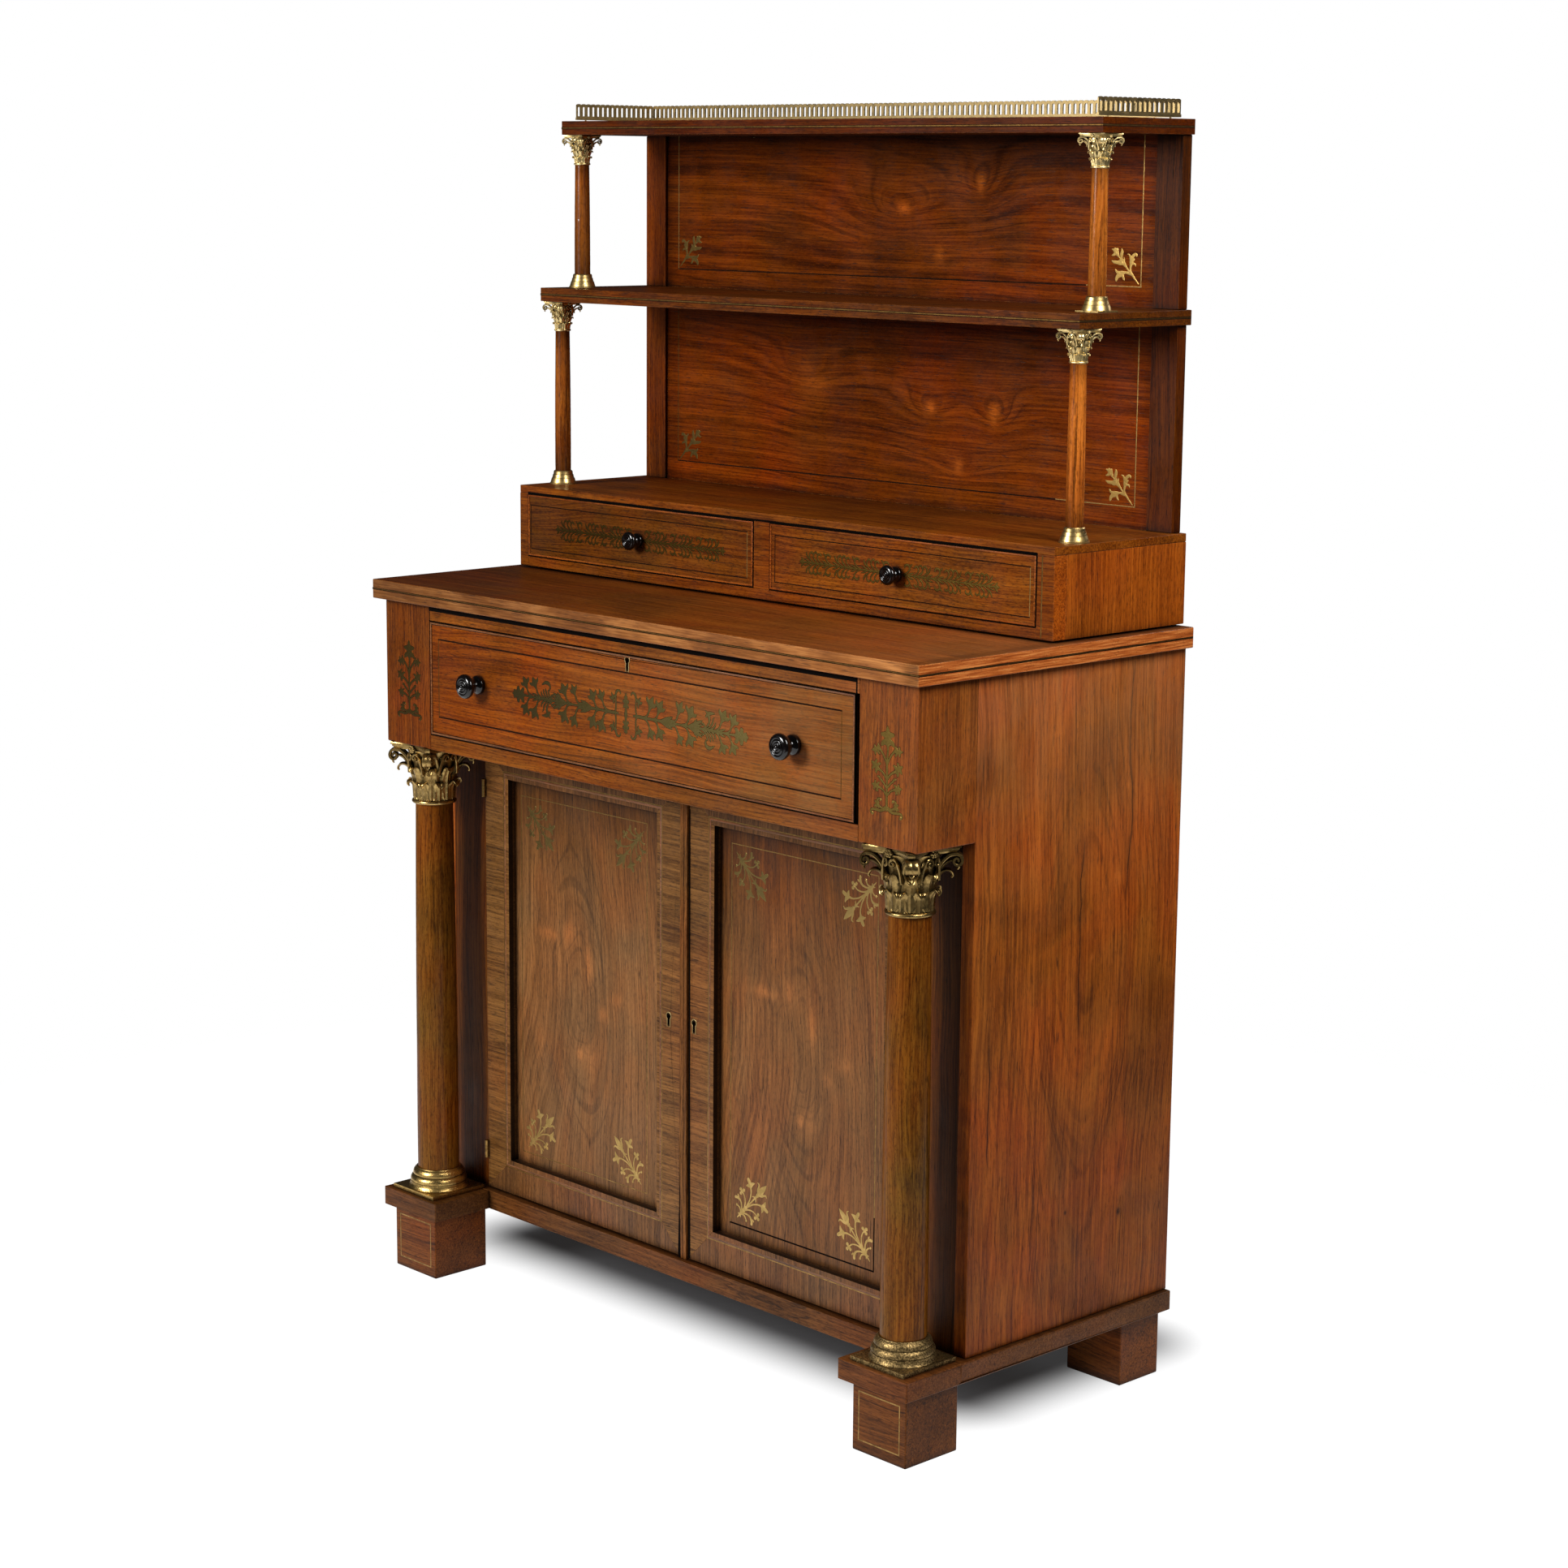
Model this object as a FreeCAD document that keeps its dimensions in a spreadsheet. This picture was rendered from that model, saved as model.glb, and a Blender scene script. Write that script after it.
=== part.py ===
import FreeCAD, Part
import math
import os

# Regency chiffonier: a cupboard base with a long frieze drawer and a pair of
# panelled doors between two free-standing columns, under a superstructure of
# two small drawers, two open shelves on colonnettes and a pierced gallery.
#
# Row frame, millimetres: X to the object's right as seen from the front, +Y
# towards the back, +Z up.  Origin on the floor at the middle of the overall
# box.  Back plane at y = +half_depth, knob fronts at y = -half_depth.

doc = FreeCAD.newDocument("chiffonier")
sheet = doc.addObject("Spreadsheet::Sheet", "Dims")

V = FreeCAD.Vector


class Dim:
    """A number together with the spreadsheet expression that yields it."""

    def __init__(self, value, text):
        self.value = float(value)
        self.text = text

    def _mix(self, other, sign, flip=False):
        other = other if isinstance(other, Dim) else Dim(other, repr(float(other)))
        a, b = (other, self) if flip else (self, other)
        if sign == "+":
            v = a.value + b.value
        elif sign == "-":
            v = a.value - b.value
        elif sign == "*":
            v = a.value * b.value
        else:
            v = a.value / b.value
        return Dim(v, "(%s %s %s)" % (a.text, sign, b.text))

    def __add__(self, o):
        return self._mix(o, "+")

    def __radd__(self, o):
        return self._mix(o, "+", True)

    def __sub__(self, o):
        return self._mix(o, "-")

    def __rsub__(self, o):
        return self._mix(o, "-", True)

    def __mul__(self, o):
        return self._mix(o, "*")

    def __rmul__(self, o):
        return self._mix(o, "*", True)

    def __truediv__(self, o):
        return self._mix(o, "/")

    def __neg__(self):
        return Dim(-self.value, "(0 - %s)" % self.text)


def asdim(v):
    return v if isinstance(v, Dim) else Dim(v, repr(float(v)))


row_no = 0


def dim(alias, value):
    """One driving dimension: a labelled cell of the sheet with its alias."""
    global row_no
    row_no += 1
    sheet.set("A%d" % row_no, alias)
    sheet.set("B%d" % row_no, "%g" % value)
    sheet.setAlias("B%d" % row_no, alias)
    return Dim(value, "Dims.%s" % alias)


# ---------------------------------------------------------------- dimensions
half_depth = dim("half_depth", 225)        # y of the back plane

# lower carcase
top_half = dim("top_half", 460)            # table top half width
top_deep = dim("top_deep", 434)            # table top depth
top_under = dim("top_under", 844)          # height of its underside
top_thick = dim("top_thick", 23)
case_half = dim("case_half", 449.5)        # carcase half width
case_front = dim("case_front", 334)        # depth of the sides and stiles
side_thick = dim("side_thick", 18)
frieze_front = dim("frieze_front", 422)    # depth of the frieze face
frieze_under = dim("frieze_under", 668.5)
block_inner = dim("block_inner", 364)      # inner face of the end blocks
rail_thick = dim("rail_thick", 22)
top_rail_under = dim("top_rail_under", 825)
low_rail_over = dim("low_rail_over", 686.7)
stile_inner = dim("stile_inner", 368)
stile_thick = dim("stile_thick", 20)
platform_half = dim("platform_half", 457)
platform_under = dim("platform_under", 79)
platform_thick = dim("platform_thick", 23)
platform_front = dim("platform_front", 347)
ear_front = dim("ear_front", 432)
ear_inner = dim("ear_inner", 353)
foot_wide = dim("foot_wide", 80)
foot_outer = dim("foot_outer", 447)
foot_front = dim("foot_front", 422)
rear_foot_outer = dim("rear_foot_outer", 442)
rear_foot_deep = dim("rear_foot_deep", 66)
back_thick = dim("back_thick", 12)
shelf_under = dim("shelf_under", 372)
shelf_thick = dim("shelf_thick", 18)
shelf_front = dim("shelf_front", 298)
dust_thick = dim("dust_thick", 11.5)
runner_over = dim("runner_over", 688)
muntin_half = dim("muntin_half", 6)
muntin_proud = dim("muntin_proud", 3)
stop_half = dim("stop_half", 16)
stop_thick = dim("stop_thick", 14)

# columns
col_x = dim("col_x", 406)
col_deep = dim("col_deep", 385.5)
col_plate = dim("col_plate", 80)
col_plate_thick = dim("col_plate_thick", 5)
col_base_over = dim("col_base_over", 132)
col_foot_rad = dim("col_foot_rad", 25.5)
col_neck_rad = dim("col_neck_rad", 22.7)
col_neck_over = dim("col_neck_over", 594)
cap_ring_rad = dim("cap_ring_rad", 27.2)
cap_corner = dim("cap_corner", 54)         # abacus corner from the axis

# doors
door_face = dim("door_face", 337)
door_thick = dim("door_thick", 20)
door_inner = dim("door_inner", 7.2)
door_outer = dim("door_outer", 366.6)
door_under = dim("door_under", 103.5)
door_over = dim("door_over", 666.5)
meet_stile = dim("meet_stile", 42)
hinge_stile = dim("hinge_stile", 44)
top_rail_high = dim("top_rail_high", 39.5)
low_rail_high = dim("low_rail_high", 42.5)
panel_sunk = dim("panel_sunk", 11)
panel_thick = dim("panel_thick", 8)
panel_lap = dim("panel_lap", 6)
hinge_x = dim("hinge_x", 367.3)
knuckle_rad = dim("knuckle_rad", 2.4)
hinge_high = dim("hinge_high", 22)
hinge_low_z = dim("hinge_low_z", 141)
hinge_top_z = dim("hinge_top_z", 600)
leaf_thick = dim("leaf_thick", 1.2)
leaf_wide = dim("leaf_wide", 19.4)
pin_rad = dim("pin_rad", 1.1)
pin_play = dim("pin_play", 0.05)
lock_mid_z = dim("lock_mid_z", 384)
lock_high = dim("lock_high", 44)
lock_deep = dim("lock_deep", 10)
bolt_play = dim("bolt_play", 0.2)

# frieze drawer
fd_left = dim("fd_left", 362.5)
fd_right = dim("fd_right", 358.5)
fd_under = dim("fd_under", 687.5)
fd_over = dim("fd_over", 824.3)
fd_front_thick = dim("fd_front_thick", 20)
fd_side_thick = dim("fd_side_thick", 12)
fd_long = dim("fd_long", 312)
fd_side_over = dim("fd_side_over", 806)
fd_knob_x = dim("fd_knob_x", 268)
fd_knob_z = dim("fd_knob_z", 758.8)
fd_knob_rad = dim("fd_knob_rad", 15.3)
fd_knob_long = dim("fd_knob_long", 28)
fd_knob_aside = dim("fd_knob_aside", 1.4)

# superstructure drawer case
up_half = dim("up_half", 445)
up_front = dim("up_front", 216)
up_under = dim("up_under", 869)
up_over = dim("up_over", 969)
up_top_thick = dim("up_top_thick", 9)
up_side_thick = dim("up_side_thick", 15)
up_face_thick = dim("up_face_thick", 20)
up_right_stile = dim("up_right_stile", 24)
up_low_rail = dim("up_low_rail", 12)
div_left = dim("div_left", 18)
div_right = dim("div_right", 8)
sd_gap = dim("sd_gap", 0.7)
sd_front_thick = dim("sd_front_thick", 16)
sd_side_thick = dim("sd_side_thick", 8)
sd_long = dim("sd_long", 170)
sd_side_over = dim("sd_side_over", 946)
sd_knob_rad = dim("sd_knob_rad", 11.7)
sd_knob_long = dim("sd_knob_long", 20)
sd_knob_z = dim("sd_knob_z", 919)
sd_knob_left = dim("sd_knob_left", 221.4)
sd_knob_right = dim("sd_knob_right", 213)

# shelves, back and gallery
mid_half = dim("mid_half", 443)
mid_front = dim("mid_front", 183.5)
mid_under = dim("mid_under", 1195)
mid_thick = dim("mid_thick", 16.5)
high_half = dim("high_half", 440)
high_front = dim("high_front", 151)
high_under = dim("high_under", 1397.5)
high_thick = dim("high_thick", 16.5)
frame_half = dim("frame_half", 436)
frame_wide = dim("frame_wide", 36)
frame_thick = dim("frame_thick", 15)
infill_thick = dim("infill_thick", 8)
infill_sunk = dim("infill_sunk", 4)
low_post_x = dim("low_post_x", 425)
low_post_deep = dim("low_post_deep", 163)
high_post_x = dim("high_post_x", 422)
high_post_deep = dim("high_post_deep", 133)
post_base_high = dim("post_base_high", 16.5)
post_base_rad = dim("post_base_rad", 16.6)
post_base_plate = dim("post_base_plate", 31.8)
post_foot_rad = dim("post_foot_rad", 9.8)
post_neck_rad = dim("post_neck_rad", 8.8)
post_cap_high = dim("post_cap_high", 36.5)
post_cap_corner = dim("post_cap_corner", 24.2)
gal_half = dim("gal_half", 428)
gal_deep = dim("gal_deep", 146)
gal_back = dim("gal_back", 12)
gal_left_short = dim("gal_left_short", 9)
gal_over = dim("gal_over", 1435)
gal_thick = dim("gal_thick", 1.6)
gal_pitch = dim("gal_pitch", 8)

doc.recompute()

# planes used again and again (depths are measured forward from the back)
yb = half_depth
y_top = yb - top_deep
y_frieze = yb - frieze_front
y_case = yb - case_front
y_door = yb - door_face
y_upper = yb - up_front
top_over = top_under + top_thick
plat_over = platform_under + platform_thick
mid_over = mid_under + mid_thick
high_over = high_under + high_thick

nodes = {}
order = []


# ------------------------------------------------------------------- helpers
def register(obj, label):
    obj.Label = label
    nodes[label] = obj
    order.append(label)
    return obj


def put(obj, x, y, z, rot=None):
    """Place an object, with its position bound to the sheet."""
    x, y, z = asdim(x), asdim(y), asdim(z)
    r = rot if rot is not None else FreeCAD.Rotation()
    obj.Placement = FreeCAD.Placement(V(x.value, y.value, z.value), r)
    obj.setExpression("Placement.Base.x", x.text)
    obj.setExpression("Placement.Base.y", y.text)
    obj.setExpression("Placement.Base.z", z.text)
    return obj


def board(name, x0, x1, yy0, yy1, z0, z1):
    """A plain board as a box between two corners."""
    x0, x1, yy0, yy1, z0, z1 = [asdim(v) for v in (x0, x1, yy0, yy1, z0, z1)]
    b = doc.addObject("Part::Box", name)
    for prop, lo, hi in (("Length", x0, x1), ("Width", yy0, yy1), ("Height", z0, z1)):
        size = hi - lo
        setattr(b, prop, size.value)
        b.setExpression(prop, size.text)
    return put(b, x0, yy0, z0)


def rod(name, rad, high, x, y, z, rot=None):
    c = doc.addObject("Part::Cylinder", name)
    rad, high = asdim(rad), asdim(high)
    c.Radius = rad.value
    c.Height = high.value
    c.setExpression("Radius", rad.text)
    c.setExpression("Height", high.text)
    return put(c, x, y, z, rot)


def side(s, a, b):
    """The span a..b on the right (s=1) or its mirror on the left (s=-1)."""
    return (a, b) if s > 0 else (-b, -a)


def cut(name, base, tools):
    c = doc.addObject("Part::Cut", name)
    c.Base = base
    if len(tools) == 1:
        c.Tool = tools[0]
    else:
        f = doc.addObject("Part::MultiFuse", name + "_tools")
        f.Shapes = tools
        c.Tool = f
    return c


def fuse(name, parts):
    f = doc.addObject("Part::MultiFuse", name)
    f.Shapes = parts
    return f


def group(label, parts):
    c = doc.addObject("Part::Compound", label)
    c.Links = parts
    return register(c, label)


def origin_plane(body, role):
    for o in body.Origin.OriginFeatures:
        if o.Role == role:
            return o
    raise RuntimeError("no plane " + role)


def bulge(p0, p1, r, turn):
    """Middle point of the short arc of radius r from p0 to p1."""
    mx, my = (p0[0] + p1[0]) / 2.0, (p0[1] + p1[1]) / 2.0
    dx, dy = p1[0] - p0[0], p1[1] - p0[1]
    c = math.hypot(dx, dy)
    h = r - math.sqrt(max(r * r - c * c / 4.0, 0.0))
    return V(mx + turn * dy / c * h, my - turn * dx / c * h, 0)


def outline(body, name, role, pts):
    """A closed sketch on one of the body's origin planes.  Each entry is
    (x, y) or (x, y, radius, turn): the last two bend the edge that leaves
    the point into an arc, bulging right (turn 1) or left (turn -1) of it."""
    sk = body.newObject("Sketcher::SketchObject", name)
    sk.AttachmentSupport = [(origin_plane(body, role), "")]
    sk.MapMode = "FlatFace"
    n = len(pts)
    P = [(asdim(p[0]), asdim(p[1])) for p in pts]
    ends = []
    for i in range(n):
        a = P[i]
        b = P[(i + 1) % n]
        va, vb = V(a[0].value, a[1].value, 0), V(b[0].value, b[1].value, 0)
        if len(pts[i]) == 4:
            r = asdim(pts[i][2])
            mid = bulge((va.x, va.y), (vb.x, vb.y), r.value, pts[i][3])
            g = sk.addGeometry(Part.Arc(va, mid, vb), False)
        else:
            g = sk.addGeometry(Part.LineSegment(va, vb), False)
        first = 1 if sk.getPoint(g, 1).distanceToPoint(va) < 1e-6 else 2
        ends.append((g, first, 3 - first))
    import Sketcher
    for i in range(n):
        g, s0, s1 = ends[i]
        g2, t0, t1 = ends[(i + 1) % n]
        sk.addConstraint(Sketcher.Constraint("Coincident", g, s1, g2, t0))
    for i in range(n):
        g, s0, s1 = ends[i]
        for axis, d, ref in (("DistanceX", P[i][0], -2), ("DistanceY", P[i][1], -1)):
            if abs(d.value) < 1e-9:
                sk.addConstraint(Sketcher.Constraint("PointOnObject", g, s0, ref))
            else:
                k = sk.addConstraint(Sketcher.Constraint(axis, -1, 1, g, s0, d.value))
                sk.renameConstraint(k, "p%d%s" % (i, axis[-1].lower()))
                sk.setExpression("Constraints.p%d%s" % (i, axis[-1].lower()), d.text)
        if len(pts[i]) == 4:
            r = asdim(pts[i][2])
            k = sk.addConstraint(Sketcher.Constraint("Radius", g, r.value))
            sk.renameConstraint(k, "r%d" % i)
            sk.setExpression("Constraints.r%d" % i, r.text)
    return sk


def turned(name, pts, x, y, z, rot=None):
    """A turned piece: a half profile (radius, height) revolved about Z."""
    b = doc.addObject("PartDesign::Body", name)
    sk = outline(b, name + "_profile", "XZ_Plane", pts)
    rv = b.newObject("PartDesign::Revolution", name + "_turning")
    rv.Profile = sk
    rv.ReferenceAxis = (sk, ["V_Axis"])
    rv.Angle = 360.0
    b.Tip = rv
    return put(b, x, y, z, rot)


def plate(name, pts, thick, x, y, z, role="XY_Plane", rot=None, body=None, flip=False):
    """A flat piece cut to an outline and padded to its thickness."""
    b = body or doc.addObject("PartDesign::Body", name)
    sk = outline(b, name + "_outline", role, pts)
    pad = b.newObject("PartDesign::Pad", name + "_pad")
    pad.Profile = sk
    thick = asdim(thick)
    pad.Length = thick.value
    pad.setExpression("Length", thick.text)
    pad.Reversed = flip
    b.Tip = pad
    return put(b, x, y, z, rot) if body is None else b


TO_FRONT = FreeCAD.Rotation(V(1, 0, 0), 90)   # a piece's +Z axis points forward


# ------------------------------------------------------------ feet, platform
feet = []
for s in (-1, 1):
    a, b = side(s, foot_outer - foot_wide, foot_outer)
    feet.append(board("foot_front_%s" % ("l" if s < 0 else "r"), a, b,
                      yb - foot_front, yb - foot_front + foot_wide, 0, platform_under))
    a, b = side(s, rear_foot_outer - foot_wide, rear_foot_outer)
    feet.append(board("foot_rear_%s" % ("l" if s < 0 else "r"), a, b,
                      yb - rear_foot_deep - 2, yb - 2, 0, platform_under))
group("feet", feet)

# the platform board with an ear under each column
ears = [board("platform_board", -platform_half, platform_half,
              yb - platform_front, yb, platform_under, plat_over)]
for s in (-1, 1):
    a, b = side(s, ear_inner, platform_half)
    ears.append(board("platform_ear_%s" % ("l" if s < 0 else "r"), a, b,
                      yb - ear_front, yb - platform_front, platform_under, plat_over))
group("platform", ears)

# ------------------------------------------------------------- lower carcase
group("carcase_sides", [
    board("side_panel_%s" % ("l" if s < 0 else "r"),
          *side(s, case_half - side_thick, case_half), y_case, yb, plat_over, top_under)
    for s in (-1, 1)])


def leaf_box(name, s, z0, into):
    """Seat for a hinge leaf, into the stile (into=1) or the door (into=-1)."""
    if into > 0:
        a, b = side(s, stile_inner, stile_inner + leaf_thick)
    else:
        a, b = side(s, door_outer - leaf_thick, door_outer)
    return board(name, a, b, y_door - knuckle_rad, y_door - knuckle_rad + leaf_wide,
                 z0, z0 + hinge_high)


stiles = []
for s in (-1, 1):
    t = "l" if s < 0 else "r"
    raw = board("case_stile_raw_%s" % t, *side(s, stile_inner, case_half - side_thick),
                y_case, y_case + stile_thick, plat_over, frieze_under)
    seats = [leaf_box("case_seat_%s_low" % t, s, hinge_low_z, 1),
             leaf_box("case_seat_%s_top" % t, s, hinge_top_z, 1)]
    stiles.append(cut("case_stile_%s" % t, raw, seats))
group("front_stiles", stiles)

# the fixed centre muntin: a front strip that both doors lock into, and a
# wider stop behind it
strip = board("muntin_raw", -muntin_half, muntin_half, y_door - muntin_proud,
              y_door + door_thick, plat_over, frieze_under)
mortise = board("muntin_mortise", -muntin_half - 1, muntin_half + 1,
                y_door + 12, y_door + 17, lock_mid_z - 9, lock_mid_z + 9)
group("centre_muntin", [
    cut("muntin_strip", strip, [mortise]),
    board("muntin_stop", -stop_half, stop_half, y_door + door_thick,
          y_door + door_thick + stop_thick, plat_over, frieze_under)])

# back of the cupboard: four upright boards
inner = case_half - side_thick
bw = inner / 2
group("carcase_back", [
    board("back_board_%d" % (i + 1), -inner + bw * i + 0.4, -inner + bw * (i + 1) - 0.4,
          yb - back_thick, yb, plat_over, top_under)
    for i in range(4)])

board_shelf = board("cupboard_shelf", -inner, inner, yb - shelf_front,
                    yb - back_thick, shelf_under, shelf_under + shelf_thick)
register(board_shelf, "cupboard_shelf")
group("shelf_bearers", [
    board("bearer_%s" % ("l" if s < 0 else "r"), *side(s, inner - 18, inner),
          yb - shelf_front, yb - back_thick, shelf_under - 18, shelf_under)
    for s in (-1, 1)])

group("dustboard", [
    board("dust_rear", -inner, inner, y_case, yb - back_thick,
          frieze_under, frieze_under + dust_thick),
    board("dust_front", -block_inner, block_inner, y_frieze + rail_thick, y_case,
          frieze_under, frieze_under + dust_thick)])

group("frieze_blocks", [
    board("frieze_block_%s" % ("l" if s < 0 else "r"), *side(s, block_inner, case_half),
          y_frieze, y_case, frieze_under, top_under)
    for s in (-1, 1)])

# rails above and below the frieze drawer; the upper one is mortised for the
# drawer's bolt
fd_bolt_x0, fd_bolt_x1 = asdim(6), asdim(18)
upper_rail = cut("rail_above_drawer",
                 board("rail_above_raw", -block_inner, block_inner, y_frieze,
                       y_frieze + rail_thick, top_rail_under, top_under),
                 [board("rail_mortise", fd_bolt_x0 - 1, fd_bolt_x1 + 1, y_frieze + 12,
                        y_frieze + 18, top_rail_under - 1, top_rail_under + 9)])
group("frieze_rails", [
    upper_rail,
    board("rail_below_drawer", -block_inner, block_inner, y_frieze,
          y_frieze + rail_thick, frieze_under, low_rail_over)])

dust_over = frieze_under + dust_thick
runs = []
for s in (-1, 1):
    t = "l" if s < 0 else "r"
    runs.append(board("drawer_runner_%s" % t, *side(s, block_inner - 24, block_inner),
                      y_frieze + rail_thick, yb - back_thick, dust_over, runner_over))
    runs.append(board("drawer_guide_%s" % t, *side(s, block_inner, block_inner + 14),
                      y_case, yb - back_thick, dust_over, dust_over + 45))
group("drawer_runners", runs)

register(board("table_top", -top_half, top_half, y_top, yb, top_under, top_over),
         "table_top")

# ------------------------------------------------------------------- columns
col_y = yb - col_deep


def column_base(t, s):
    b = doc.addObject("PartDesign::Body", "col_base_%s" % t)
    h = col_plate / 2
    plate("col_plate_%s" % t, [(-h, -h), (h, -h), (h, h), (-h, h)],
          col_plate_thick, 0, 0, 0, body=b)
    high = col_base_over - plat_over
    r = col_foot_rad
    lo = col_plate_thick
    # three bands stepping inwards: a hollow flare and two rounds, with a
    # groove above each
    pts = [(0, lo - 0.5), (r * 1.47, lo - 0.5), (r * 1.47, lo + 0.4, 9.0, -1),
           (r * 1.365, lo + 7.0), (r * 1.335, lo + 7.3), (r * 1.335, lo + 8.0),
           (r * 1.375, lo + 8.3, 8.0, 1), (r * 1.24, lo + 15.4),
           (r * 1.21, lo + 15.7), (r * 1.21, lo + 16.4),
           (r * 1.25, lo + 16.7, 9.0, 1), (r * 1.10, lo + 24.0),
           (r * 1.07, high), (0, high)]
    sk = outline(b, "col_base_profile_%s" % t, "XZ_Plane", pts)
    rv = b.newObject("PartDesign::Revolution", "col_base_turning_%s" % t)
    rv.Profile = sk
    rv.ReferenceAxis = (sk, ["V_Axis"])
    rv.Angle = 360.0
    b.Tip = rv
    return put(b, col_x * s, col_y, plat_over)


group("column_bases", [column_base("l", -1), column_base("r", 1)])

shaft_high = col_neck_over - col_base_over
group("column_shafts", [
    turned("col_shaft_%s" % ("l" if s < 0 else "r"),
           [(0, 0), (col_foot_rad, 0, asdim(12000), 1),
            (col_foot_rad - 0.35, shaft_high * 0.33, asdim(28000), 1),
            (col_neck_rad, shaft_high), (0, shaft_high)],
           col_x * s, col_y, col_base_over)
    for s in (-1, 1)])


def abacus(corner, dip):
    """Concave-sided square with clipped corners, outline in plan."""
    c = corner * 0.7071
    k = corner * 0.035          # half of the clipped corner
    pts = []
    for qx, qy in ((1, 1), (-1, 1), (-1, -1), (1, -1)):
        # the two ends of the clipped corner, walked anticlockwise
        if qx * qy > 0:
            pts.append((qx * (c + k * 0.7071), qy * (c - k * 0.7071)))
            pts.append((qx * (c - k * 0.7071), qy * (c + k * 0.7071), dip, -1))
        else:
            pts.append((qx * (c - k * 0.7071), qy * (c + k * 0.7071)))
            pts.append((qx * (c + k * 0.7071), qy * (c - k * 0.7071), dip, -1))
    return pts


def capital(t, corner, ring, high, x, y, z):
    """Collar, bell and concave abacus of a Corinthian capital."""
    b = doc.addObject("PartDesign::Body", "capital_%s" % t)
    pts = [(0, 0), (ring * 0.96, 0), (ring, high * 0.02, high * 0.05, 1),
           (ring * 0.96, high * 0.08), (ring * 0.92, high * 0.09),
           (ring * 1.02, high * 0.50, high * 0.55, -1),
           (ring * 1.30, high * 0.84), (0, high * 0.84)]
    sk = outline(b, "bell_profile_%s" % t, "XZ_Plane", pts)
    rv = b.newObject("PartDesign::Revolution", "bell_%s" % t)
    rv.Profile = sk
    rv.ReferenceAxis = (sk, ["V_Axis"])
    rv.Angle = 360.0
    b.Tip = rv
    sk2 = outline(b, "abacus_outline_%s" % t, "XY_Plane", abacus(corner, corner * 1.55))
    sk2.AttachmentOffset = FreeCAD.Placement(V(0, 0, (high * 0.84).value - 0.5),
                                             FreeCAD.Rotation())
    sk2.setExpression("AttachmentOffset.Base.z", (high * 0.84 - 0.5).text)
    pad = b.newObject("PartDesign::Pad", "abacus_%s" % t)
    pad.Profile = sk2
    length = high * 0.16 + 0.5
    pad.Length = length.value
    pad.setExpression("Length", length.text)
    b.Tip = pad
    return put(b, x, y, z)


group("column_capitals", [
    capital("col_%s" % ("l" if s < 0 else "r"), cap_corner, cap_ring_rad,
            frieze_under - col_neck_over, col_x * s, col_y, col_neck_over)
    for s in (-1, 1)])

# ---------------------------------------------------------------- hinges
hinge_y = y_door - knuckle_rad
third = hinge_high / 3
fixed_leaves, pins = [], []
door_leaves = {-1: [], 1: []}
for s in (-1, 1):
    for lv, z0 in (("low", hinge_low_z), ("top", hinge_top_z)):
        t = "%s_%s" % ("l" if s < 0 else "r", lv)
        hx = hinge_x * s
        # fixed leaf in the stile with the two outer knuckles
        lf = board("fleaf_%s" % t, *side(s, stile_inner, stile_inner + leaf_thick),
                   hinge_y, hinge_y + leaf_wide, z0, z0 + hinge_high)
        gap = board("fgap_%s" % t, *side(s, stile_inner - 1, stile_inner + leaf_thick + 1),
                    hinge_y - 1, y_door + 0.3, z0 + third - 0.15, z0 + third * 2 + 0.15)
        k1 = rod("fk1_%s" % t, knuckle_rad, third - 0.15, hx, hinge_y, z0)
        k2 = rod("fk2_%s" % t, knuckle_rad, third - 0.15, hx, hinge_y, z0 + third * 2 + 0.15)
        bore = rod("fbore_%s" % t, pin_rad, hinge_high + 2, hx, hinge_y, z0 - 1)
        fixed_leaves.append(cut("fixed_leaf_%s" % t, fuse("fbody_%s" % t, [lf, k1, k2]),
                                [gap, bore]))
        # door leaf in the edge of the door with the middle knuckle
        dl = board("dleaf_%s" % t, *side(s, door_outer - leaf_thick, door_outer),
                   hinge_y + 0.2, hinge_y + leaf_wide, z0, z0 + hinge_high)
        kd = rod("dk_%s" % t, knuckle_rad, third - 0.3, hx, hinge_y, z0 + third + 0.15)
        g1 = board("dgap1_%s" % t, *side(s, door_outer - leaf_thick - 1, door_outer + 1),
                   hinge_y - 1, y_door + 0.3, z0 - 1, z0 + third + 0.15)
        g2 = board("dgap2_%s" % t, *side(s, door_outer - leaf_thick - 1, door_outer + 1),
                   hinge_y - 1, y_door + 0.3, z0 + third * 2 - 0.15, z0 + hinge_high + 1)
        db = rod("dbore_%s" % t, pin_rad + pin_play, hinge_high + 2, hx, hinge_y, z0 - 1)
        door_leaves[s].append(cut("door_leaf_%s" % t,
                                  fuse("dbody_%s" % t, [dl, kd]), [g1, g2, db]))
        pins.append(rod("pin_%s" % t, pin_rad, hinge_high, hx, hinge_y, z0))
group("hinge_fixed_leaves", fixed_leaves)
group("hinge_pins", pins)


# ------------------------------------------------------------------- locks
def keyhole(name, x, y0, y1, z, rad, half_slot, drop):
    """A keyhole-shaped prism along Y: round head at z, slot below it."""
    y0, y1 = asdim(y0), asdim(y1)
    c = rod(name + "_head", rad, y1 - y0, x, y1, z, TO_FRONT)
    b = board(name + "_slot", asdim(x) - half_slot, asdim(x) + half_slot, y0, y1,
              asdim(z) - drop, z)
    f = rod(name + "_foot", half_slot, y1 - y0, x, y1, asdim(z) - drop, TO_FRONT)
    return fuse(name, [c, b, f])


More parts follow.
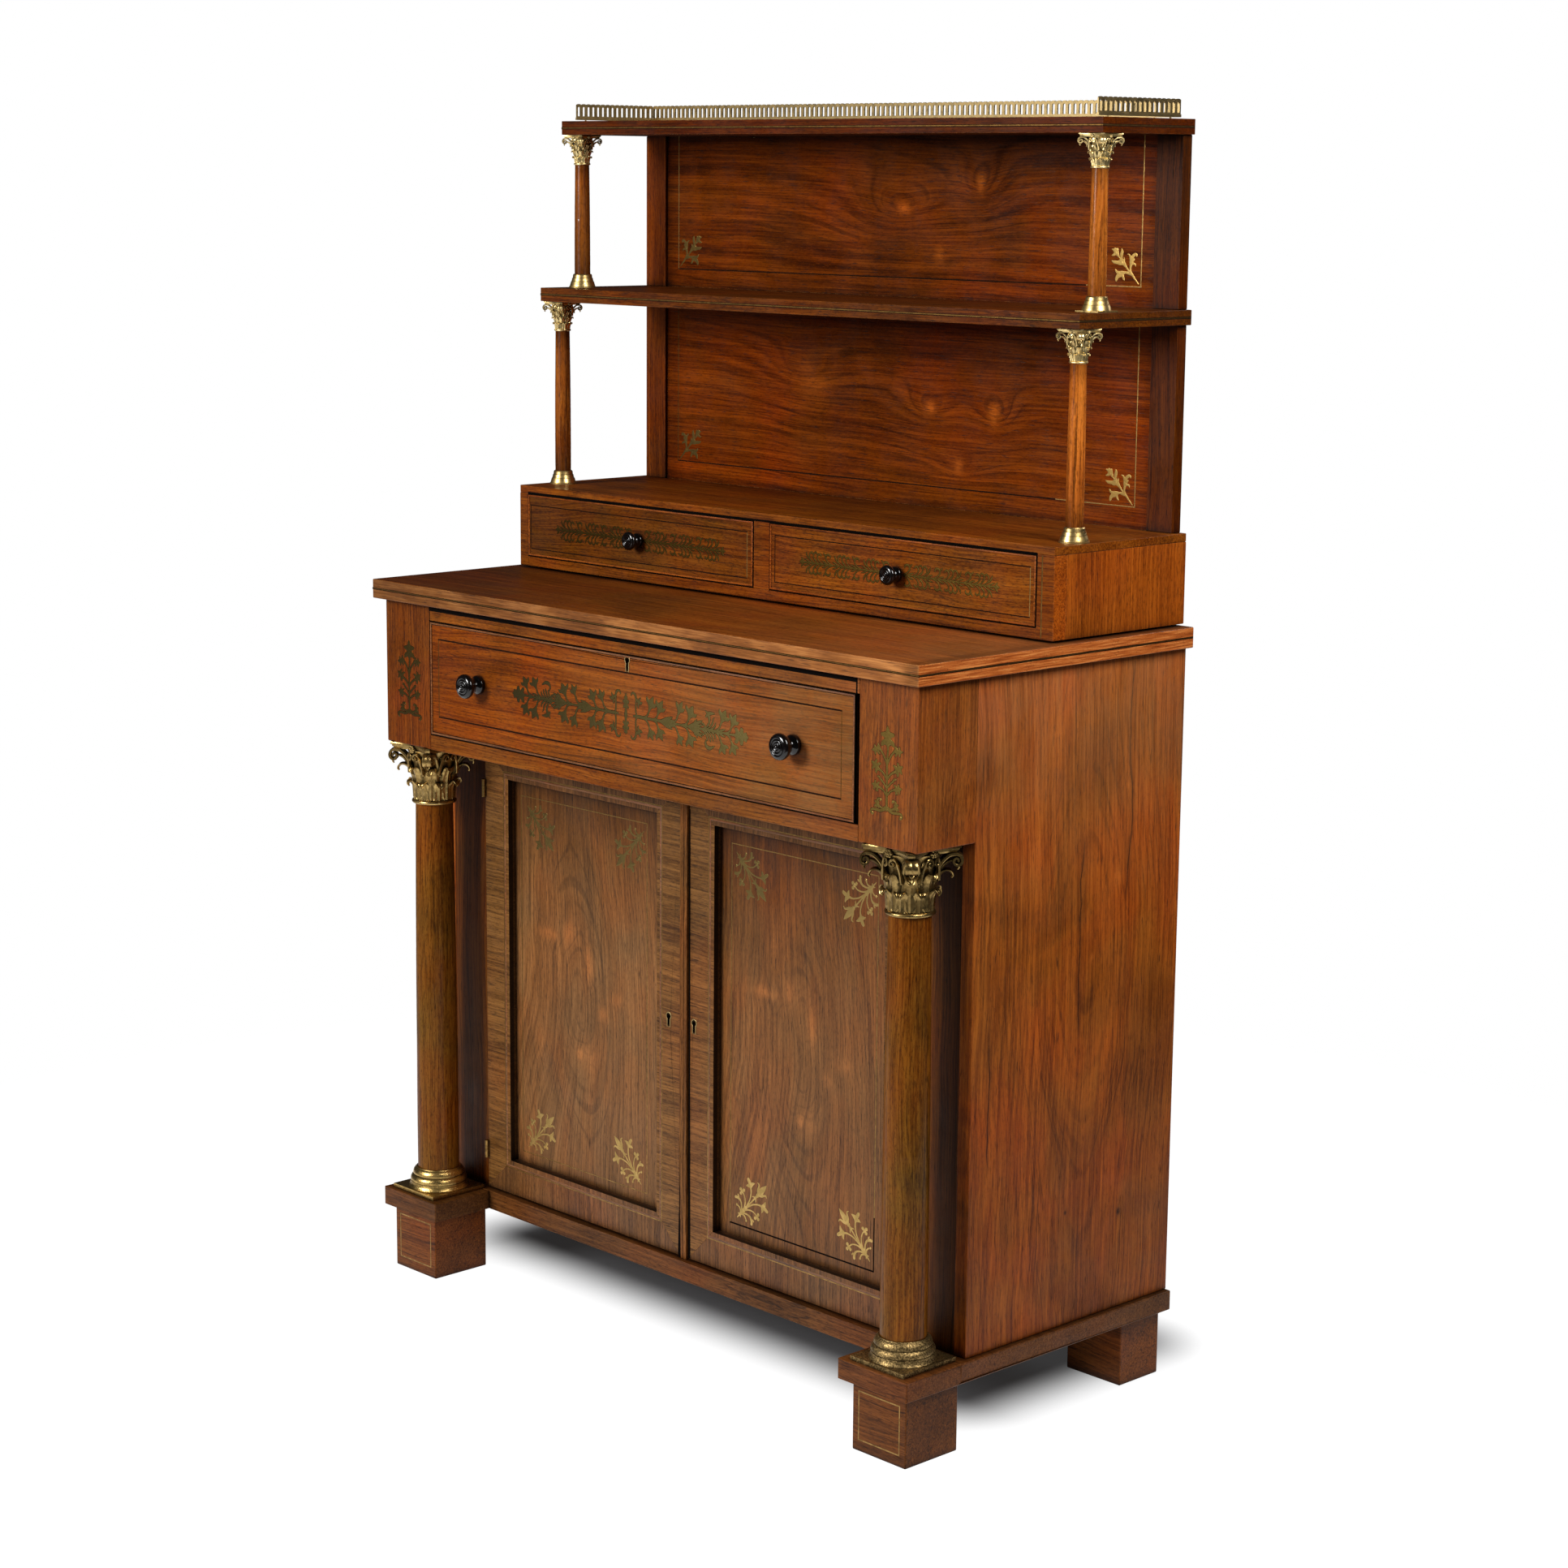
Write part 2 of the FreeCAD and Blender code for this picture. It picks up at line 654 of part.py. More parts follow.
def escutcheon(name, x, yface, z, drop):
    """Thin brass thread lining a keyhole, let into the face."""
    outer = keyhole(name + "_outer", x, yface - 0.3, yface + 2, z, 3.9, asdim(2.9), drop)
    hole = keyhole(name + "_inner", x, yface - 1, yface + 3, z, 2.7, asdim(1.6), drop)
    return cut(name, outer, [hole])


# ------------------------------------------------------------------- doors
door_lock_x = {-1: asdim(28), 1: asdim(16)}
key_z = lock_mid_z + 5
for s in (-1, 1):
    t = "left" if s < 0 else "right"
    zi0, zi1 = door_under + low_rail_high, door_over - top_rail_high
    xi0, xi1 = door_inner + meet_stile, door_outer - hinge_stile

    def mirrored(pts):
        return [(p[0] * s, p[1]) for p in pts]

    def member(name, wide, narrow):
        """One mitred member: full width in front, narrower behind where the
        panel sits in its rebate."""
        b = doc.addObject("PartDesign::Body", name)
        plate(name + "_rear", mirrored(narrow), door_thick, 0, 0, 0,
              role="XZ_Plane", body=b, flip=True)
        plate(name + "_face", mirrored(wide), panel_sunk, 0, 0, 0,
              role="XZ_Plane", body=b, flip=True)
        return put(b, 0, y_door, 0)

    lap = panel_lap
    # behind the face the members stop short by the lap, measured along x;
    # each inner corner stays on its own mitre line
    def short(width, high):
        return lap * (high.value / width.value)

    a_low, a_top = short(meet_stile, low_rail_high), short(meet_stile, top_rail_high)
    b_low, b_top = short(hinge_stile, low_rail_high), short(hinge_stile, top_rail_high)
    ml = member("%s_meeting_stile_raw" % t,
                [(door_inner, door_under), (xi0, zi0), (xi0, zi1), (door_inner, door_over)],
                [(door_inner, door_under), (xi0 - lap, zi0 - a_low), (xi0 - lap, zi1 + a_top),
                 (door_inner, door_over)])
    mh = member("%s_hinge_stile_raw" % t,
                [(door_outer, door_under), (door_outer, door_over), (xi1, zi1), (xi1, zi0)],
                [(door_outer, door_under), (door_outer, door_over), (xi1 + lap, zi1 + b_top),
                 (xi1 + lap, zi0 - b_low)])
    mb = member("%s_low_rail" % t,
                [(door_inner, door_under), (door_outer, door_under), (xi1, zi0), (xi0, zi0)],
                [(door_inner, door_under), (door_outer, door_under), (xi1 + lap, zi0 - b_low),
                 (xi0 - lap, zi0 - a_low)])
    mt = member("%s_top_rail" % t,
                [(door_inner, door_over), (xi0, zi1), (xi1, zi1), (door_outer, door_over)],
                [(door_inner, door_over), (xi0 - lap, zi1 + a_top), (xi1 + lap, zi1 + b_top),
                 (door_outer, door_over)])

    # lock let into the back of the meeting stile, open at its edge
    lx = door_lock_x[s]
    case_in = door_inner
    case_out = door_inner + 35
    y_l0 = y_door + door_thick - lock_deep
    y_l1 = y_door + door_thick
    z_l0, z_l1 = lock_mid_z - lock_high / 2, lock_mid_z + lock_high / 2
    recess = board("%s_lock_recess" % t, *side(s, case_in - 1, case_out),
                   y_l0, y_l1 + 1, z_l0, z_l1)
    face_seat = keyhole("%s_seat" % t, lx * s, y_door - 1, y_door + 2, key_z, 3.9,
                        asdim(2.9), 8.5)
    through = keyhole("%s_through" % t, lx * s, y_door, y_l0 + 1, key_z, 2.7,
                      asdim(1.6), 8.5)
    ml2 = cut("%s_meeting_stile" % t, ml, [recess, face_seat, through])
    seats = [leaf_box("%s_seat_low" % t, s, hinge_low_z, -1),
             leaf_box("%s_seat_top" % t, s, hinge_top_z, -1)]
    mh2 = cut("%s_hinge_stile" % t, mh, seats)
    group("door_%s_stiles" % t, [ml2, mh2])
    group("door_%s_rails" % t, [mb, mt])
    play = lap - 0.8            # the panel is free to shrink in its rebate
    register(board("door_%s_panel" % t, *side(s, xi0 - play, xi1 + play),
                   y_door + panel_sunk, y_door + panel_sunk + panel_thick,
                   zi0 - play, zi1 + play), "door_%s_panel" % t)
    group("door_%s_hinge_leaves" % t, door_leaves[s])

    # lock case with a slot for the bolt and a hole for the key
    bz0, bz1 = lock_mid_z - 7, lock_mid_z + 7
    by0, by1 = y_door + 12.5, y_door + 16.5
    b_in, b_out = door_inner + 0.2, door_inner + 20
    case = board("%s_lock_case_raw" % t, *side(s, case_in, case_out), y_l0, y_l1, z_l0, z_l1)
    slot = board("%s_bolt_slot" % t, *side(s, case_in - 1, b_out + bolt_play),
                 by0 - bolt_play, by1 + bolt_play, bz0 - bolt_play, bz1 + bolt_play)
    if s < 0:
        khole = keyhole("%s_lock_keyhole" % t, lx * s, y_l0 - 1, y_l0 + 6, key_z, 2.7,
                        asdim(1.6), 8.5)
        tools = [slot, khole]
    else:
        khole = keyhole("%s_lock_keyhole" % t, lx * s, y_l0 - 1, y_l0 + 2, key_z, 2.7,
                        asdim(1.6), 8.5)
        tools = [slot, khole]
    register(cut("door_%s_lock" % t, case, tools), "door_%s_lock" % t)
    register(board("door_%s_bolt" % t, *side(s, b_in, b_out), by0, by1, bz0, bz1),
             "door_%s_bolt" % t)
    register(escutcheon("door_%s_escutcheon" % t, lx * s, y_door, key_z, 8.5),
             "door_%s_escutcheon" % t)

# ------------------------------------------------------------ frieze drawer
fx0, fx1 = -fd_left, fd_right
fy0, fy1 = y_frieze, y_frieze + fd_front_thick
lock_x = asdim(-3)
key_fz = fd_over - 6.2
lc_z0 = fd_over - 40
front_raw = board("fd_front_raw", fx0, fx1, fy0, fy1, fd_under, fd_over)
fd_recess = board("fd_lock_recess", lock_x - 22, lock_x + 25, fy1 - lock_deep, fy1 + 1,
                  lc_z0, fd_over + 1)
fd_seat = keyhole("fd_seat", lock_x, fy0 - 1, fy0 + 2, key_fz, 3.9, asdim(2.9), 9.0)
fd_thr = keyhole("fd_through", lock_x, fy0, fy1 - lock_deep + 1, key_fz, 2.7,
                 asdim(1.6), 9.0)
register(cut("frieze_drawer_front", front_raw, [fd_recess, fd_seat, fd_thr]),
         "frieze_drawer_front")
s_in = fd_side_thick
sx0, sx1 = fx0 + 2.5, fx1 - 2.5
sy1 = fy1 + fd_long
side_under = runner_over + 0.3
group("frieze_drawer_sides", [
    board("fd_side_l", sx0, sx0 + s_in, fy1, sy1, side_under, fd_side_over),
    board("fd_side_r", sx1 - s_in, sx1, fy1, sy1, side_under, fd_side_over)])
register(board("frieze_drawer_back", sx0 + s_in, sx1 - s_in, sy1 - s_in, sy1,
               side_under + 12, fd_side_over - 6), "frieze_drawer_back")
register(board("frieze_drawer_bottom", sx0 + s_in, sx1 - s_in, fy1, sy1,
               side_under + 5, side_under + 12), "frieze_drawer_bottom")


def knob(name, rad, length, x, y, z):
    """Turned knob: foot ring, waist, ball and a stepped boss in front."""
    L, R = length, rad
    pts = [(0, 0), (R * 0.73, 0), (R * 0.77, L * 0.05, R * 0.24, 1),
           (R * 0.73, L * 0.22), (R * 0.58, L * 0.27, R * 0.45, -1),
           (R * 0.44, L * 0.47), (R * 0.62, L * 0.56), (R * 0.80, L * 0.60, R * 0.85, 1),
           (R * 0.97, L * 0.74, R * 0.45, 1), (R * 0.84, L * 0.91),
           (R * 0.50, L * 0.95), (R * 0.46, L * 0.92), (R * 0.31, L * 0.94),
           (R * 0.27, L * 0.97, R * 0.30, 1), (R * 0.06, L), (0, L)]
    return turned(name, pts, x, y, z, TO_FRONT)


group("frieze_drawer_knobs", [
    knob("fd_knob_%s" % ("l" if s < 0 else "r"), fd_knob_rad, fd_knob_long,
         fd_knob_x * s - fd_knob_aside, fy0, fd_knob_z) for s in (-1, 1)])

fcase = board("fd_lock_case_raw", lock_x - 22, lock_x + 25, fy1 - lock_deep, fy1,
              lc_z0, fd_over)
fb_y0, fb_y1 = fy0 + 12.7, fy0 + 17.3
fb_z0, fb_z1 = fd_over - 14, fd_over - 0.2
fslot = board("fd_bolt_slot", fd_bolt_x0 - bolt_play, fd_bolt_x1 + bolt_play,
              fb_y0 - bolt_play, fb_y1 + bolt_play, fb_z0 - bolt_play, fd_over + 1)
fkey = keyhole("fd_lock_keyhole", lock_x, fy1 - lock_deep - 1, fy1 - lock_deep + 6,
               key_fz, 2.7, asdim(1.6), 9.0)
register(cut("frieze_drawer_lock", fcase, [fslot, fkey]), "frieze_drawer_lock")
register(board("frieze_drawer_bolt", fd_bolt_x0, fd_bolt_x1, fb_y0, fb_y1, fb_z0, fb_z1),
         "frieze_drawer_bolt")
register(escutcheon("frieze_drawer_escutcheon", lock_x, fy0, key_fz, 9.0),
         "frieze_drawer_escutcheon")

# --------------------------------------------------- superstructure drawers
ux0, ux1 = -up_half, up_half
face_back = y_upper + up_face_thick
rail_over = up_under + up_low_rail
top_board = up_over - up_top_thick
lx1 = ux0 + up_side_thick          # inner face of the left stile
rx0 = ux1 - up_right_stile         # inner face of the right stile
group("upper_case_front_frame", [
    board("uf_left", ux0, lx1, y_upper, face_back, up_under, top_board),
    board("uf_right", rx0, ux1, y_upper, face_back, up_under, top_board),
    board("uf_rail", lx1, rx0, y_upper, face_back, up_under, rail_over),
    board("uf_mid", -div_left, div_right, y_upper, face_back, rail_over, top_board)])
group("upper_case_sides", [
    board("us_%s" % ("l" if s < 0 else "r"), *side(s, up_half - up_side_thick, up_half),
          face_back, yb, up_under, top_board) for s in (-1, 1)])
register(board("upper_case_top", ux0, ux1, y_upper, yb, top_board, up_over),
         "upper_case_top")
u_in = up_half - up_side_thick
register(board("upper_case_bottom", -u_in, u_in, face_back, yb - back_thick,
               top_over, rail_over), "upper_case_bottom")
register(board("upper_case_divider", -div_left + 8, div_right - 8, face_back,
               yb - back_thick, rail_over, top_board), "upper_case_divider")
register(board("upper_case_back", -u_in, u_in, yb - back_thick, yb,
               up_under, top_board), "upper_case_back")

for t, a, b, kx in (("left", lx1, -div_left, -sd_knob_left),
                    ("right", div_right, rx0, sd_knob_right)):
    x0, x1 = a + sd_gap, b - sd_gap
    yf = y_upper
    y2 = yf + sd_front_thick
    y3 = y2 + sd_long
    z0, z1 = rail_over + 0.7, top_board - 1.2
    register(board("small_drawer_%s_front" % t, x0, x1, yf, y2, z0, z1),
             "small_drawer_%s_front" % t)
    q0, q1 = x0 + 2, x1 - 2
    w = sd_side_thick
    zs = rail_over + 0.3
    group("small_drawer_%s_box" % t, [
        board("sd_%s_side_a" % t, q0, q0 + w, y2, y3, zs, sd_side_over),
        board("sd_%s_side_b" % t, q1 - w, q1, y2, y3, zs, sd_side_over),
        board("sd_%s_back" % t, q0 + w, q1 - w, y3 - w, y3, zs + 8, sd_side_over - 4),
        board("sd_%s_bottom" % t, q0 + w, q1 - w, y2, y3, zs + 3, zs + 8)])
    register(knob("small_drawer_%s_knob" % t, sd_knob_rad, sd_knob_long, kx, yf, sd_knob_z),
             "small_drawer_%s_knob" % t)

# ------------------------------------------------------- shelves and posts
register(board("middle_shelf", -mid_half, mid_half, yb - mid_front, yb,
               mid_under, mid_over), "middle_shelf")
register(board("top_shelf", -high_half, high_half, yb - high_front, yb,
               high_under, high_over), "top_shelf")

frame_y = yb - frame_thick
st = []
for s in (-1, 1):
    t = "l" if s < 0 else "r"
    a, b = side(s, frame_half - frame_wide, frame_half)
    st.append(board("frame_low_%s" % t, a, b, frame_y, yb, up_over, mid_under))
    st.append(board("frame_top_%s" % t, a, b, frame_y, yb, mid_over, high_under))
group("back_stiles", st)
f_in = frame_half - frame_wide
group("back_panels", [
    board("infill_low", -f_in, f_in, frame_y + infill_sunk,
          frame_y + infill_sunk + infill_thick, up_over, mid_under),
    board("infill_top", -f_in, f_in, frame_y + infill_sunk,
          frame_y + infill_sunk + infill_thick, mid_over, high_under)])

posts = []
for s in (-1, 1):
    t = "l" if s < 0 else "r"
    posts.append(("low_" + t, low_post_x * s, yb - low_post_deep, up_over, mid_under))
    posts.append(("top_" + t, high_post_x * s, yb - high_post_deep, mid_over, high_under))


def post_base(t, x, y, z):
    """A bell-shaped brass foot on a thin flange; the foot of the upper right
    post stands on a square plate."""
    R, h = post_base_rad, post_base_high
    pts = [(0, 0), (R, 0), (R, h * 0.09), (R * 0.95, h * 0.11),
           (R * 0.93, h * 0.20), (R * 0.86, h * 0.44), (R * 0.82, h * 0.47),
           (R * 0.77, h * 0.70), (R * 0.73, h * 0.73), (R * 0.71, h * 0.93),
           (R * 0.66, h), (0, h)]
    if t != "top_r":
        return turned("post_base_%s" % t, pts, x, y, z)
    half = post_base_plate / 2
    return fuse("post_base_%s" % t, [
        turned("post_bell_%s" % t, pts, x, y, z),
        board("post_plate_%s" % t, asdim(x) - half, asdim(x) + half,
              asdim(y) - half, asdim(y) + half, z, asdim(z) + h * 0.09)])


group("colonnette_bases", [post_base(t, x, y, z0) for t, x, y, z0, z1 in posts])
group("colonnette_shafts", [
    turned("post_shaft_%s" % t,
           [(0, 0), (post_foot_rad, 0, asdim(9000), 1),
            (post_neck_rad, z1 - z0 - post_base_high - post_cap_high),
            (0, z1 - z0 - post_base_high - post_cap_high)],
           x, y, z0 + post_base_high) for t, x, y, z0, z1 in posts])
group("colonnette_capitals", [
    capital("post_%s" % t, post_cap_corner, post_neck_rad * 1.10, post_cap_high,
            x, y, z1 - post_cap_high) for t, x, y, z0, z1 in posts])


# ---------------------------------------------------------------- gallery
def pierced(length, low, high, pitch, thick):
    """One pierced strip in the XZ plane from x=0 to x=length: a rail below,
    tall slots with round heads and a scalloped upper edge."""
    n = max(int(round(length / pitch)), 1)
    p = length / n
    rail = low + 4.6
    crown = high - 1.3
    edges = []
    pts = [V(0, 0, low), V(length, 0, low), V(length, 0, crown)]
    edges.append(Part.LineSegment(pts[0], pts[1]).toShape())
    edges.append(Part.LineSegment(pts[1], pts[2]).toShape())
    for i in range(n, 0, -1):
        a, b = i * p, (i - 1) * p
        edges.append(Part.Arc(V(a, 0, crown), V((a + b) / 2, 0, high),
                              V(b, 0, crown)).toShape())
    edges.append(Part.LineSegment(V(0, 0, crown), pts[0]).toShape())
    wires = [Part.Wire(edges)]
    hw = p * 0.25
    for i in range(n):
        c = (i + 0.5) * p
        top = high - 3.4 - hw
        e = [Part.LineSegment(V(c - hw, 0, top), V(c - hw, 0, rail)).toShape(),
             Part.LineSegment(V(c - hw, 0, rail), V(c + hw, 0, rail)).toShape(),
             Part.LineSegment(V(c + hw, 0, rail), V(c + hw, 0, top)).toShape(),
             Part.Arc(V(c + hw, 0, top), V(c, 0, top + hw), V(c - hw, 0, top)).toShape()]
        wires.append(Part.Wire(e))
    face = Part.Face(wires[0])
    strip = face.extrude(V(0, thick, 0))
    slots = []
    for w in wires[1:]:
        slots.append(Part.Face(w).extrude(V(0, thick, 0)))
    return strip.cut(Part.Compound(slots))


def cell(alias):
    return float(sheet.get(alias))


g_half, g_deep, g_back = cell("gal_half"), cell("gal_deep"), cell("gal_back")
g_top, g_thick, g_pitch = cell("gal_over"), cell("gal_thick"), cell("gal_pitch")
g_short = cell("gal_left_short")          # the left strip stops short in front
base_z = cell("high_under") + cell("high_thick")
ybk = cell("half_depth")
foot = 1.6                       # the strip stands clear of the shelf on pegs
low = base_z + foot
strips = []
for s in (-1, 1):
    front = g_deep - (g_short if s < 0 else 0.0)
    side_len = front - g_back
    strip = pierced(side_len, low, g_top, g_pitch, g_thick)
    strip.rotate(V(0, 0, 0), V(0, 0, 1), 90)          # along +Y, thickness to -X
    strip.translate(V(s * g_half + g_thick / 2, ybk - front, 0))
    rail = Part.makeBox(3.4, side_len, 3.0,
                        V(s * g_half - 1.7, ybk - front, low))
    whole = strip.fuse(rail)
    for k in (0.12, 0.88):
        peg = Part.makeCylinder(1.1, foot + 1.0, V(s * g_half, ybk - front + side_len * k,
                                                   base_z))
        whole = whole.fuse(peg)
    strips.append(whole.removeSplitter())
back_len = 2 * g_half - 3.6
strip = pierced(back_len, low, g_top, g_pitch, g_thick)
strip.translate(V(-back_len / 2, ybk - g_back - g_thick / 2, 0))
rail = Part.makeBox(back_len, 3.4, 3.0, V(-back_len / 2, ybk - g_back - 1.7, low))
whole = strip.fuse(rail)
for k in (0.04, 0.27, 0.5, 0.73, 0.96):
    peg = Part.makeCylinder(1.1, foot + 1.0, V(-back_len / 2 + back_len * k,
                                               ybk - g_back, base_z))
    whole = whole.fuse(peg)
strips.append(whole.removeSplitter())
gal = doc.addObject("Part::Feature", "gallery")
gal.Shape = Part.Compound(strips)
gal.Placement = FreeCAD.Placement(V(0, 0, 0), FreeCAD.Rotation())
register(gal, "gallery")

# -------------------------------------------------------------- check, write
doc.recompute()
bad = []
for o in doc.Objects:
    if "Invalid" in o.State or "Error" in o.State:
        bad.append("%s %s" % (o.Name, o.State))
for label in order:
    shp = nodes[label].Shape
    if shp.isNull() or not shp.isValid() or not shp.Solids:
        bad.append("%s has no valid solid" % label)
if bad:
    raise RuntimeError("; ".join(bad[:20]))
if len(order) > 60 or len(set(order)) != len(order):
    raise RuntimeError("node list: %d" % len(order))

os.makedirs("parts", exist_ok=True)
for label in order:
    nodes[label].Shape.exportStep(os.path.join("parts", label + ".step"))
box = FreeCAD.BoundBox()
for label in order:
    box.add(nodes[label].Shape.BoundBox)
print("nodes", len(order))
print("box", [round(v, 2) for v in (box.XMin, box.XMax, box.YMin, box.YMax, box.ZMin, box.ZMax)])
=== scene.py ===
import bpy
import bmesh
import math
import random
from mathutils import Vector, Matrix


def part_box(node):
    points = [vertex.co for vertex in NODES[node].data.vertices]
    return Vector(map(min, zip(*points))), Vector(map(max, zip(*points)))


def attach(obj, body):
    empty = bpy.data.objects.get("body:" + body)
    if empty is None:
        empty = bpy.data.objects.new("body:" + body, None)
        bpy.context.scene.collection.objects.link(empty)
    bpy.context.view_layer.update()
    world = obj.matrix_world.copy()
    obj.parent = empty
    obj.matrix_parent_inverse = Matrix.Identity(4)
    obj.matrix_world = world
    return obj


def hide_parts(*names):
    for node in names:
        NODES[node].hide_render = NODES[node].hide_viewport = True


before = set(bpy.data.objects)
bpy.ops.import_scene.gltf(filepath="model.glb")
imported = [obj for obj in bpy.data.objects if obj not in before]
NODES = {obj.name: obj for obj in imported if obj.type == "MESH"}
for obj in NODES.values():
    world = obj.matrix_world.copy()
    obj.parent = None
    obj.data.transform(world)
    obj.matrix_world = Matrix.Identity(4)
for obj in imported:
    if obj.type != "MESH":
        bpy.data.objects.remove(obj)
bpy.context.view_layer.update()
MM = 0.001
R = random.Random(11)


# ====================================================================== nodes
def srgb(r, g, b):
    """sRGB 0..255 to a linear colour with alpha."""
    out = []
    for c in (r, g, b):
        c = c / 255.0
        out.append(c / 12.92 if c <= 0.04045 else ((c + 0.055) / 1.055) ** 2.4)
    return (out[0], out[1], out[2], 1.0)


class Net:
    """A small helper that writes one material's nodes."""

    def __init__(self, name):
        self.mat = bpy.data.materials.new(name)
        self.mat.use_nodes = True
        self.t = self.mat.node_tree
        self.t.nodes.clear()
        self.out = self.t.nodes.new("ShaderNodeOutputMaterial")
        self.bsdf = self.t.nodes.new("ShaderNodeBsdfPrincipled")
        self.t.links.new(self.bsdf.outputs[0], self.out.inputs[0])
        self.coord = self.t.nodes.new("ShaderNodeTexCoord").outputs["Object"]

    def link(self, v, socket):
        if isinstance(v, bpy.types.NodeSocket):
            self.t.links.new(v, socket)
        elif v is not None:
            socket.default_value = v

    def m(self, op, a, b=None, c=None, clamp=False):
        n = self.t.nodes.new("ShaderNodeMath")
        n.operation = op
        n.use_clamp = clamp
        for i, v in enumerate((a, b, c)):
            self.link(v, n.inputs[i])
        return n.outputs[0]

    def add(self, a, b):
        return self.m("ADD", a, b)

    def sub(self, a, b):
        return self.m("SUBTRACT", a, b)

    def mul(self, a, b):
        return self.m("MULTIPLY", a, b)

    def dot(self, v, w):
        n = self.t.nodes.new("ShaderNodeVectorMath")
        n.operation = "DOT_PRODUCT"
        self.link(v, n.inputs[0])
        n.inputs[1].default_value = w
        return n.outputs["Value"]

    def vec(self, x, y, z):
        n = self.t.nodes.new("ShaderNodeCombineXYZ")
        for i, v in enumerate((x, y, z)):
            self.link(v, n.inputs[i])
        return n.outputs[0]

    def xyz(self, v):
        n = self.t.nodes.new("ShaderNodeSeparateXYZ")
        self.link(v, n.inputs[0])
        return n.outputs[0], n.outputs[1], n.outputs[2]

    def noise(self, v, scale=1.0, detail=2.0, rough=0.5, distort=0.0):
        n = self.t.nodes.new("ShaderNodeTexNoise")
        self.link(v, n.inputs["Vector"])
        n.inputs["Scale"].default_value = scale
        n.inputs["Detail"].default_value = detail
        n.inputs["Roughness"].default_value = rough
        n.inputs["Distortion"].default_value = distort
        return n.outputs[0]

    def step(self, v, a, b, lo=0.0, hi=1.0, smooth=True):
        """Maps a..b to lo..hi, held at both ends."""
        n = self.t.nodes.new("ShaderNodeMapRange")
        n.interpolation_type = "SMOOTHSTEP" if smooth else "LINEAR"
        n.clamp = True
        self.link(v, n.inputs["Value"])
        n.inputs["From Min"].default_value = a
        n.inputs["From Max"].default_value = b
        n.inputs["To Min"].default_value = lo
        n.inputs["To Max"].default_value = hi
        return n.outputs[0]

    def ramp(self, v, stops):
        n = self.t.nodes.new("ShaderNodeValToRGB")
        self.link(v, n.inputs[0])
        e = n.color_ramp.elements
        while len(e) < len(stops):
            e.new(0.5)
        for el, (p, c) in zip(e, stops):
            el.position = p
            el.color = c
        return n.outputs[0]

    def mix(self, f, a, b, kind="MIX"):
        n = self.t.nodes.new("ShaderNodeMix")
        n.data_type = "RGBA"
        n.blend_type = kind
        n.clamp_factor = True
        self.link(f, n.inputs[0])
        self.link(a, n.inputs[6])
        self.link(b, n.inputs[7])
        return n.outputs[2]

    def bump(self, height, strength, distance, normal=None):
        n = self.t.nodes.new("ShaderNodeBump")
        n.inputs["Strength"].default_value = strength
        n.inputs["Distance"].default_value = distance
        self.link(height, n.inputs["Height"])
        if normal is not None:
            self.link(normal, n.inputs["Normal"])
        return n.outputs[0]

    def ao(self, distance, samples=6):
        n = self.t.nodes.new("ShaderNodeAmbientOcclusion")
        n.samples = samples
        n.inputs["Distance"].default_value = distance
        return n.outputs["AO"]

    def edge(self, radius, samples=4):
        """0 on flats, towards 1 on a convex or hollow edge."""
        b = self.t.nodes.new("ShaderNodeBevel")
        b.samples = samples
        b.inputs["Radius"].default_value = radius
        g = self.t.nodes.new("ShaderNodeNewGeometry")
        n = self.t.nodes.new("ShaderNodeVectorMath")
        n.operation = "DOT_PRODUCT"
        self.t.links.new(b.outputs[0], n.inputs[0])
        self.t.links.new(g.outputs["Normal"], n.inputs[1])
        return self.m("SUBTRACT", 1.0, n.outputs["Value"], clamp=True)

    def set(self, **kw):
        """Plain numbers and colours on the shader's own sockets, and links."""
        for k, v in kw.items():
            self.link(v, self.bsdf.inputs[k.replace("_", " ")])
        return self.mat


# -------------------------------------------------------------------- woods
# the ground colour of the old polished rosewood, paler, darker and vein tones
TONES = {
    "warm": ((164, 96, 28), (126, 67, 15), (80, 36, 6), (34, 14, 3)),
    "mid": ((142, 78, 26), (106, 54, 16), (68, 31, 7), (28, 11, 3)),
    "deep": ((124, 62, 14), (90, 39, 6), (50, 18, 2), (20, 7, 2)),
    "red": ((132, 56, 16), (102, 36, 9), (62, 18, 4), (22, 7, 2)),
    "grey": ((140, 92, 48), (108, 68, 32), (74, 42, 18), (36, 20, 9)),
}


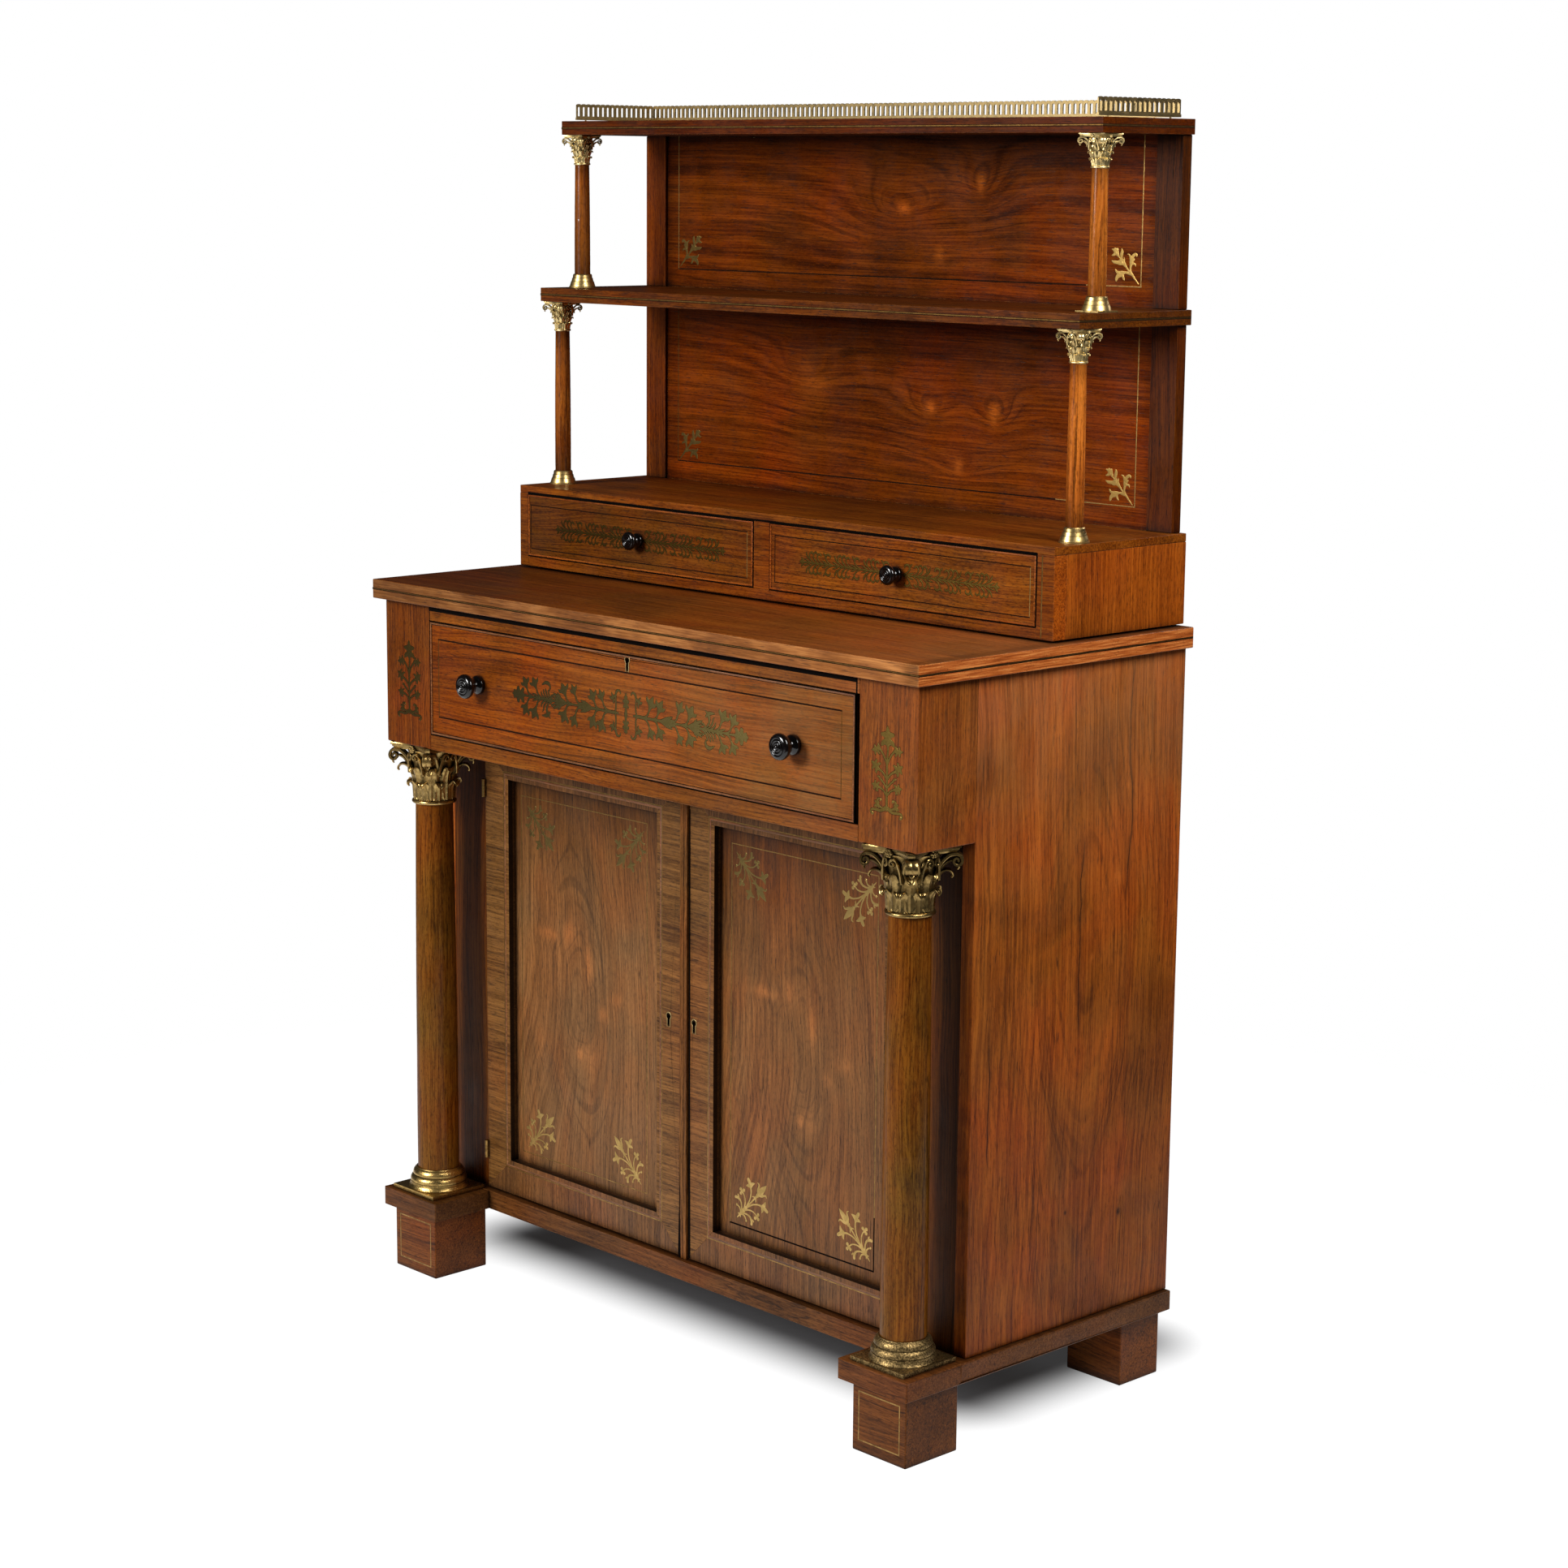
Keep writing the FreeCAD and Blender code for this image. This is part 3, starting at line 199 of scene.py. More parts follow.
def wood(name, g, c, d, tone="mid", seed=0.0, figure=None, vein=1.0, wander=1.0,
         coat=0.0, rough=(0.34, 0.50), wax_and_shade=0.9, broad=1.0, gain=(1.0, 1.0, 1.0), spec=0.10, lines=0.0, mids=0.20,
         glow=(), glow_tone=(196, 108, 36), wax_and_shade_reach=0.014, blotch=1.0, fine=1.0, fade=None, painted_sheen=None,
         knots=(), cracks=(), edge_tone=None, thread=1500.0, fleck=1.0, rings=0.0, painted_jamb_shadow=(), warm=0.0,
         tint=None, turn=None, painted_sheen_tone=(152, 108, 74)):
    """Polished rosewood. g is the grain's direction, c lies across it in the
    face and d goes into the board; figure(net) gives the growth line's own
    coordinate for boards that are cut through the heart, lines draws them
    in, glow is a list of orange eyes and knots one of small dark ones. fade
    is (axis, ((place, value), ...)), a run of brightness along an axis, on
    most boards painted light and shade; painted_sheen is (axis, from, to,
    amount), a pale painted sheen of reflected light that grows along it."""
    n = Net(name)
    G = n.add(n.dot(n.coord, g), seed * 0.731)
    C0 = n.dot(n.coord, c)
    C = n.add(C0, seed * 0.217)
    D = n.add(n.dot(n.coord, d), seed * 0.413)
    # the slow wander of the grain along the board
    w1 = n.noise(n.vec(n.mul(G, 2.4), n.mul(C, 4.0), n.mul(D, 4.0)), 1.0, 2.0, 0.5)
    w2 = n.noise(n.vec(n.mul(G, 9.0), n.mul(C, 16.0), n.mul(D, 9.0)), 1.0, 1.0, 0.5)
    wob = n.add(n.mul(n.sub(w1, 0.5), 0.050 * wander), n.mul(n.sub(w2, 0.5), 0.0075 * wander))
    if figure is None:
        F = n.add(C, wob)
        S = F
    else:
        F = n.add(figure(n), n.mul(wob, 0.30))
        S = n.add(n.mul(F, 0.45), n.add(C, n.mul(wob, 0.6)))
    # streaks of four widths that follow the growth lines
    s1 = n.noise(n.vec(n.mul(F, 22.0), n.mul(G, 1.0), n.mul(D, 22.0)), 1.0, 2.0, 0.55)
    s2 = n.noise(n.vec(n.mul(F, 120.0), n.mul(G, 2.0), n.mul(D, 120.0)), 1.0, 3.0, 0.6)
    s3 = n.noise(n.vec(n.mul(S, 400.0), n.mul(G, 6.0), n.mul(D, 400.0)), 1.0, 2.0, 0.6)
    s4 = n.noise(n.vec(n.mul(S, 900.0), n.mul(G, 17.0), n.mul(D, 900.0)), 1.0, 1.0, 0.6)
    ws = (0.22 * broad, mids, 0.44 * fine, 0.24 * fine)
    body = n.add(n.add(n.mul(s1, ws[0]), n.mul(s2, ws[1])), n.add(n.mul(s3, ws[2]), n.mul(s4, ws[3])))
    mean = 0.5 * sum(ws)
    body = n.step(body, mean - 0.17, mean + 0.15, smooth=False)
    light, mid, dark, vn = [tuple(q * w for q, w in zip(srgb(*k)[:3], gain)) + (1.0,) for k in TONES[tone]]
    col = n.ramp(body, [(0.0, dark), (0.42, mid), (0.86, light), (1.0, light)])
    # dark veins: the crossing lines of a stretched noise
    v1 = n.noise(n.vec(n.mul(F, 62.0), n.mul(G, 1.2), n.add(n.mul(D, 62.0), 7.3)), 1.0, 2.0, 0.6)
    r1 = n.m("ABSOLUTE", n.sub(v1, 0.5))
    k1 = n.step(r1, 0.001, 0.014, 1.0, 0.0)
    gate = n.noise(n.vec(n.mul(F, 17.0), n.mul(G, 0.9), n.add(n.mul(D, 17.0), 3.1)), 1.0, 1.0, 0.5)
    k1 = n.mul(k1, n.step(gate, 0.46, 0.62))
    col = n.mix(n.mul(k1, 0.46 * vein), col, vn)
    v2 = n.noise(n.vec(n.mul(S, 330.0), n.mul(G, 5.5), n.add(n.mul(D, 330.0), 1.7)), 1.0, 1.0, 0.5)
    k2 = n.step(v2, 0.59, 0.76)
    col = n.mix(n.mul(k2, 0.50 * vein), col, vn)
    if lines:
        # thin growth lines round the heart
        y1 = n.noise(n.vec(n.mul(F, 150.0), n.mul(G, 0.6), 4.4), 1.0, 1.0, 0.5)
        y2 = n.m("SINE", n.add(n.mul(F, thread), n.mul(y1, 7.0)))
        y3 = n.noise(n.vec(n.mul(G, 14.0), n.mul(C, 14.0), 1.9), 1.0, 2.0, 0.6)
        col = n.mix(n.mul(n.mul(n.step(y2, 0.35, 1.0), n.step(y3, 0.34, 0.66)), lines), col, vn)
    if rings:
        # broad bands between the growth lines
        y4 = n.m("SINE", n.add(n.mul(F, 520.0), n.mul(n.noise(n.vec(n.mul(F, 60.0), n.mul(G, 1.5), 8.8), 1.0, 1.0, 0.5), 6.0)))
        col = n.mix(n.step(y4, 0.0, 1.0, 0.0, rings), col, vn)
        col = n.mix(n.step(y4, -1.0, -0.2, rings * 0.5, 0.0), col, light)
    # figure: slow shimmer across the grain
    sh = n.noise(n.vec(n.mul(G, 7.0), n.mul(C, 5.5), n.mul(D, 5.5)), 1.0, 2.0, 0.5, 0.6)
    col = n.mix(n.step(sh, 0.36, 0.72, 0.0, 0.26 * blotch), col, srgb(226, 140, 52), "SOFT_LIGHT")
    col = n.mix(n.step(sh, 0.30, 0.50, 0.28 * blotch, 0.0), col, vn, "SOFT_LIGHT")
    if glow:
        # pale orange eyes where the cut meets a knot's side
        t = None
        gn = n.noise(n.vec(n.mul(G, 60.0), n.mul(C, 95.0), 0.0), 1.0, 3.0, 0.65, 0.8)
        for gc, gg, rc, rg, amp in glow:
            dc = n.mul(n.sub(C0, gc), 1.0 / rc)
            dg = n.mul(n.sub(n.dot(n.coord, g), gg), 1.0 / rg)
            rad = n.add(n.add(n.mul(dc, dc), n.mul(dg, dg)), n.mul(n.sub(gn, 0.5), 1.9))
            e = n.mul(n.m("EXPONENT", n.mul(rad, -1.0)), amp)
            t = e if t is None else n.m("MAXIMUM", t, e)
        col = n.mix(n.mul(n.m("MINIMUM", t, 0.9), n.step(s3, 0.25, 0.75, 0.45, 0.85)), col, srgb(*glow_tone))
    for kc, kg, rc, rg in knots:
        dc = n.mul(n.sub(C0, kc), 1.0 / rc)
        dg = n.mul(n.sub(n.dot(n.coord, g), kg), 1.0 / rg)
        kn = n.noise(n.coord, 240.0, 2.0, 0.5)
        rad = n.add(n.add(n.mul(dc, dc), n.mul(dg, dg)), n.mul(n.sub(kn, 0.5), 1.4))
        col = n.mix(n.mul(n.m("EXPONENT", n.mul(rad, -1.0)), 0.92), col, srgb(22, 9, 4))
    for cc, g0, g1 in cracks:
        cn = n.noise(n.vec(n.mul(n.dot(n.coord, g), 9.0), cc * 31.0, 0.7), 1.0, 3.0, 0.55)
        off = n.m("ABSOLUTE", n.sub(n.sub(C0, cc), n.mul(n.sub(cn, 0.5), 0.022)))
        gp = n.dot(n.coord, g)
        on = n.mul(n.step(gp, g0, g0 + 0.03), n.step(gp, g1 - 0.03, g1, 1.0, 0.0))
        col = n.mix(n.mul(n.step(off, 0.0003, 0.0013, 0.85, 0.0), on), col, srgb(24, 10, 4))
        col = n.mix(n.mul(n.step(off, 0.0008, 0.0070, 0.30, 0.0), on), col, srgb(60, 26, 8))
    # open pores: short dark dashes
    p = n.noise(n.vec(n.mul(C, 720.0), n.mul(G, 48.0), n.mul(D, 720.0)), 1.0, 1.0, 0.5)
    pore = n.step(p, 0.635, 0.72)
    col = n.mix(n.mul(pore, 0.62), col, vn)
    # short flecks of the figure, dark and light
    if fleck:
        fk1 = n.noise(n.vec(n.mul(C, 560.0), n.mul(G, 150.0), n.mul(D, 560.0)), 1.0, 3.0, 0.7)
        col = n.mix(n.step(fk1, 0.34, 0.49, 0.42 * fleck, 0.0), col, vn)
        col = n.mix(n.step(fk1, 0.53, 0.68, 0.0, 0.30 * fleck), col, light)
    # fibre
    f = n.noise(n.vec(n.mul(C, 2200.0), n.mul(G, 40.0), n.mul(D, 2200.0)), 1.0, 1.0, 0.5)
    col = n.mix(n.step(f, 0.3, 0.7, 0.0, 0.16), col, srgb(18, 8, 4))
    if warm:
        wp = n.noise(n.vec(n.mul(G, 5.0), n.mul(C, 16.0), n.mul(D, 9.0)), 1.0, 3.0, 0.6, 0.5)
        col = n.mix(n.step(wp, 0.42, 0.66, 0.0, warm), col, (1.30, 0.98, 0.66, 1.0), "MULTIPLY")
        col = n.mix(n.step(wp, 0.32, 0.50, warm, 0.0), col, (0.80, 0.88, 0.98, 1.0), "MULTIPLY")
    # painted sheen: a pale haze of reflected light that grows along an axis
    if painted_sheen:
        ax, lo, hi, am = painted_sheen
        vl = n.noise(n.coord, 14.0, 3.0, 0.6)
        amt = n.mul(n.step(n.dot(n.coord, ax), lo, hi, 0.0, am), n.step(vl, 0.3, 0.6, 0.6, 1.1))
        col = n.mix(n.mul(amt, n.step(s3, 0.3, 0.7, 0.7, 1.15)), col, srgb(*painted_sheen_tone))
    if edge_tone:
        # the board's edges: bleached, in patches of another cut
        geo = n.t.nodes.new("ShaderNodeNewGeometry")
        nz = n.m("ABSOLUTE", n.dot(geo.outputs["Normal"], Z))
        on = n.step(nz, 0.55, 0.75, 1.0, 0.0)
        q1 = n.noise(n.vec(n.mul(n.dot(n.coord, X), 11.0), n.mul(n.dot(n.coord, Y), 11.0), n.mul(n.dot(n.coord, Z), 30.0)),
                     1.0, 3.0, 0.6, 0.3)
        q2 = n.noise(n.vec(n.mul(n.add(n.dot(n.coord, X), n.dot(n.coord, Y)), 20.0), n.mul(n.dot(n.coord, Z), 560.0), 0.0),
                     1.0, 4.0, 0.65)
        pale = n.ramp(n.add(n.mul(q1, 0.55), n.mul(q2, 0.45)), [(0.30, srgb(*edge_tone[0])), (0.48, srgb(*edge_tone[1])),
                                                          (0.66, srgb(*edge_tone[2]))])
        if len(edge_tone) > 3:
            nx = n.m("ABSOLUTE", n.dot(geo.outputs["Normal"], X))
            ends = n.ramp(q2, [(0.30, srgb(*edge_tone[3])), (0.50, srgb(*edge_tone[4])), (0.68, srgb(*edge_tone[5]))])
            pale = n.mix(n.step(nx, 0.55, 0.75), pale, ends)
        pale = n.mix(n.mul(pore, 0.5), pale, vn)
        col = n.mix(on, col, pale)
    # old polish: dark wax and painted shade in the hollows, found by ambient occlusion; paler wear on the arrises
    if wax_and_shade:
        occ = n.ao(wax_and_shade_reach)
        col = n.mix(n.step(occ, 0.30, 0.95, wax_and_shade, 0.0), col, srgb(14, 6, 3))
        e = n.edge(0.0011)
        en = n.noise(n.coord, 130.0, 2.0, 0.6)
        wear = n.mul(n.step(e, 0.03, 0.22), n.step(en, 0.40, 0.62))
        col = n.mix(n.mul(wear, 0.45), col, srgb(182, 118, 62))
    # painted light and shade: a colour multiplied in along an axis; on the door panels warmer and darker high up, in
    # the frieze's shade
    if tint:
        ax, lo, hi, tone2, am = tint
        col = n.mix(n.step(n.dot(n.coord, ax), lo, hi, 0.0, am), col, tone2 + (1.0,), "MULTIPLY")
    if turn:
        # the faces that look sideways belong to another board
        gn3 = n.t.nodes.new("ShaderNodeNewGeometry").outputs["Normal"]
        col = n.mix(n.step(n.m("ABSOLUTE", n.dot(gn3, X)), 0.6, 0.8), col, n.mix(1.0, col, turn + (1.0,), "MULTIPLY"))
    # painted light and shade: the board made darker or lighter along an axis
    for ax, pts in (() if not fade else fade if isinstance(fade[0][0], tuple) else (fade,)):
        lo, hi = pts[0][0], pts[-1][0]
        hs = n.t.nodes.new("ShaderNodeHueSaturation")
        run = n.ramp(n.step(n.dot(n.coord, ax), lo, hi, smooth=False),
                     [((a - lo) / (hi - lo), (b / 2, b / 2, b / 2, 1.0)) for a, b in pts])
        n.t.links.new(n.mul(run, 2.0), hs.inputs["Value"])
        n.t.links.new(col, hs.inputs["Color"])
        col = hs.outputs[0]
    if painted_jamb_shadow:
        # painted shadow: the inner faces round a sunk panel, near its front, made nearly black
        gn2 = n.t.nodes.new("ShaderNodeNewGeometry").outputs["Normal"]
        turn = n.step(n.m("ABSOLUTE", n.dot(gn2, Y)), 0.55, 0.75, 1.0, 0.0)
        z0 = n.m("ABSOLUTE", n.sub(n.dot(n.coord, Z), 0.3865))
        on = None
        for cx in painted_jamb_shadow:
            q = n.mul(n.step(n.m("ABSOLUTE", n.sub(n.dot(n.coord, X), cx)), 0.1485, 0.1490, 1.0, 0.0),
                      n.step(z0, 0.2520, 0.2525, 1.0, 0.0))
            on = q if on is None else n.m("MAXIMUM", on, q)
        near = n.step(n.dot(n.coord, Y), -0.1058, -0.1050, 0.90, 0.30)
        col = n.mix(n.mul(n.mul(turn, on), near), col, srgb(10, 5, 3))
    smear = n.noise(n.coord, 19.0, 3.0, 0.6, 0.4)
    ro = n.step(smear, 0.32, 0.70, rough[0], rough[1])
    ro = n.m("ADD", ro, n.mul(pore, 0.16), clamp=True)
    h = n.sub(n.mul(f, 0.35), n.mul(pore, 1.0))
    h = n.add(h, n.mul(k1, -0.35))
    nb = n.bump(h, 0.30, 0.00016)
    wave = n.noise(n.coord, 34.0, 1.0, 0.5)
    nb = n.bump(wave, 0.08, 0.0014, nb)
    return n.set(Base_Color=col, Roughness=ro, Normal=nb, IOR=1.5, Specular_IOR_Level=spec, Coat_Weight=coat,
                 Coat_Roughness=0.10, Coat_IOR=1.45)


X, Y, Z = (1, 0, 0), (0, 1, 0), (0, 0, 1)


def heart(c_axis, g_axis, c0, g0, L=0.070, A=0.0135, H=0.105, slope=0.05, skew=0.0, eyes=()):
    """Growth lines of a board cut through a swelling: a tall oval at (c0, g0),
    arches above and below it, straighter lines towards the edges."""
    def make(n):
        c = n.sub(n.dot(n.coord, c_axis), c0)
        g = n.sub(n.dot(n.coord, g_axis), g0)
        c = n.add(c, n.mul(g, skew))
        lump = n.noise(n.vec(n.mul(g, 6.5), n.mul(c, 9.0), 2.7), 1.0, 2.0, 0.5)
        c = n.add(c, n.mul(n.sub(lump, 0.5), 0.020))
        # a parabola in the middle that runs into straight lines at the sides
        cc = n.mul(c, c)
        q = n.m("SQRT", n.add(cc, L * L))
        f = n.mul(n.sub(q, L), 1.0)
        gg = n.mul(n.mul(g, g), 1.0 / (H * H))
        ex = n.m("EXPONENT", n.mul(gg, -1.0))
        f = n.add(f, n.mul(n.sub(1.0, ex), A))
        up = n.m("MAXIMUM", n.sub(n.m("ABSOLUTE", g), H * 0.8), 0.0)
        f = n.add(f, n.mul(up, slope))
        for ec, eg, rc, rg, amp in eyes:
            dc = n.mul(n.sub(n.dot(n.coord, c_axis), ec), 1.0 / rc)
            dg = n.mul(n.sub(n.dot(n.coord, g_axis), eg), 1.0 / rg)
            e = n.m("EXPONENT", n.mul(n.add(n.mul(dc, dc), n.mul(dg, dg)), -1.0))
            f = n.add(f, n.mul(e, amp))
        return n.add(f, n.mul(n.m("SIGN", c), 0.0))
    return make


def eyes_at(dx, pts):
    return tuple((x + dx, z, rc, rg, amp) for x, z, rc, rg, amp in pts)


EYES = ((0.124, 0.445, 0.020, 0.007, 0.45), (0.162, 0.452, 0.010, 0.014, 0.55), (0.200, 0.418, 0.007, 0.020, 0.50),
        (0.250, 0.385, 0.012, 0.008, 0.35), (0.225, 0.363, 0.007, 0.008, 0.50), (0.183, 0.306, 0.006, 0.008, 1.0),
        (0.196, 0.304, 0.015, 0.018, 0.50))


def panel_field(dx):
    """A tall bulb of growth lines between z 0.262 and 0.482 with pointed
    arches above it; the upper end leans to the left."""
    def make(n):
        x = n.sub(n.dot(n.coord, X), dx)
        z = n.dot(n.coord, Z)
        lump = n.noise(n.vec(n.mul(x, 15.0), n.mul(z, 8.0), 2.7 + dx), 1.0, 3.0, 0.55)
        x = n.add(x, n.mul(n.sub(lump, 0.5), 0.016))
        zc = n.sub(z, 0.365)
        # the heart line leans: x 0.192 at the foot, 0.168 at the head
        axis = n.add(n.mul(zc, -0.11), 0.184)
        c = n.sub(x, axis)
        # width of the bulb at each height, an ellipse that runs on as arches
        a = n.mul(c, 1.0 / 0.044)
        up = n.m("MAXIMUM", n.mul(zc, 1.0 / 0.128), 0.0)
        dn = n.m("MAXIMUM", n.mul(zc, -1.0 / 0.108), 0.0)
        r = n.m("SQRT", n.add(n.add(n.mul(a, a), n.mul(up, up)), n.add(n.mul(dn, dn), 0.02)))
        # further out the lines straighten towards the edges
        side = n.mul(n.m("ABSOLUTE", c), 1.0)
        f1 = n.mul(r, 0.034)
        t = n.step(r, 1.1, 3.0)
        f2 = n.add(side, n.mul(n.add(up, dn), 0.009))
        f = n.add(n.mul(f1, n.sub(1.0, t)), n.mul(f2, t))
        for ec, eg, rc, rg, amp in EYES:
            qc = n.mul(n.sub(x, ec), 1.0 / (rc * 1.5))
            qg = n.mul(n.sub(z, eg), 1.0 / (rg * 1.8))
            e = n.m("EXPONENT", n.mul(n.add(n.mul(qc, qc), n.mul(qg, qg)), -1.0))
            f = n.add(f, n.mul(e, 0.0065))
        return f
    return make


def whorls(pts, lean=0.0, seed=0.0):
    """Long level growth lines that part round a few eyes, as in a board laid
    sideways. pts are (x, z, rx, rz, height)."""
    def make(n):
        x = n.dot(n.coord, X)
        z = n.dot(n.coord, Z)
        l1 = n.noise(n.vec(n.mul(x, 4.0), n.mul(z, 7.0), seed + 5.1), 1.0, 2.0, 0.5)
        l2 = n.noise(n.vec(n.mul(x, 3.0), n.mul(z, 5.0), seed + 15.1), 1.0, 2.0, 0.5)
        x = n.add(x, n.mul(n.sub(l1, 0.5), 0.05))
        z = n.add(z, n.mul(n.sub(l2, 0.5), 0.038))
        f = n.add(n.mul(z, 0.55), n.mul(x, lean))
        for ex, ez, rx, rz, amp in pts:
            qx = n.mul(n.sub(x, ex), 1.0 / rx)
            qz = n.mul(n.sub(z, ez), 1.0 / rz)
            q = n.m("SQRT", n.add(n.add(n.mul(qx, qx), n.mul(qz, qz)), 0.05))
            f = n.add(f, n.mul(n.m("EXPONENT", n.mul(q, -1.5)), amp))
        return f
    return make


W = {}
# painted light: the side is darker low down and lighter high up, with a painted sheen near the top
W["side"] = wood("rosewood_side", Z, Y, X, "warm", 1.3, vein=0.8, wander=0.7, lines=0.32, broad=0.8, blotch=1.3, mids=0.17, fine=0.85, warm=0.45,
                 figure=heart(Y, Z, 0.070, 0.52, L=0.10, A=0.020, H=0.16, slope=0.05), thread=1000.0, fleck=0.6,
                 fade=(Z, ((0.10, 0.70), (0.35, 0.82), (0.60, 1.00), (0.84, 1.16))), gain=(1.04, 0.94, 0.90),
                 painted_sheen=(Z, 0.50, 0.85, 0.26),
                 glow=((0.120, 0.600, 0.008, 0.010, 0.7), (0.080, 0.515, 0.003, 0.006, 0.6), (0.135, 0.70, 0.005, 0.005, 0.5),
                       (0.015, 0.77, 0.009, 0.004, 0.4), (-0.045, 0.24, 0.006, 0.014, 0.3)),
                 knots=((0.137, 0.214, 0.0035, 0.0045), (0.047, 0.232, 0.002, 0.0025)),
                 cracks=((0.138, 0.56, 0.845), (0.061, 0.42, 0.66), (-0.080, 0.30, 0.46)))
# painted shade: the stiles darker at the right edge behind the right column, and high up under the frieze
W["stile"] = wood("rosewood_stile", Z, X, Y, "deep", 2.1, gain=(0.86, 1.12, 0.92), vein=0.5, fleck=0.5, mids=0.12,
                  fade=((X, ((-0.44, 1.0), (0.40, 0.92), (0.424, 0.54), (0.436, 0.30))), (Z, ((0.10, 1.0), (0.54, 1.0), (0.62, 0.5), (0.67, 0.5)))))
W["muntin"] = wood("rosewood_muntin", Z, X, Y, "grey", 2.9, gain=(0.98, 0.98, 0.86), wax_and_shade_reach=0.004, wax_and_shade=0.5, mids=0.3)
W["door_v"] = wood("rosewood_door_vertical", Z, X, Y, "grey", 3.7, vein=0.9, broad=1.0, gain=(0.77, 0.80, 0.86), spec=0.20,
                   painted_jamb_shadow=(0.1859, -0.1859))
# painted shade: the banding darker at the right door's outer edge, beside the right column
W["door_h"] = wood("rosewood_door_banding", X, Z, Y, "grey", 4.9, vein=1.0, wander=0.5, broad=1.3, mids=0.28, spec=0.16,
                   gain=(0.93, 1.02, 0.95), fade=(X, ((-0.34, 1.0), (0.10, 1.0), (0.30, 0.93), (0.335, 0.62), (0.37, 0.60))),
                   painted_jamb_shadow=(0.1859, -0.1859))
# painted shade: the door panels darker high up under the frieze and a little at the foot, and warmer high up
PANEL = dict(vein=0.34, wander=0.35, broad=0.42, blotch=0.5, mids=0.11, fine=0.90, glow_tone=(196, 122, 62), lines=0.34,
             thread=900.0, spec=0.20, fleck=0.8, warm=0.45, tint=(Z, 0.44, 0.60, (1.0, 0.84, 0.56), 1.0),
             fade=(Z, ((0.13, 0.80), (0.28, 0.90), (0.42, 1.00), (0.50, 0.86), (0.57, 0.68), (0.605, 0.46), (0.645, 0.32))))
W["panel_r"] = wood("rosewood_panel_right", Z, X, Y, "grey", 5.2, figure=panel_field(0.0), glow=EYES,
                    gain=(1.07, 1.10, 1.10), **PANEL)
# painted sheen: the left panel is made lighter and greyer than the right
W["panel_l"] = wood("rosewood_panel_left", Z, X, Y, "grey", 5.9, figure=panel_field(-0.384), glow=eyes_at(-0.384, EYES),
                    gain=(1.16, 1.29, 1.48), **PANEL)
# painted light: the drawer front darker to the left, with a painted sheen towards the right
W["drawer"] = wood("rosewood_drawer_field", X, Z, Y, "warm", 6.6, vein=0.9, wander=0.9, broad=0.9, mids=0.22,
                   gain=(0.86, 0.68, 0.24), fade=(X, ((-0.37, 0.78), (-0.20, 0.92), (0.10, 0.94), (0.36, 0.88))), warm=0.35,
                   painted_sheen=(X, -0.25, 0.33, 0.36), painted_sheen_tone=(146, 112, 66))
# painted light: the small drawer fronts darker to the left, lighter to the right
W["small"] = wood("rosewood_small_drawers", X, Z, Y, "warm", 6.9, vein=0.9, wander=0.9, broad=0.8, gain=(0.61, 0.60, 0.36),
                  fade=(X, ((-0.43, 0.66), (0.0, 1.0), (0.10, 1.32), (0.43, 1.46))), fleck=1.2, warm=0.5)
# painted light: the lower rail darker than the upper one, with a painted sheen towards the right
W["rail"] = wood("rosewood_rail", X, Z, Y, "warm", 7.7, vein=0.9, wander=0.6, gain=(0.80, 0.78, 0.70),
                 fade=(Z, ((0.66, 0.88), (0.70, 0.88), (0.82, 1.05), (0.85, 1.05))), painted_sheen=(X, -0.1, 0.4, 0.18))
W["case"] = wood("rosewood_case_front", X, Z, Y, "warm", 7.9, vein=0.8, wander=0.6, gain=(0.70, 0.60, 0.32), wax_and_shade_reach=0.008,
                 turn=(1.62, 1.50, 2.0))
# painted light: the left block darker than the right, with a painted sheen on the right one
W["block"] = wood("rosewood_block", Z, (0.7, 0.7, 0), (0.7, -0.7, 0), "warm", 8.8, vein=0.9, gain=(0.78, 0.68, 0.55), warm=0.4,
                  fade=(X, ((-0.46, 0.72), (-0.35, 0.76), (0.35, 1.0), (0.46, 1.04))), painted_sheen=(X, 0.10, 0.45, 0.10))
# painted light: the top darker to the left and lighter to the right, with a darker band near its right end and a
# painted sheen towards the right
W["top"] = wood("rosewood_top", X, Y, Z, "warm", 9.1, vein=0.7, wander=0.9, broad=0.7, gain=(0.90, 0.82, 0.84), spec=0.14,
                fade=(X, ((-0.45, 0.42), (0.0, 0.75), (0.435, 1.0), (0.447, 0.66), (0.459, 0.70), (0.4605, 1.0))),
                painted_sheen=(X, 0.10, 0.44, 0.16), warm=0.4,
                edge_tone=((66, 34, 12), (144, 86, 40), (202, 134, 72), (106, 44, 12), (174, 90, 36), (216, 138, 72)))
W["box"] = wood("rosewood_box", Z, Y, X, "warm", 10.4, vein=0.6, gain=(1.12, 0.92, 0.72))
W["boxtop"] = wood("rosewood_box_top", X, Y, Z, "deep", 11.5, vein=0.7, gain=(1.4, 1.60, 1.0))
W["shelf"] = wood("rosewood_shelf", X, Y, Z, "deep", 12.6, vein=0.7, gain=(0.80, 0.90, 0.60))
W["shelf_top"] = wood("rosewood_top_shelf", X, Y, Z, "deep", 12.1, vein=0.7, gain=(0.50, 0.41, 0.05))
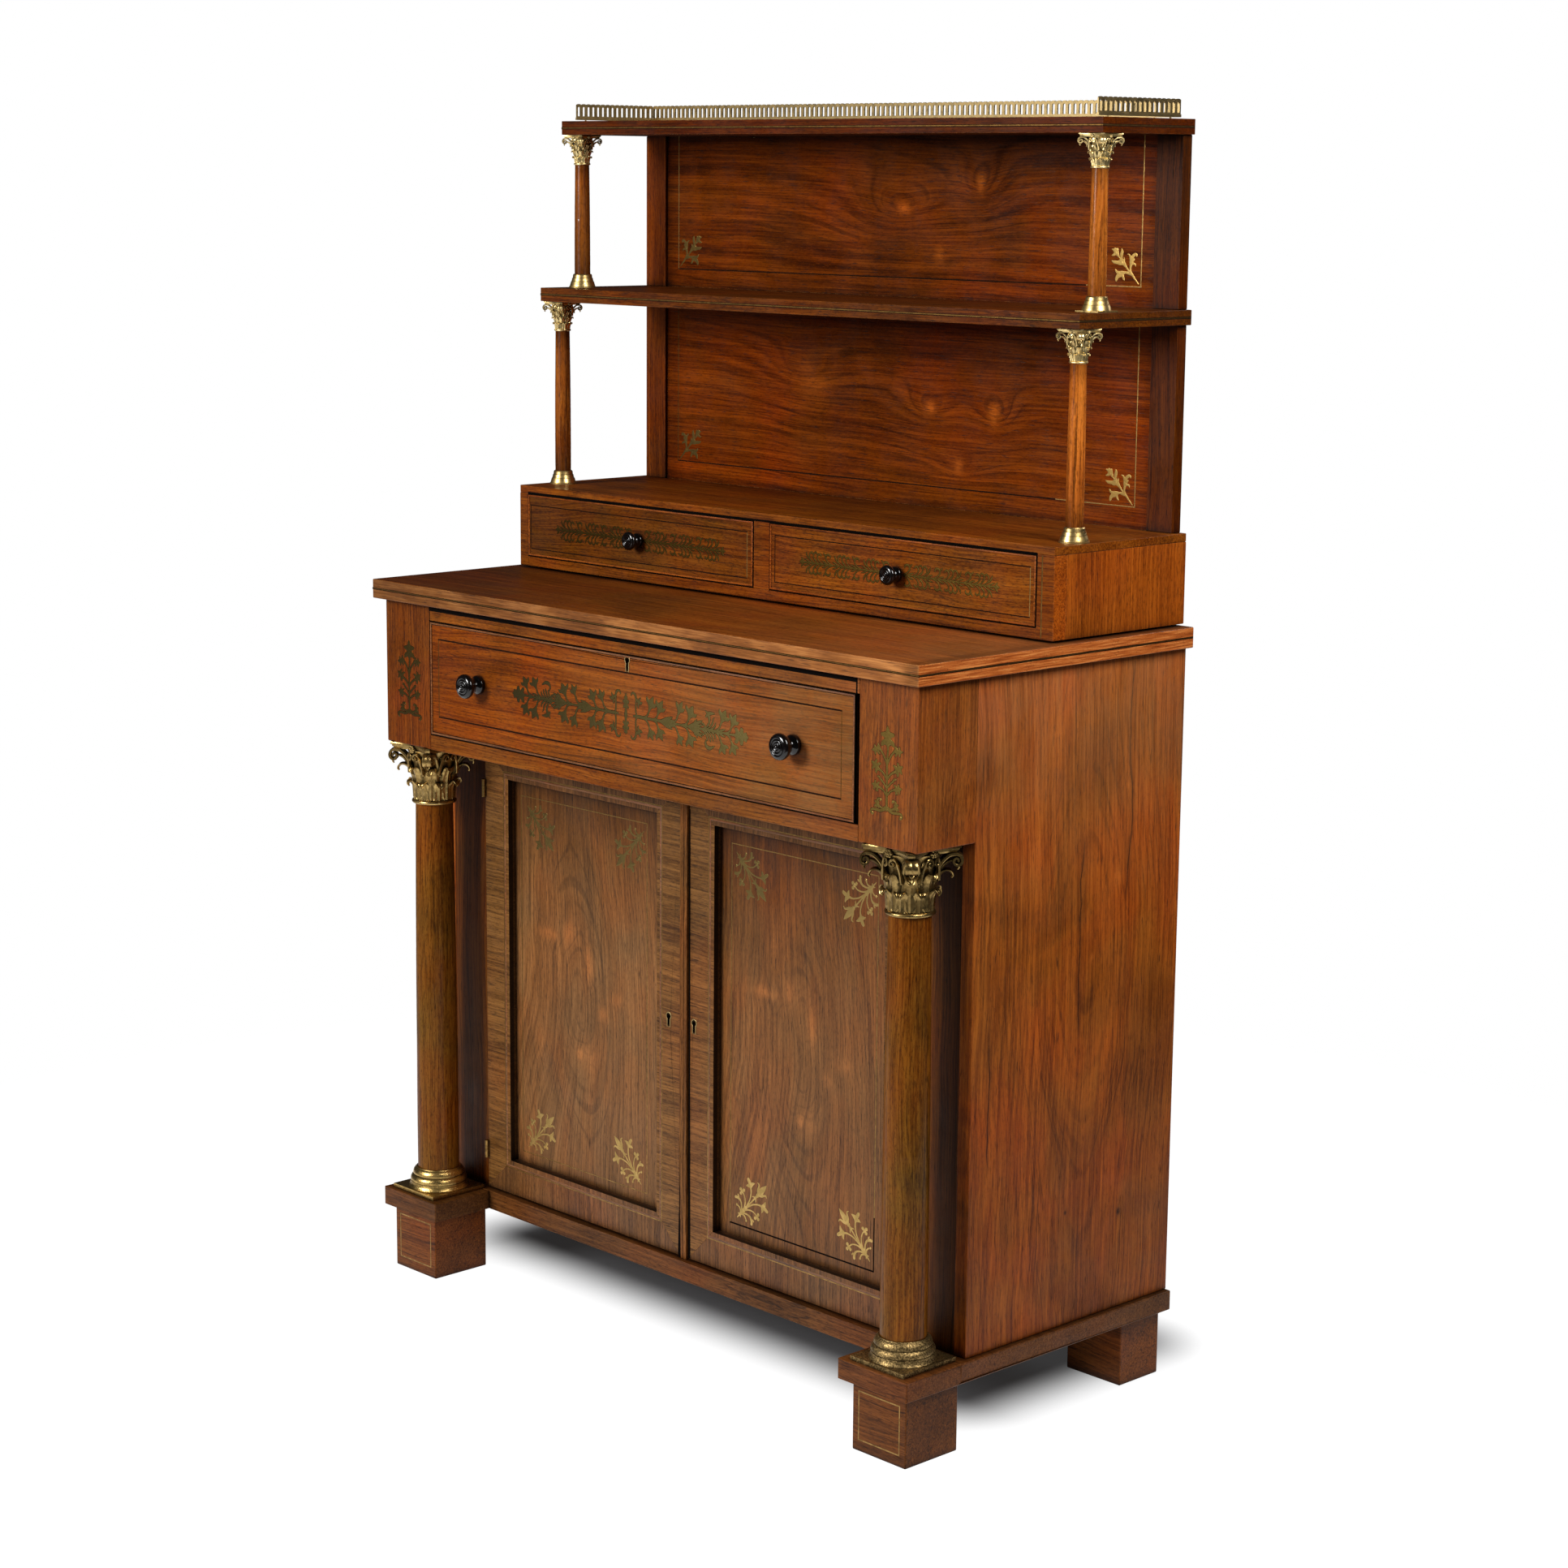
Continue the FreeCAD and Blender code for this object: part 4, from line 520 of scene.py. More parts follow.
# painted shade: each back panel darker high up, under the shelf above it
W["back_u"] = wood("rosewood_back_panels", X, Z, Y, "warm", 13.7, vein=0.6, wander=0.3, lines=0.50, rough=(0.24, 0.36),
                   thread=640.0, broad=0.6, mids=0.30, gain=(0.62, 0.42, 0.15), blotch=1.1, rings=0.20, fleck=0.8, warm=0.4,
                   figure=whorls(((0.016, 1.312, 0.100, 0.040, 0.075), (0.140, 1.345, 0.034, 0.034, 0.055),
                                  (0.063, 1.085, 0.060, 0.032, 0.055), (0.165, 1.083, 0.040, 0.030, 0.050),
                                  (-0.150, 1.120, 0.070, 0.034, 0.045), (0.110, 1.020, 0.040, 0.016, 0.03)), 0.03),
                   fade=(Z, ((0.97, 1.12), (1.10, 1.04), (1.19, 0.80), (1.22, 0.95), (1.30, 0.96), (1.40, 0.72))),
                   glow=((1.314, 0.016, 0.006, 0.010, 0.9), (1.345, 0.138, 0.011, 0.006, 0.8), (1.262, 0.075, 0.010, 0.008, 0.5),
                         (1.085, 0.063, 0.007, 0.009, 0.8), (1.083, 0.165, 0.013, 0.009, 0.8), (1.02, 0.11, 0.008, 0.008, 0.6),
                         (1.10, -0.13, 0.02, 0.03, 0.35)), glow_tone=(196, 100, 28))
# painted shade: the colonnettes darker at their ends, by the capitals and bases, and the left ones darker
W["post"] = wood("rosewood_turned", Z, X, Y, "warm", 15.9, vein=1.2, wander=0.9, coat=0.45, rough=(0.22, 0.36), wax_and_shade=0,
                 gain=(1.85, 1.80, 2.2), blotch=1.4, broad=1.2,
                 fade=((Z, ((0.985, 0.30), (1.02, 0.80), (1.08, 1.0), (1.135, 0.85), (1.16, 0.35), (1.22, 0.28), (1.26, 0.62),
                            (1.34, 0.70), (1.365, 0.28))), (X, ((-0.40, 0.58), (0.40, 1.0)))))
W["column"] = wood("rosewood_column", Z, X, Y, "warm", 17.0, vein=0.9, wander=1.4, coat=0.10, rough=(0.30, 0.44), wax_and_shade=0,
                   gain=(0.49, 0.69, 0.82), blotch=1.6, broad=0.9, fleck=1.0, warm=0.6, spec=0.05)
W["platform"] = wood("rosewood_platform", X, Y, Z, "grey", 18.1, vein=1.2, gain=(0.55, 0.49, 0.40))
W["foot"] = wood("rosewood_foot", X, Z, Y, "grey", 19.2, vein=1.5, broad=1.4, gain=(0.66, 0.50, 0.30), wander=1.5)
# painted light: the back stiles lighter to the left, darker to the right
W["frame_v"] = wood("rosewood_frame_stile", Z, X, Y, "warm", 20.3, vein=0.9, gain=(0.42, 0.31, 0.06),
                    fade=(X, ((-0.44, 1.5), (-0.38, 1.5), (0.38, 0.62), (0.44, 0.62))))
# painted highlight: the drawer bead made paler and greyer, as its rounded top catches the light
W["bead"] = wood("rosewood_bead", X, Z, Y, "grey", 21.4, vein=0.6, wander=0.3, wax_and_shade_reach=0.003, wax_and_shade=0.4, spec=0.20,
                 gain=(1.18, 1.16, 1.5), rough=(0.40, 0.54))
W["bead_small"] = wood("rosewood_small_bead", X, Z, Y, "warm", 21.9, vein=0.6, wander=0.3, wax_and_shade_reach=0.004, spec=0.10,
                       gain=(1.05, 0.95, 1.2), rough=(0.40, 0.54))
W["mould"] = wood("rosewood_moulding", X, Z, Y, "grey", 22.4, vein=0.6, wander=0.3, wax_and_shade_reach=0.004, spec=0.4,
                  gain=(1.0, 1.0, 1.1))


def plain_wood(name, g, c, d, seed):
    """Unpolished carcase timber: pine and mahogany linings, dusty."""
    n = Net(name)
    G = n.add(n.dot(n.coord, g), seed)
    C = n.add(n.dot(n.coord, c), seed)
    D = n.dot(n.coord, d)
    w = n.noise(n.vec(n.mul(G, 2.0), n.mul(C, 5.0), n.mul(D, 5.0)), 1.0, 2.0, 0.5)
    F = n.add(C, n.mul(n.sub(w, 0.5), 0.05))
    s1 = n.noise(n.vec(n.mul(F, 60.0), n.mul(G, 1.4), n.mul(D, 60.0)), 1.0, 3.0, 0.6)
    s2 = n.noise(n.vec(n.mul(F, 420.0), n.mul(G, 9.0), n.mul(D, 420.0)), 1.0, 2.0, 0.6)
    b = n.add(n.mul(s1, 0.6), n.mul(s2, 0.4))
    col = n.ramp(b, [(0.30, srgb(74, 44, 24)), (0.5, srgb(124, 84, 50)), (0.68, srgb(156, 112, 70))])
    dust = n.noise(n.coord, 9.0, 4.0, 0.6)
    col = n.mix(n.step(dust, 0.4, 0.7, 0.0, 0.35), col, srgb(60, 44, 34))
    # painted shade: darker in the hollows, by ambient occlusion
    occ = n.ao(0.02)
    col = n.mix(n.step(occ, 0.3, 0.9, 0.7, 0.0), col, srgb(24, 15, 9))
    nb = n.bump(n.sub(s2, n.mul(s1, 0.5)), 0.4, 0.0003)
    return n.set(Base_Color=col, Roughness=n.step(dust, 0.3, 0.7, 0.62, 0.8), Normal=nb, IOR=1.45)


W["plain_v"] = plain_wood("secondary_wood_upright", Z, X, Y, 0.3)
W["plain_h"] = plain_wood("secondary_wood_level", X, Y, Z, 1.7)
W["plain_y"] = plain_wood("secondary_wood_deep", Y, X, Z, 2.9)


# -------------------------------------------------------------------- metals
def brass(name, light, shade, rough=(0.22, 0.38), tarnish=0.5, pit=0.15, hollow=0.0, scale=60.0,
          dist=0.006, across=None, spray=False):
    """Old brass: golden on the worn high places, olive brown where it is
    tarnished, darkest in the hollows."""
    n = Net(name)
    a = n.noise(n.coord, scale, 4.0, 0.62, 0.5)
    b = n.noise(n.coord, scale * 7.0, 3.0, 0.6)
    col = n.mix(n.step(a, 0.36, 0.66, 0.0, tarnish), light, shade)
    col = n.mix(n.step(b, 0.55, 0.74, 0.0, 0.45 * tarnish), col, srgb(58, 46, 22))
    ro = n.step(a, 0.35, 0.68, rough[0], rough[1])
    if hollow:
        occ = n.ao(dist, 8)
        col = n.mix(n.step(occ, 0.25, 0.88, hollow, 0.0), col, srgb(30, 24, 12))
        ro = n.add(ro, n.step(occ, 0.3, 0.9, 0.25, 0.0))
    if across:
        # painted light: the metal's brightness runs from f0 to f1 along x, so one side is darker
        x0, x1, f0, f1 = across
        col = n.mix(1.0, col, n.step(n.dot(n.coord, X), x0, x1, f0, f1, smooth=False), "MULTIPLY")
    if spray:
        # the upper sprays are dark, but for the one beside the right column
        dark = n.mul(n.step(n.dot(n.coord, Z), 0.36, 0.50), n.step(n.dot(n.coord, X), 0.15, 0.24, 1.0, 0.25))
        col = n.mix(n.mul(dark, 0.60), col, srgb(66, 60, 30))
    nb = n.bump(b, pit, 0.0002)
    nb = n.bump(a, pit * 0.6, 0.0008, nb)
    return n.set(Base_Color=col, Roughness=ro, Metallic=1.0, Normal=nb)


M = {}
# across paints light: the inlays darker to the left, the capitals darker to the right
M["inlay"] = brass("brass_inlay", srgb(196, 162, 98), srgb(146, 120, 66), (0.34, 0.48), 0.6, 0.10, 0.0, 90.0, 0.001, spray=True)
M["inlay_back"] = brass("brass_inlay_back", srgb(186, 150, 84), srgb(134, 104, 52), (0.36, 0.50), 0.7, 0.10, 0.0, 120.0, 0.001,
                        across=(-0.38, 0.38, 0.42, 1.0))
M["inlay_dark"] = brass("brass_inlay_tarnished", srgb(150, 130, 76), srgb(110, 96, 50), (0.44, 0.58), 0.7, 0.10, 0.0, 160.0,
                        across=(-0.19, 0.19, 0.22, 0.70))
M["inlay_faint"] = brass("brass_inlay_faint", srgb(112, 88, 38), srgb(82, 64, 26), (0.50, 0.64), 0.7, 0.10, 0.0, 160.0,
                         across=(-0.40, 0.36, 0.30, 0.80))
M["inlay_mid"] = brass("brass_inlay_dulled", srgb(138, 112, 54), srgb(86, 70, 30), (0.38, 0.52), 0.7, 0.10, 0.0, 160.0,
                       across=(-0.42, 0.42, 0.40, 0.95))
M["band"] = brass("brass_band_tarnished", srgb(122, 90, 46), srgb(74, 52, 24), (0.42, 0.56), 0.8, 0.10, 0.0, 120.0)
M["string_dull"] = brass("brass_stringing_dulled", srgb(112, 76, 34), srgb(60, 40, 18), (0.44, 0.58), 0.8, 0.10, 0.0, 160.0)
M["string"] = brass("brass_stringing", srgb(158, 124, 72), srgb(96, 72, 38), (0.36, 0.52), 0.7, 0.10, 0.0, 140.0)
M["gilt"] = brass("antique_gilt", srgb(206, 172, 108), srgb(140, 112, 62), (0.26, 0.42), 0.7, 0.26, 0.96, 150.0, 0.009,
                  across=(-0.41, 0.41, 0.86, 0.60))
M["gilt_small"] = brass("pale_gilt", srgb(254, 228, 162), srgb(220, 184, 116), (0.30, 0.44), 0.5, 0.16, 0.92, 200.0, 0.005)
M["turned"] = brass("turned_brass", srgb(214, 182, 118), srgb(150, 122, 68), (0.30, 0.44), 0.6, 0.08, 0.8, 70.0, 0.005)
M["gallery"] = brass("gallery_brass", srgb(206, 178, 124), srgb(140, 116, 70), (0.30, 0.46), 0.6, 0.12, 0.5, 160.0, 0.003)
M["keyhole_deep"] = brass("keyhole_shadowed_brass", srgb(44, 32, 16), srgb(22, 15, 8), (0.60, 0.75), 0.7, 0.10, 0.0, 160.0)
M["keyhole"] = brass("keyhole_brass", srgb(176, 150, 102), srgb(120, 98, 60), (0.45, 0.60), 0.5, 0.10, 0.0, 160.0)
M["hinge"] = brass("hinge_brass", srgb(166, 130, 74), srgb(100, 78, 42), (0.30, 0.46), 0.7, 0.15, 0.5, 200.0, 0.002)


def column_base_brass():
    """The left base is polished; the right one has lost most of its lacquer
    and is dark, with bright specks on the high places."""
    n = Net("column_base_brass")
    x, y, z = n.xyz(n.coord)
    a = n.noise(n.coord, 140.0, 4.0, 0.65, 0.5)
    b = n.noise(n.coord, 620.0, 3.0, 0.65)
    t = n.step(x, -0.05, 0.05)
    clean = n.mix(n.step(a, 0.40, 0.68, 0.0, 0.6), srgb(200, 166, 100), srgb(140, 112, 60))
    worn = n.mix(n.step(b, 0.40, 0.62), srgb(84, 68, 42), srgb(178, 148, 96))
    worn = n.mix(n.step(a, 0.45, 0.62, 0.0, 0.6), worn, srgb(76, 62, 38))
    col = n.mix(t, clean, worn)
    occ = n.ao(0.005, 8)
    col = n.mix(n.step(occ, 0.25, 0.88, 0.85, 0.0), col, srgb(24, 19, 10))
    ro = n.add(n.step(a, 0.35, 0.68, 0.26, 0.38), n.mul(t, 0.18))
    nb = n.bump(b, 0.42, 0.0005)
    nb = n.bump(a, 0.10, 0.0008, nb)
    return n.set(Base_Color=col, Roughness=ro, Metallic=1.0, Normal=nb)


M["column_base"] = column_base_brass()


def iron():
    n = Net("lock_iron")
    a = n.noise(n.coord, 90.0, 4.0, 0.65)
    col = n.mix(n.step(a, 0.4, 0.66), srgb(74, 70, 66), srgb(92, 58, 38))
    return n.set(Base_Color=col, Roughness=n.step(a, 0.35, 0.7, 0.38, 0.62), Metallic=1.0,
                 Normal=n.bump(a, 0.3, 0.0003))


def ebony():
    n = Net("ebony")
    G = n.dot(n.coord, Y)
    x, y, z = n.xyz(n.coord)
    s = n.noise(n.vec(n.mul(x, 700.0), n.mul(G, 30.0), n.mul(z, 700.0)), 1.0, 2.0, 0.6)
    a = n.noise(n.coord, 120.0, 3.0, 0.6)
    col = n.ramp(s, [(0.35, srgb(4, 3, 3)), (0.62, srgb(12, 8, 7)), (0.8, srgb(26, 17, 13))])
    return n.set(Base_Color=col, Roughness=n.step(a, 0.35, 0.7, 0.12, 0.24), IOR=1.5, Specular_IOR_Level=0.30,
                 Coat_Weight=0.45, Coat_Roughness=0.04, Coat_IOR=1.5, Normal=n.bump(s, 0.10, 0.0001))


def dark_line(name, light, deep):
    """Ebonised stringing, and the near-black painted shade of open gaps and joints."""
    n = Net(name)
    s = n.noise(n.coord, 260.0, 3.0, 0.6)
    col = n.mix(n.step(s, 0.35, 0.7), deep, light)
    return n.set(Base_Color=col, Roughness=n.step(s, 0.3, 0.7, 0.78, 0.92), IOR=1.5, Specular_IOR_Level=0.05,
                 Normal=n.bump(s, 0.15, 0.0001))


M["iron"] = iron()
M["ebony"] = ebony()
M["line"] = dark_line("ebonised_line", srgb(42, 22, 10), srgb(20, 10, 5))
# painted shade: near black for the gaps round the drawers, under the table top and at open joints
M["gap"] = dark_line("gap_painted_shade", srgb(9, 4, 2), srgb(4, 2, 1))


# ================================================================ CAD nodes
def dress(node, mat, bevel=0.0007, seg=2):
    o = NODES[node]
    o.data.materials.clear()
    o.data.materials.append(mat)
    if bevel:
        w = o.modifiers.new("weld", "WELD")
        w.merge_threshold = 0.00001
        b = o.modifiers.new("bevel", "BEVEL")
        b.width = bevel
        b.segments = seg
        b.limit_method = "ANGLE"
        b.angle_limit = math.radians(40)
        b.harden_normals = True
        b.use_clamp_overlap = True


dress("feet", W["foot"], 0.0016)
dress("platform", W["platform"], 0.0022, 3)
dress("carcase_sides", W["side"], 0.0008)
dress("front_stiles", W["stile"], 0.0008)
dress("centre_muntin", W["muntin"], 0.0005)
dress("carcase_back", W["plain_v"], 0.0008)
dress("cupboard_shelf", W["plain_h"], 0.0008)
dress("shelf_bearers", W["plain_y"], 0.0008)
dress("dustboard", W["plain_h"], 0.0006)
dress("frieze_blocks", W["block"], 0.0014)
dress("frieze_rails", W["rail"], 0.0008)
dress("drawer_runners", W["plain_y"], 0.0006)
dress("table_top", W["top"], 0.0013, 3)
dress("column_bases", M["column_base"], 0)
dress("column_shafts", W["column"], 0)
dress("column_capitals", M["gilt"], 0)
dress("hinge_fixed_leaves", M["hinge"], 0)
dress("hinge_pins", M["hinge"], 0)
dress("upper_case_front_frame", W["case"], 0.0007)
dress("upper_case_sides", W["box"], 0.0010)
dress("upper_case_top", W["boxtop"], 0.0008)
dress("upper_case_bottom", W["plain_h"], 0.0006)
dress("upper_case_divider", W["plain_y"], 0.0006)
dress("upper_case_back", W["plain_h"], 0.0006)
dress("middle_shelf", W["shelf"], 0.0010)
dress("top_shelf", W["shelf_top"], 0.0010)
dress("back_stiles", W["frame_v"], 0.0008)
dress("back_panels", W["back_u"], 0)
dress("colonnette_bases", M["turned"], 0)
dress("colonnette_shafts", W["post"], 0)
dress("colonnette_capitals", M["gilt_small"], 0)
dress("gallery", M["gallery"], 0)
for s in ("left", "right"):
    dress("door_%s_stiles" % s, W["door_h"], 0.0007)
    dress("door_%s_rails" % s, W["door_v"], 0.0007)
    dress("door_%s_panel" % s, W["panel_" + s[0]], 0.0005)
    dress("door_%s_hinge_leaves" % s, M["hinge"], 0)
    dress("door_%s_lock" % s, M["iron"], 0.0004)
    dress("door_%s_escutcheon" % s, M["keyhole_deep"], 0)
    dress("door_%s_bolt" % s, M["hinge"], 0.0003)
    dress("small_drawer_%s_front" % s, W["small"], 0.0006)
    dress("small_drawer_%s_box" % s, W["plain_y"], 0.0006)
    dress("small_drawer_%s_knob" % s, M["ebony"], 0)
dress("frieze_drawer_front", W["drawer"], 0.0006)
dress("frieze_drawer_sides", W["plain_y"], 0.0006)
dress("frieze_drawer_back", W["plain_h"], 0.0006)
dress("frieze_drawer_bottom", W["plain_h"], 0.0005)
dress("frieze_drawer_knobs", M["ebony"], 0)
dress("frieze_drawer_lock", M["iron"], 0.0004)
dress("frieze_drawer_escutcheon", M["keyhole_deep"], 0)
dress("frieze_drawer_bolt", M["hinge"], 0.0003)


# ============================================================== mesh making
def catmull(pts, n):
    """A smooth run through the points; every number of a point is carried."""
    if n <= 1:
        return [tuple(p) for p in pts]
    P = [pts[0]] + list(pts) + [pts[-1]]
    out = []
    for i in range(1, len(P) - 2):
        for k in range(n):
            t = k / n
            out.append(tuple(0.5 * (2 * b + (c - a) * t + (2 * a - 5 * b + 4 * c - d) * t * t
                                    + (3 * b - a - 3 * c + d) * t ** 3)
                             for a, b, c, d in zip(P[i - 1], P[i], P[i + 1], P[i + 2])))
    out.append(tuple(pts[-1]))
    return out


class Build:
    """Collects closed shells in millimetres and makes one object of them."""

    def __init__(self):
        self.v, self.f, self.k, self.n = [], [], [], 0

    def add(self, verts, faces, slot=0):
        base = len(self.v)
        self.v.extend(verts)
        self.f.extend([tuple(base + i for i in f) for f in faces])
        self.k.extend([slot] * len(faces))
        self.n += 1

    def make(self, name, body, mats, slot, sharp=38.0, stands_for=None):
        me = bpy.data.meshes.new(name)
        me.from_pydata([(x * MM, y * MM, z * MM) for x, y, z in self.v], [], self.f)
        me.polygons.foreach_set("material_index", self.k)
        me.polygons.foreach_set("use_smooth", [True] * len(self.f))
        bm = bmesh.new()
        bm.from_mesh(me)
        bmesh.ops.recalc_face_normals(bm, faces=bm.faces)
        bm.to_mesh(me)
        bm.free()
        me.set_sharp_from_angle(angle=math.radians(sharp))
        for m in mats:
            me.materials.append(m)
        o = bpy.data.objects.new(name, me)
        bpy.context.scene.collection.objects.link(o)
        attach(o, body)
        if stands_for:
            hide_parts(*stands_for)
        return o


def loft(B, secs, slot=0, ring=False):
    """Joins closed sections one after another; a ring joins up with itself."""
    n, m = len(secs[0]), len(secs)
    fs = []
    for i in range(m if ring else m - 1):
        j = (i + 1) % m
        for k in range(n):
            q = (k + 1) % n
            fs.append((i * n + k, i * n + q, j * n + q, j * n + k))
    if not ring:
        fs.append(tuple(range(n))[::-1])
        fs.append(tuple((m - 1) * n + k for k in range(n)))
    B.add([p for s in secs for p in s], fs, slot)


def mitred(B, y, rect, prof, slot=0):
    """A strip round a rectangle on a front face; prof is (inset, height)."""
    x0, x1, z0, z1 = rect
    loft(B, [[(x0 + a, y - h, z0 + a) for a, h in prof], [(x1 - a, y - h, z0 + a) for a, h in prof],
             [(x1 - a, y - h, z1 - a) for a, h in prof], [(x0 + a, y - h, z1 - a) for a, h in prof]],
         slot, True)


def lathe(B, ax, ay, prof, seg=48, slot=0):
    loft(B, [[(ax + r * math.cos(2 * math.pi * k / seg), ay + r * math.sin(2 * math.pi * k / seg), z)
              for k in range(seg)] for r, z in prof], slot)


class Lay:
    """Metal let into a front face at depth y: u runs with x, v with z. A Lay
    has its own origin, angle, scale and hand."""

    def __init__(self, b, y, o=(0.0, 0.0), a=0.0, s=1.0, fl=1, slot=0, rim=0.0):
        self.b, self.y, self.o, self.a, self.s, self.fl, self.slot = b, y, o, a, s, fl, slot
        self.rim = rim

    def map(self, s, t):
        s, t = s * self.s, t * self.s * self.fl
        c, d = math.cos(self.a), math.sin(self.a)
        return self.o[0] + s * c - t * d, self.o[1] + s * d + t * c

    def at(self, s, t, a=0.0, scale=1.0, fl=1):
        return Lay(self.b, self.y, self.map(s, t), self.a + self.fl * math.radians(a), self.s * scale,
                   self.fl * fl, self.slot, self.rim)

    def stroke(self, pts, ends="rr", n=4):
        """One engraved strip: (s, t, width) points; r is a round end, p a
        point and s a square one."""
        q = [self.map(p[0], p[1]) + (max(p[2] * self.s, 0.10),) for p in catmull(pts, n)]
        tn = []
        for i in range(len(q)):
            a, b = q[max(i - 1, 0)], q[min(i + 1, len(q) - 1)]
            l = math.hypot(b[0] - a[0], b[1] - a[1]) or 1.0
            tn.append(((b[0] - a[0]) / l, (b[1] - a[1]) / l))
        run = [(u, v, w, t) for (u, v, w), t in zip(q, tn)]
        for e, side in ((ends[0], 0), (ends[1], -1)):
            if e == "r":
                u, v, w, t = run[side]
                k = -0.5 * w if side == 0 else 0.5 * w
                caps = [(u + t[0] * k * math.sin(x), v + t[1] * k * math.sin(x), max(w * math.cos(x), 0.08), t)
                        for x in (0.5, 0.95, 1.3, 1.5)]
                run = caps[::-1] + run if side == 0 else run + caps
        lift = 0.004 * (self.b.n % 11)
        if self.rim:
            # the dark mastic the strip is bedded in shows all round it
            secs = []
            for u, v, w, t in run:
                w += 2 * self.rim
                secs.append([(u - t[1] * x * w / 2, self.y - h, v + t[0] * x * w / 2)
                             for x, h in ((-1, -0.3), (-1, 0.012), (1, 0.012), (1, -0.3))])
            loft(self.b, secs, 1)
        secs = []
        for u, v, w, t in run:
            k = min(w / 2.4, 1.0)
            prof = ((-1, -0.3), (-1, 0.03), (-0.45, 0.03 + 0.12 * k), (0, 0.03 + (0.02 if w > 1.7 else 0.13) * k),
                    (0.45, 0.03 + 0.12 * k), (1, 0.03), (1, -0.3))
            secs.append([(u - t[1] * x * w / 2, self.y - h - (lift if h > 0 else 0), v + t[0] * x * w / 2)
                         for x, h in prof])
        loft(self.b, secs, self.slot)

    def both(self):
        return (self.at(0, 0, 0, 1, 1), self.at(0, 0, 0, 1, -1))

    def dot(self, s, t, r):
        u, v = self.map(s, t)
        r *= self.s
        loft(self.b, [[(u + r * k * math.cos(x * math.pi / 7), self.y - h, v + r * k * math.sin(x * math.pi / 7))
                       for x in range(14)] for k, h in ((1, -0.3), (1, 0.05), (0.75, 0.2), (0.35, 0.3))], self.slot)

    def leaf(self, L, spread=1.0, lobes=3, uneven=0.0):
        """A cut leaf with its root here, along +s; uneven makes one side of
        it narrower and set back."""
        half = {1: TRIDENT, 3: LEAF3, 5: LEAF5}[lobes]
        top = catmull([(a * L, b * L * spread) for a, b in half], 3)
        ring = top + [(a - uneven * b * .5, -b * (1 - uneven)) for a, b in top[-2:0:-1]]
        mid = 0.46 * L
        for k0, slot, prof in ((self.rim, 1, ((1, -0.3), (1, 0.014))),
                               (0.0, self.slot, ((1, -0.3), (1, 0.045), (0.74, 0.13), (0.25, 0.15)))):
            if slot == 1 and not k0:
                continue
            lift = 0.0 if slot == 1 else 0.004 * (self.b.n % 9)
            secs = []
            for k, h in prof:
                sec = []
                for a, b in ring:
                    l = math.hypot(a - mid, b) or 1.0
                    q = (l * k + k0 / self.s) / l
                    u, v = self.map(mid + (a - mid) * q, b * q)
                    sec.append((u, self.y - h - (lift if h > 0 else 0), v))
                secs.append(sec)
            loft(self.b, secs, slot)


TRIDENT = ((0, .06), (.14, .08), (.28, .13), (.38, .20), (.45, .31), (.50, .43), (.58, .51), (.68, .54), (.77, .53), (.73, .43),
           (.69, .33), (.68, .24), (.74, .19), (.86, .12), (1.0, 0))
LEAF3 = ((0, .045), (.10, .06), (.19, .11), (.22, .22), (.16, .35), (.15, .45), (.25, .47), (.37, .38), (.45, .22), (.50, .21),
         (.54, .33), (.58, .44), (.66, .47), (.71, .38), (.73, .22), (.77, .13), (.88, .10), (1.0, 0))
LEAF5 = ((0, .05), (.08, .08), (.12, .20), (.07, .34), (.10, .44), (.22, .44), (.31, .33), (.36, .22), (.40, .30), (.43, .44),
         (.52, .50), (.61, .42), (.64, .28), (.67, .19), (.73, .25), (.82, .27), (.87, .17), (.90, .08), (1.0, 0))


FLAT = ((-1.0, -0.3), (-1.0, 0.04), (-0.4, 0.09), (0.4, 0.09), (1.0, 0.04), (1.0, -0.3))


def string_rect(B, y, x0, x1, z0, z1, w, slot=0):
    """A brass or ebonised line round a rectangle, given by its middle."""
    h = w / 2
    mitred(B, y, (x0 - h, x1 + h, z0 - h, z1 + h), [(h + a * h, b) for a, b in FLAT], slot)


def string_line(B, y, u0, v0, u1, v1, w, slot=0):
    l = math.hypot(u1 - u0, v1 - v0)
    tx, tz = (u1 - u0) / l, (v1 - v0) / l
    loft(B, [[(u - tz * a * w / 2, y - b, v + tx * a * w / 2) for a, b in FLAT] for u, v in ((u0, v0), (u1, v1))], slot)


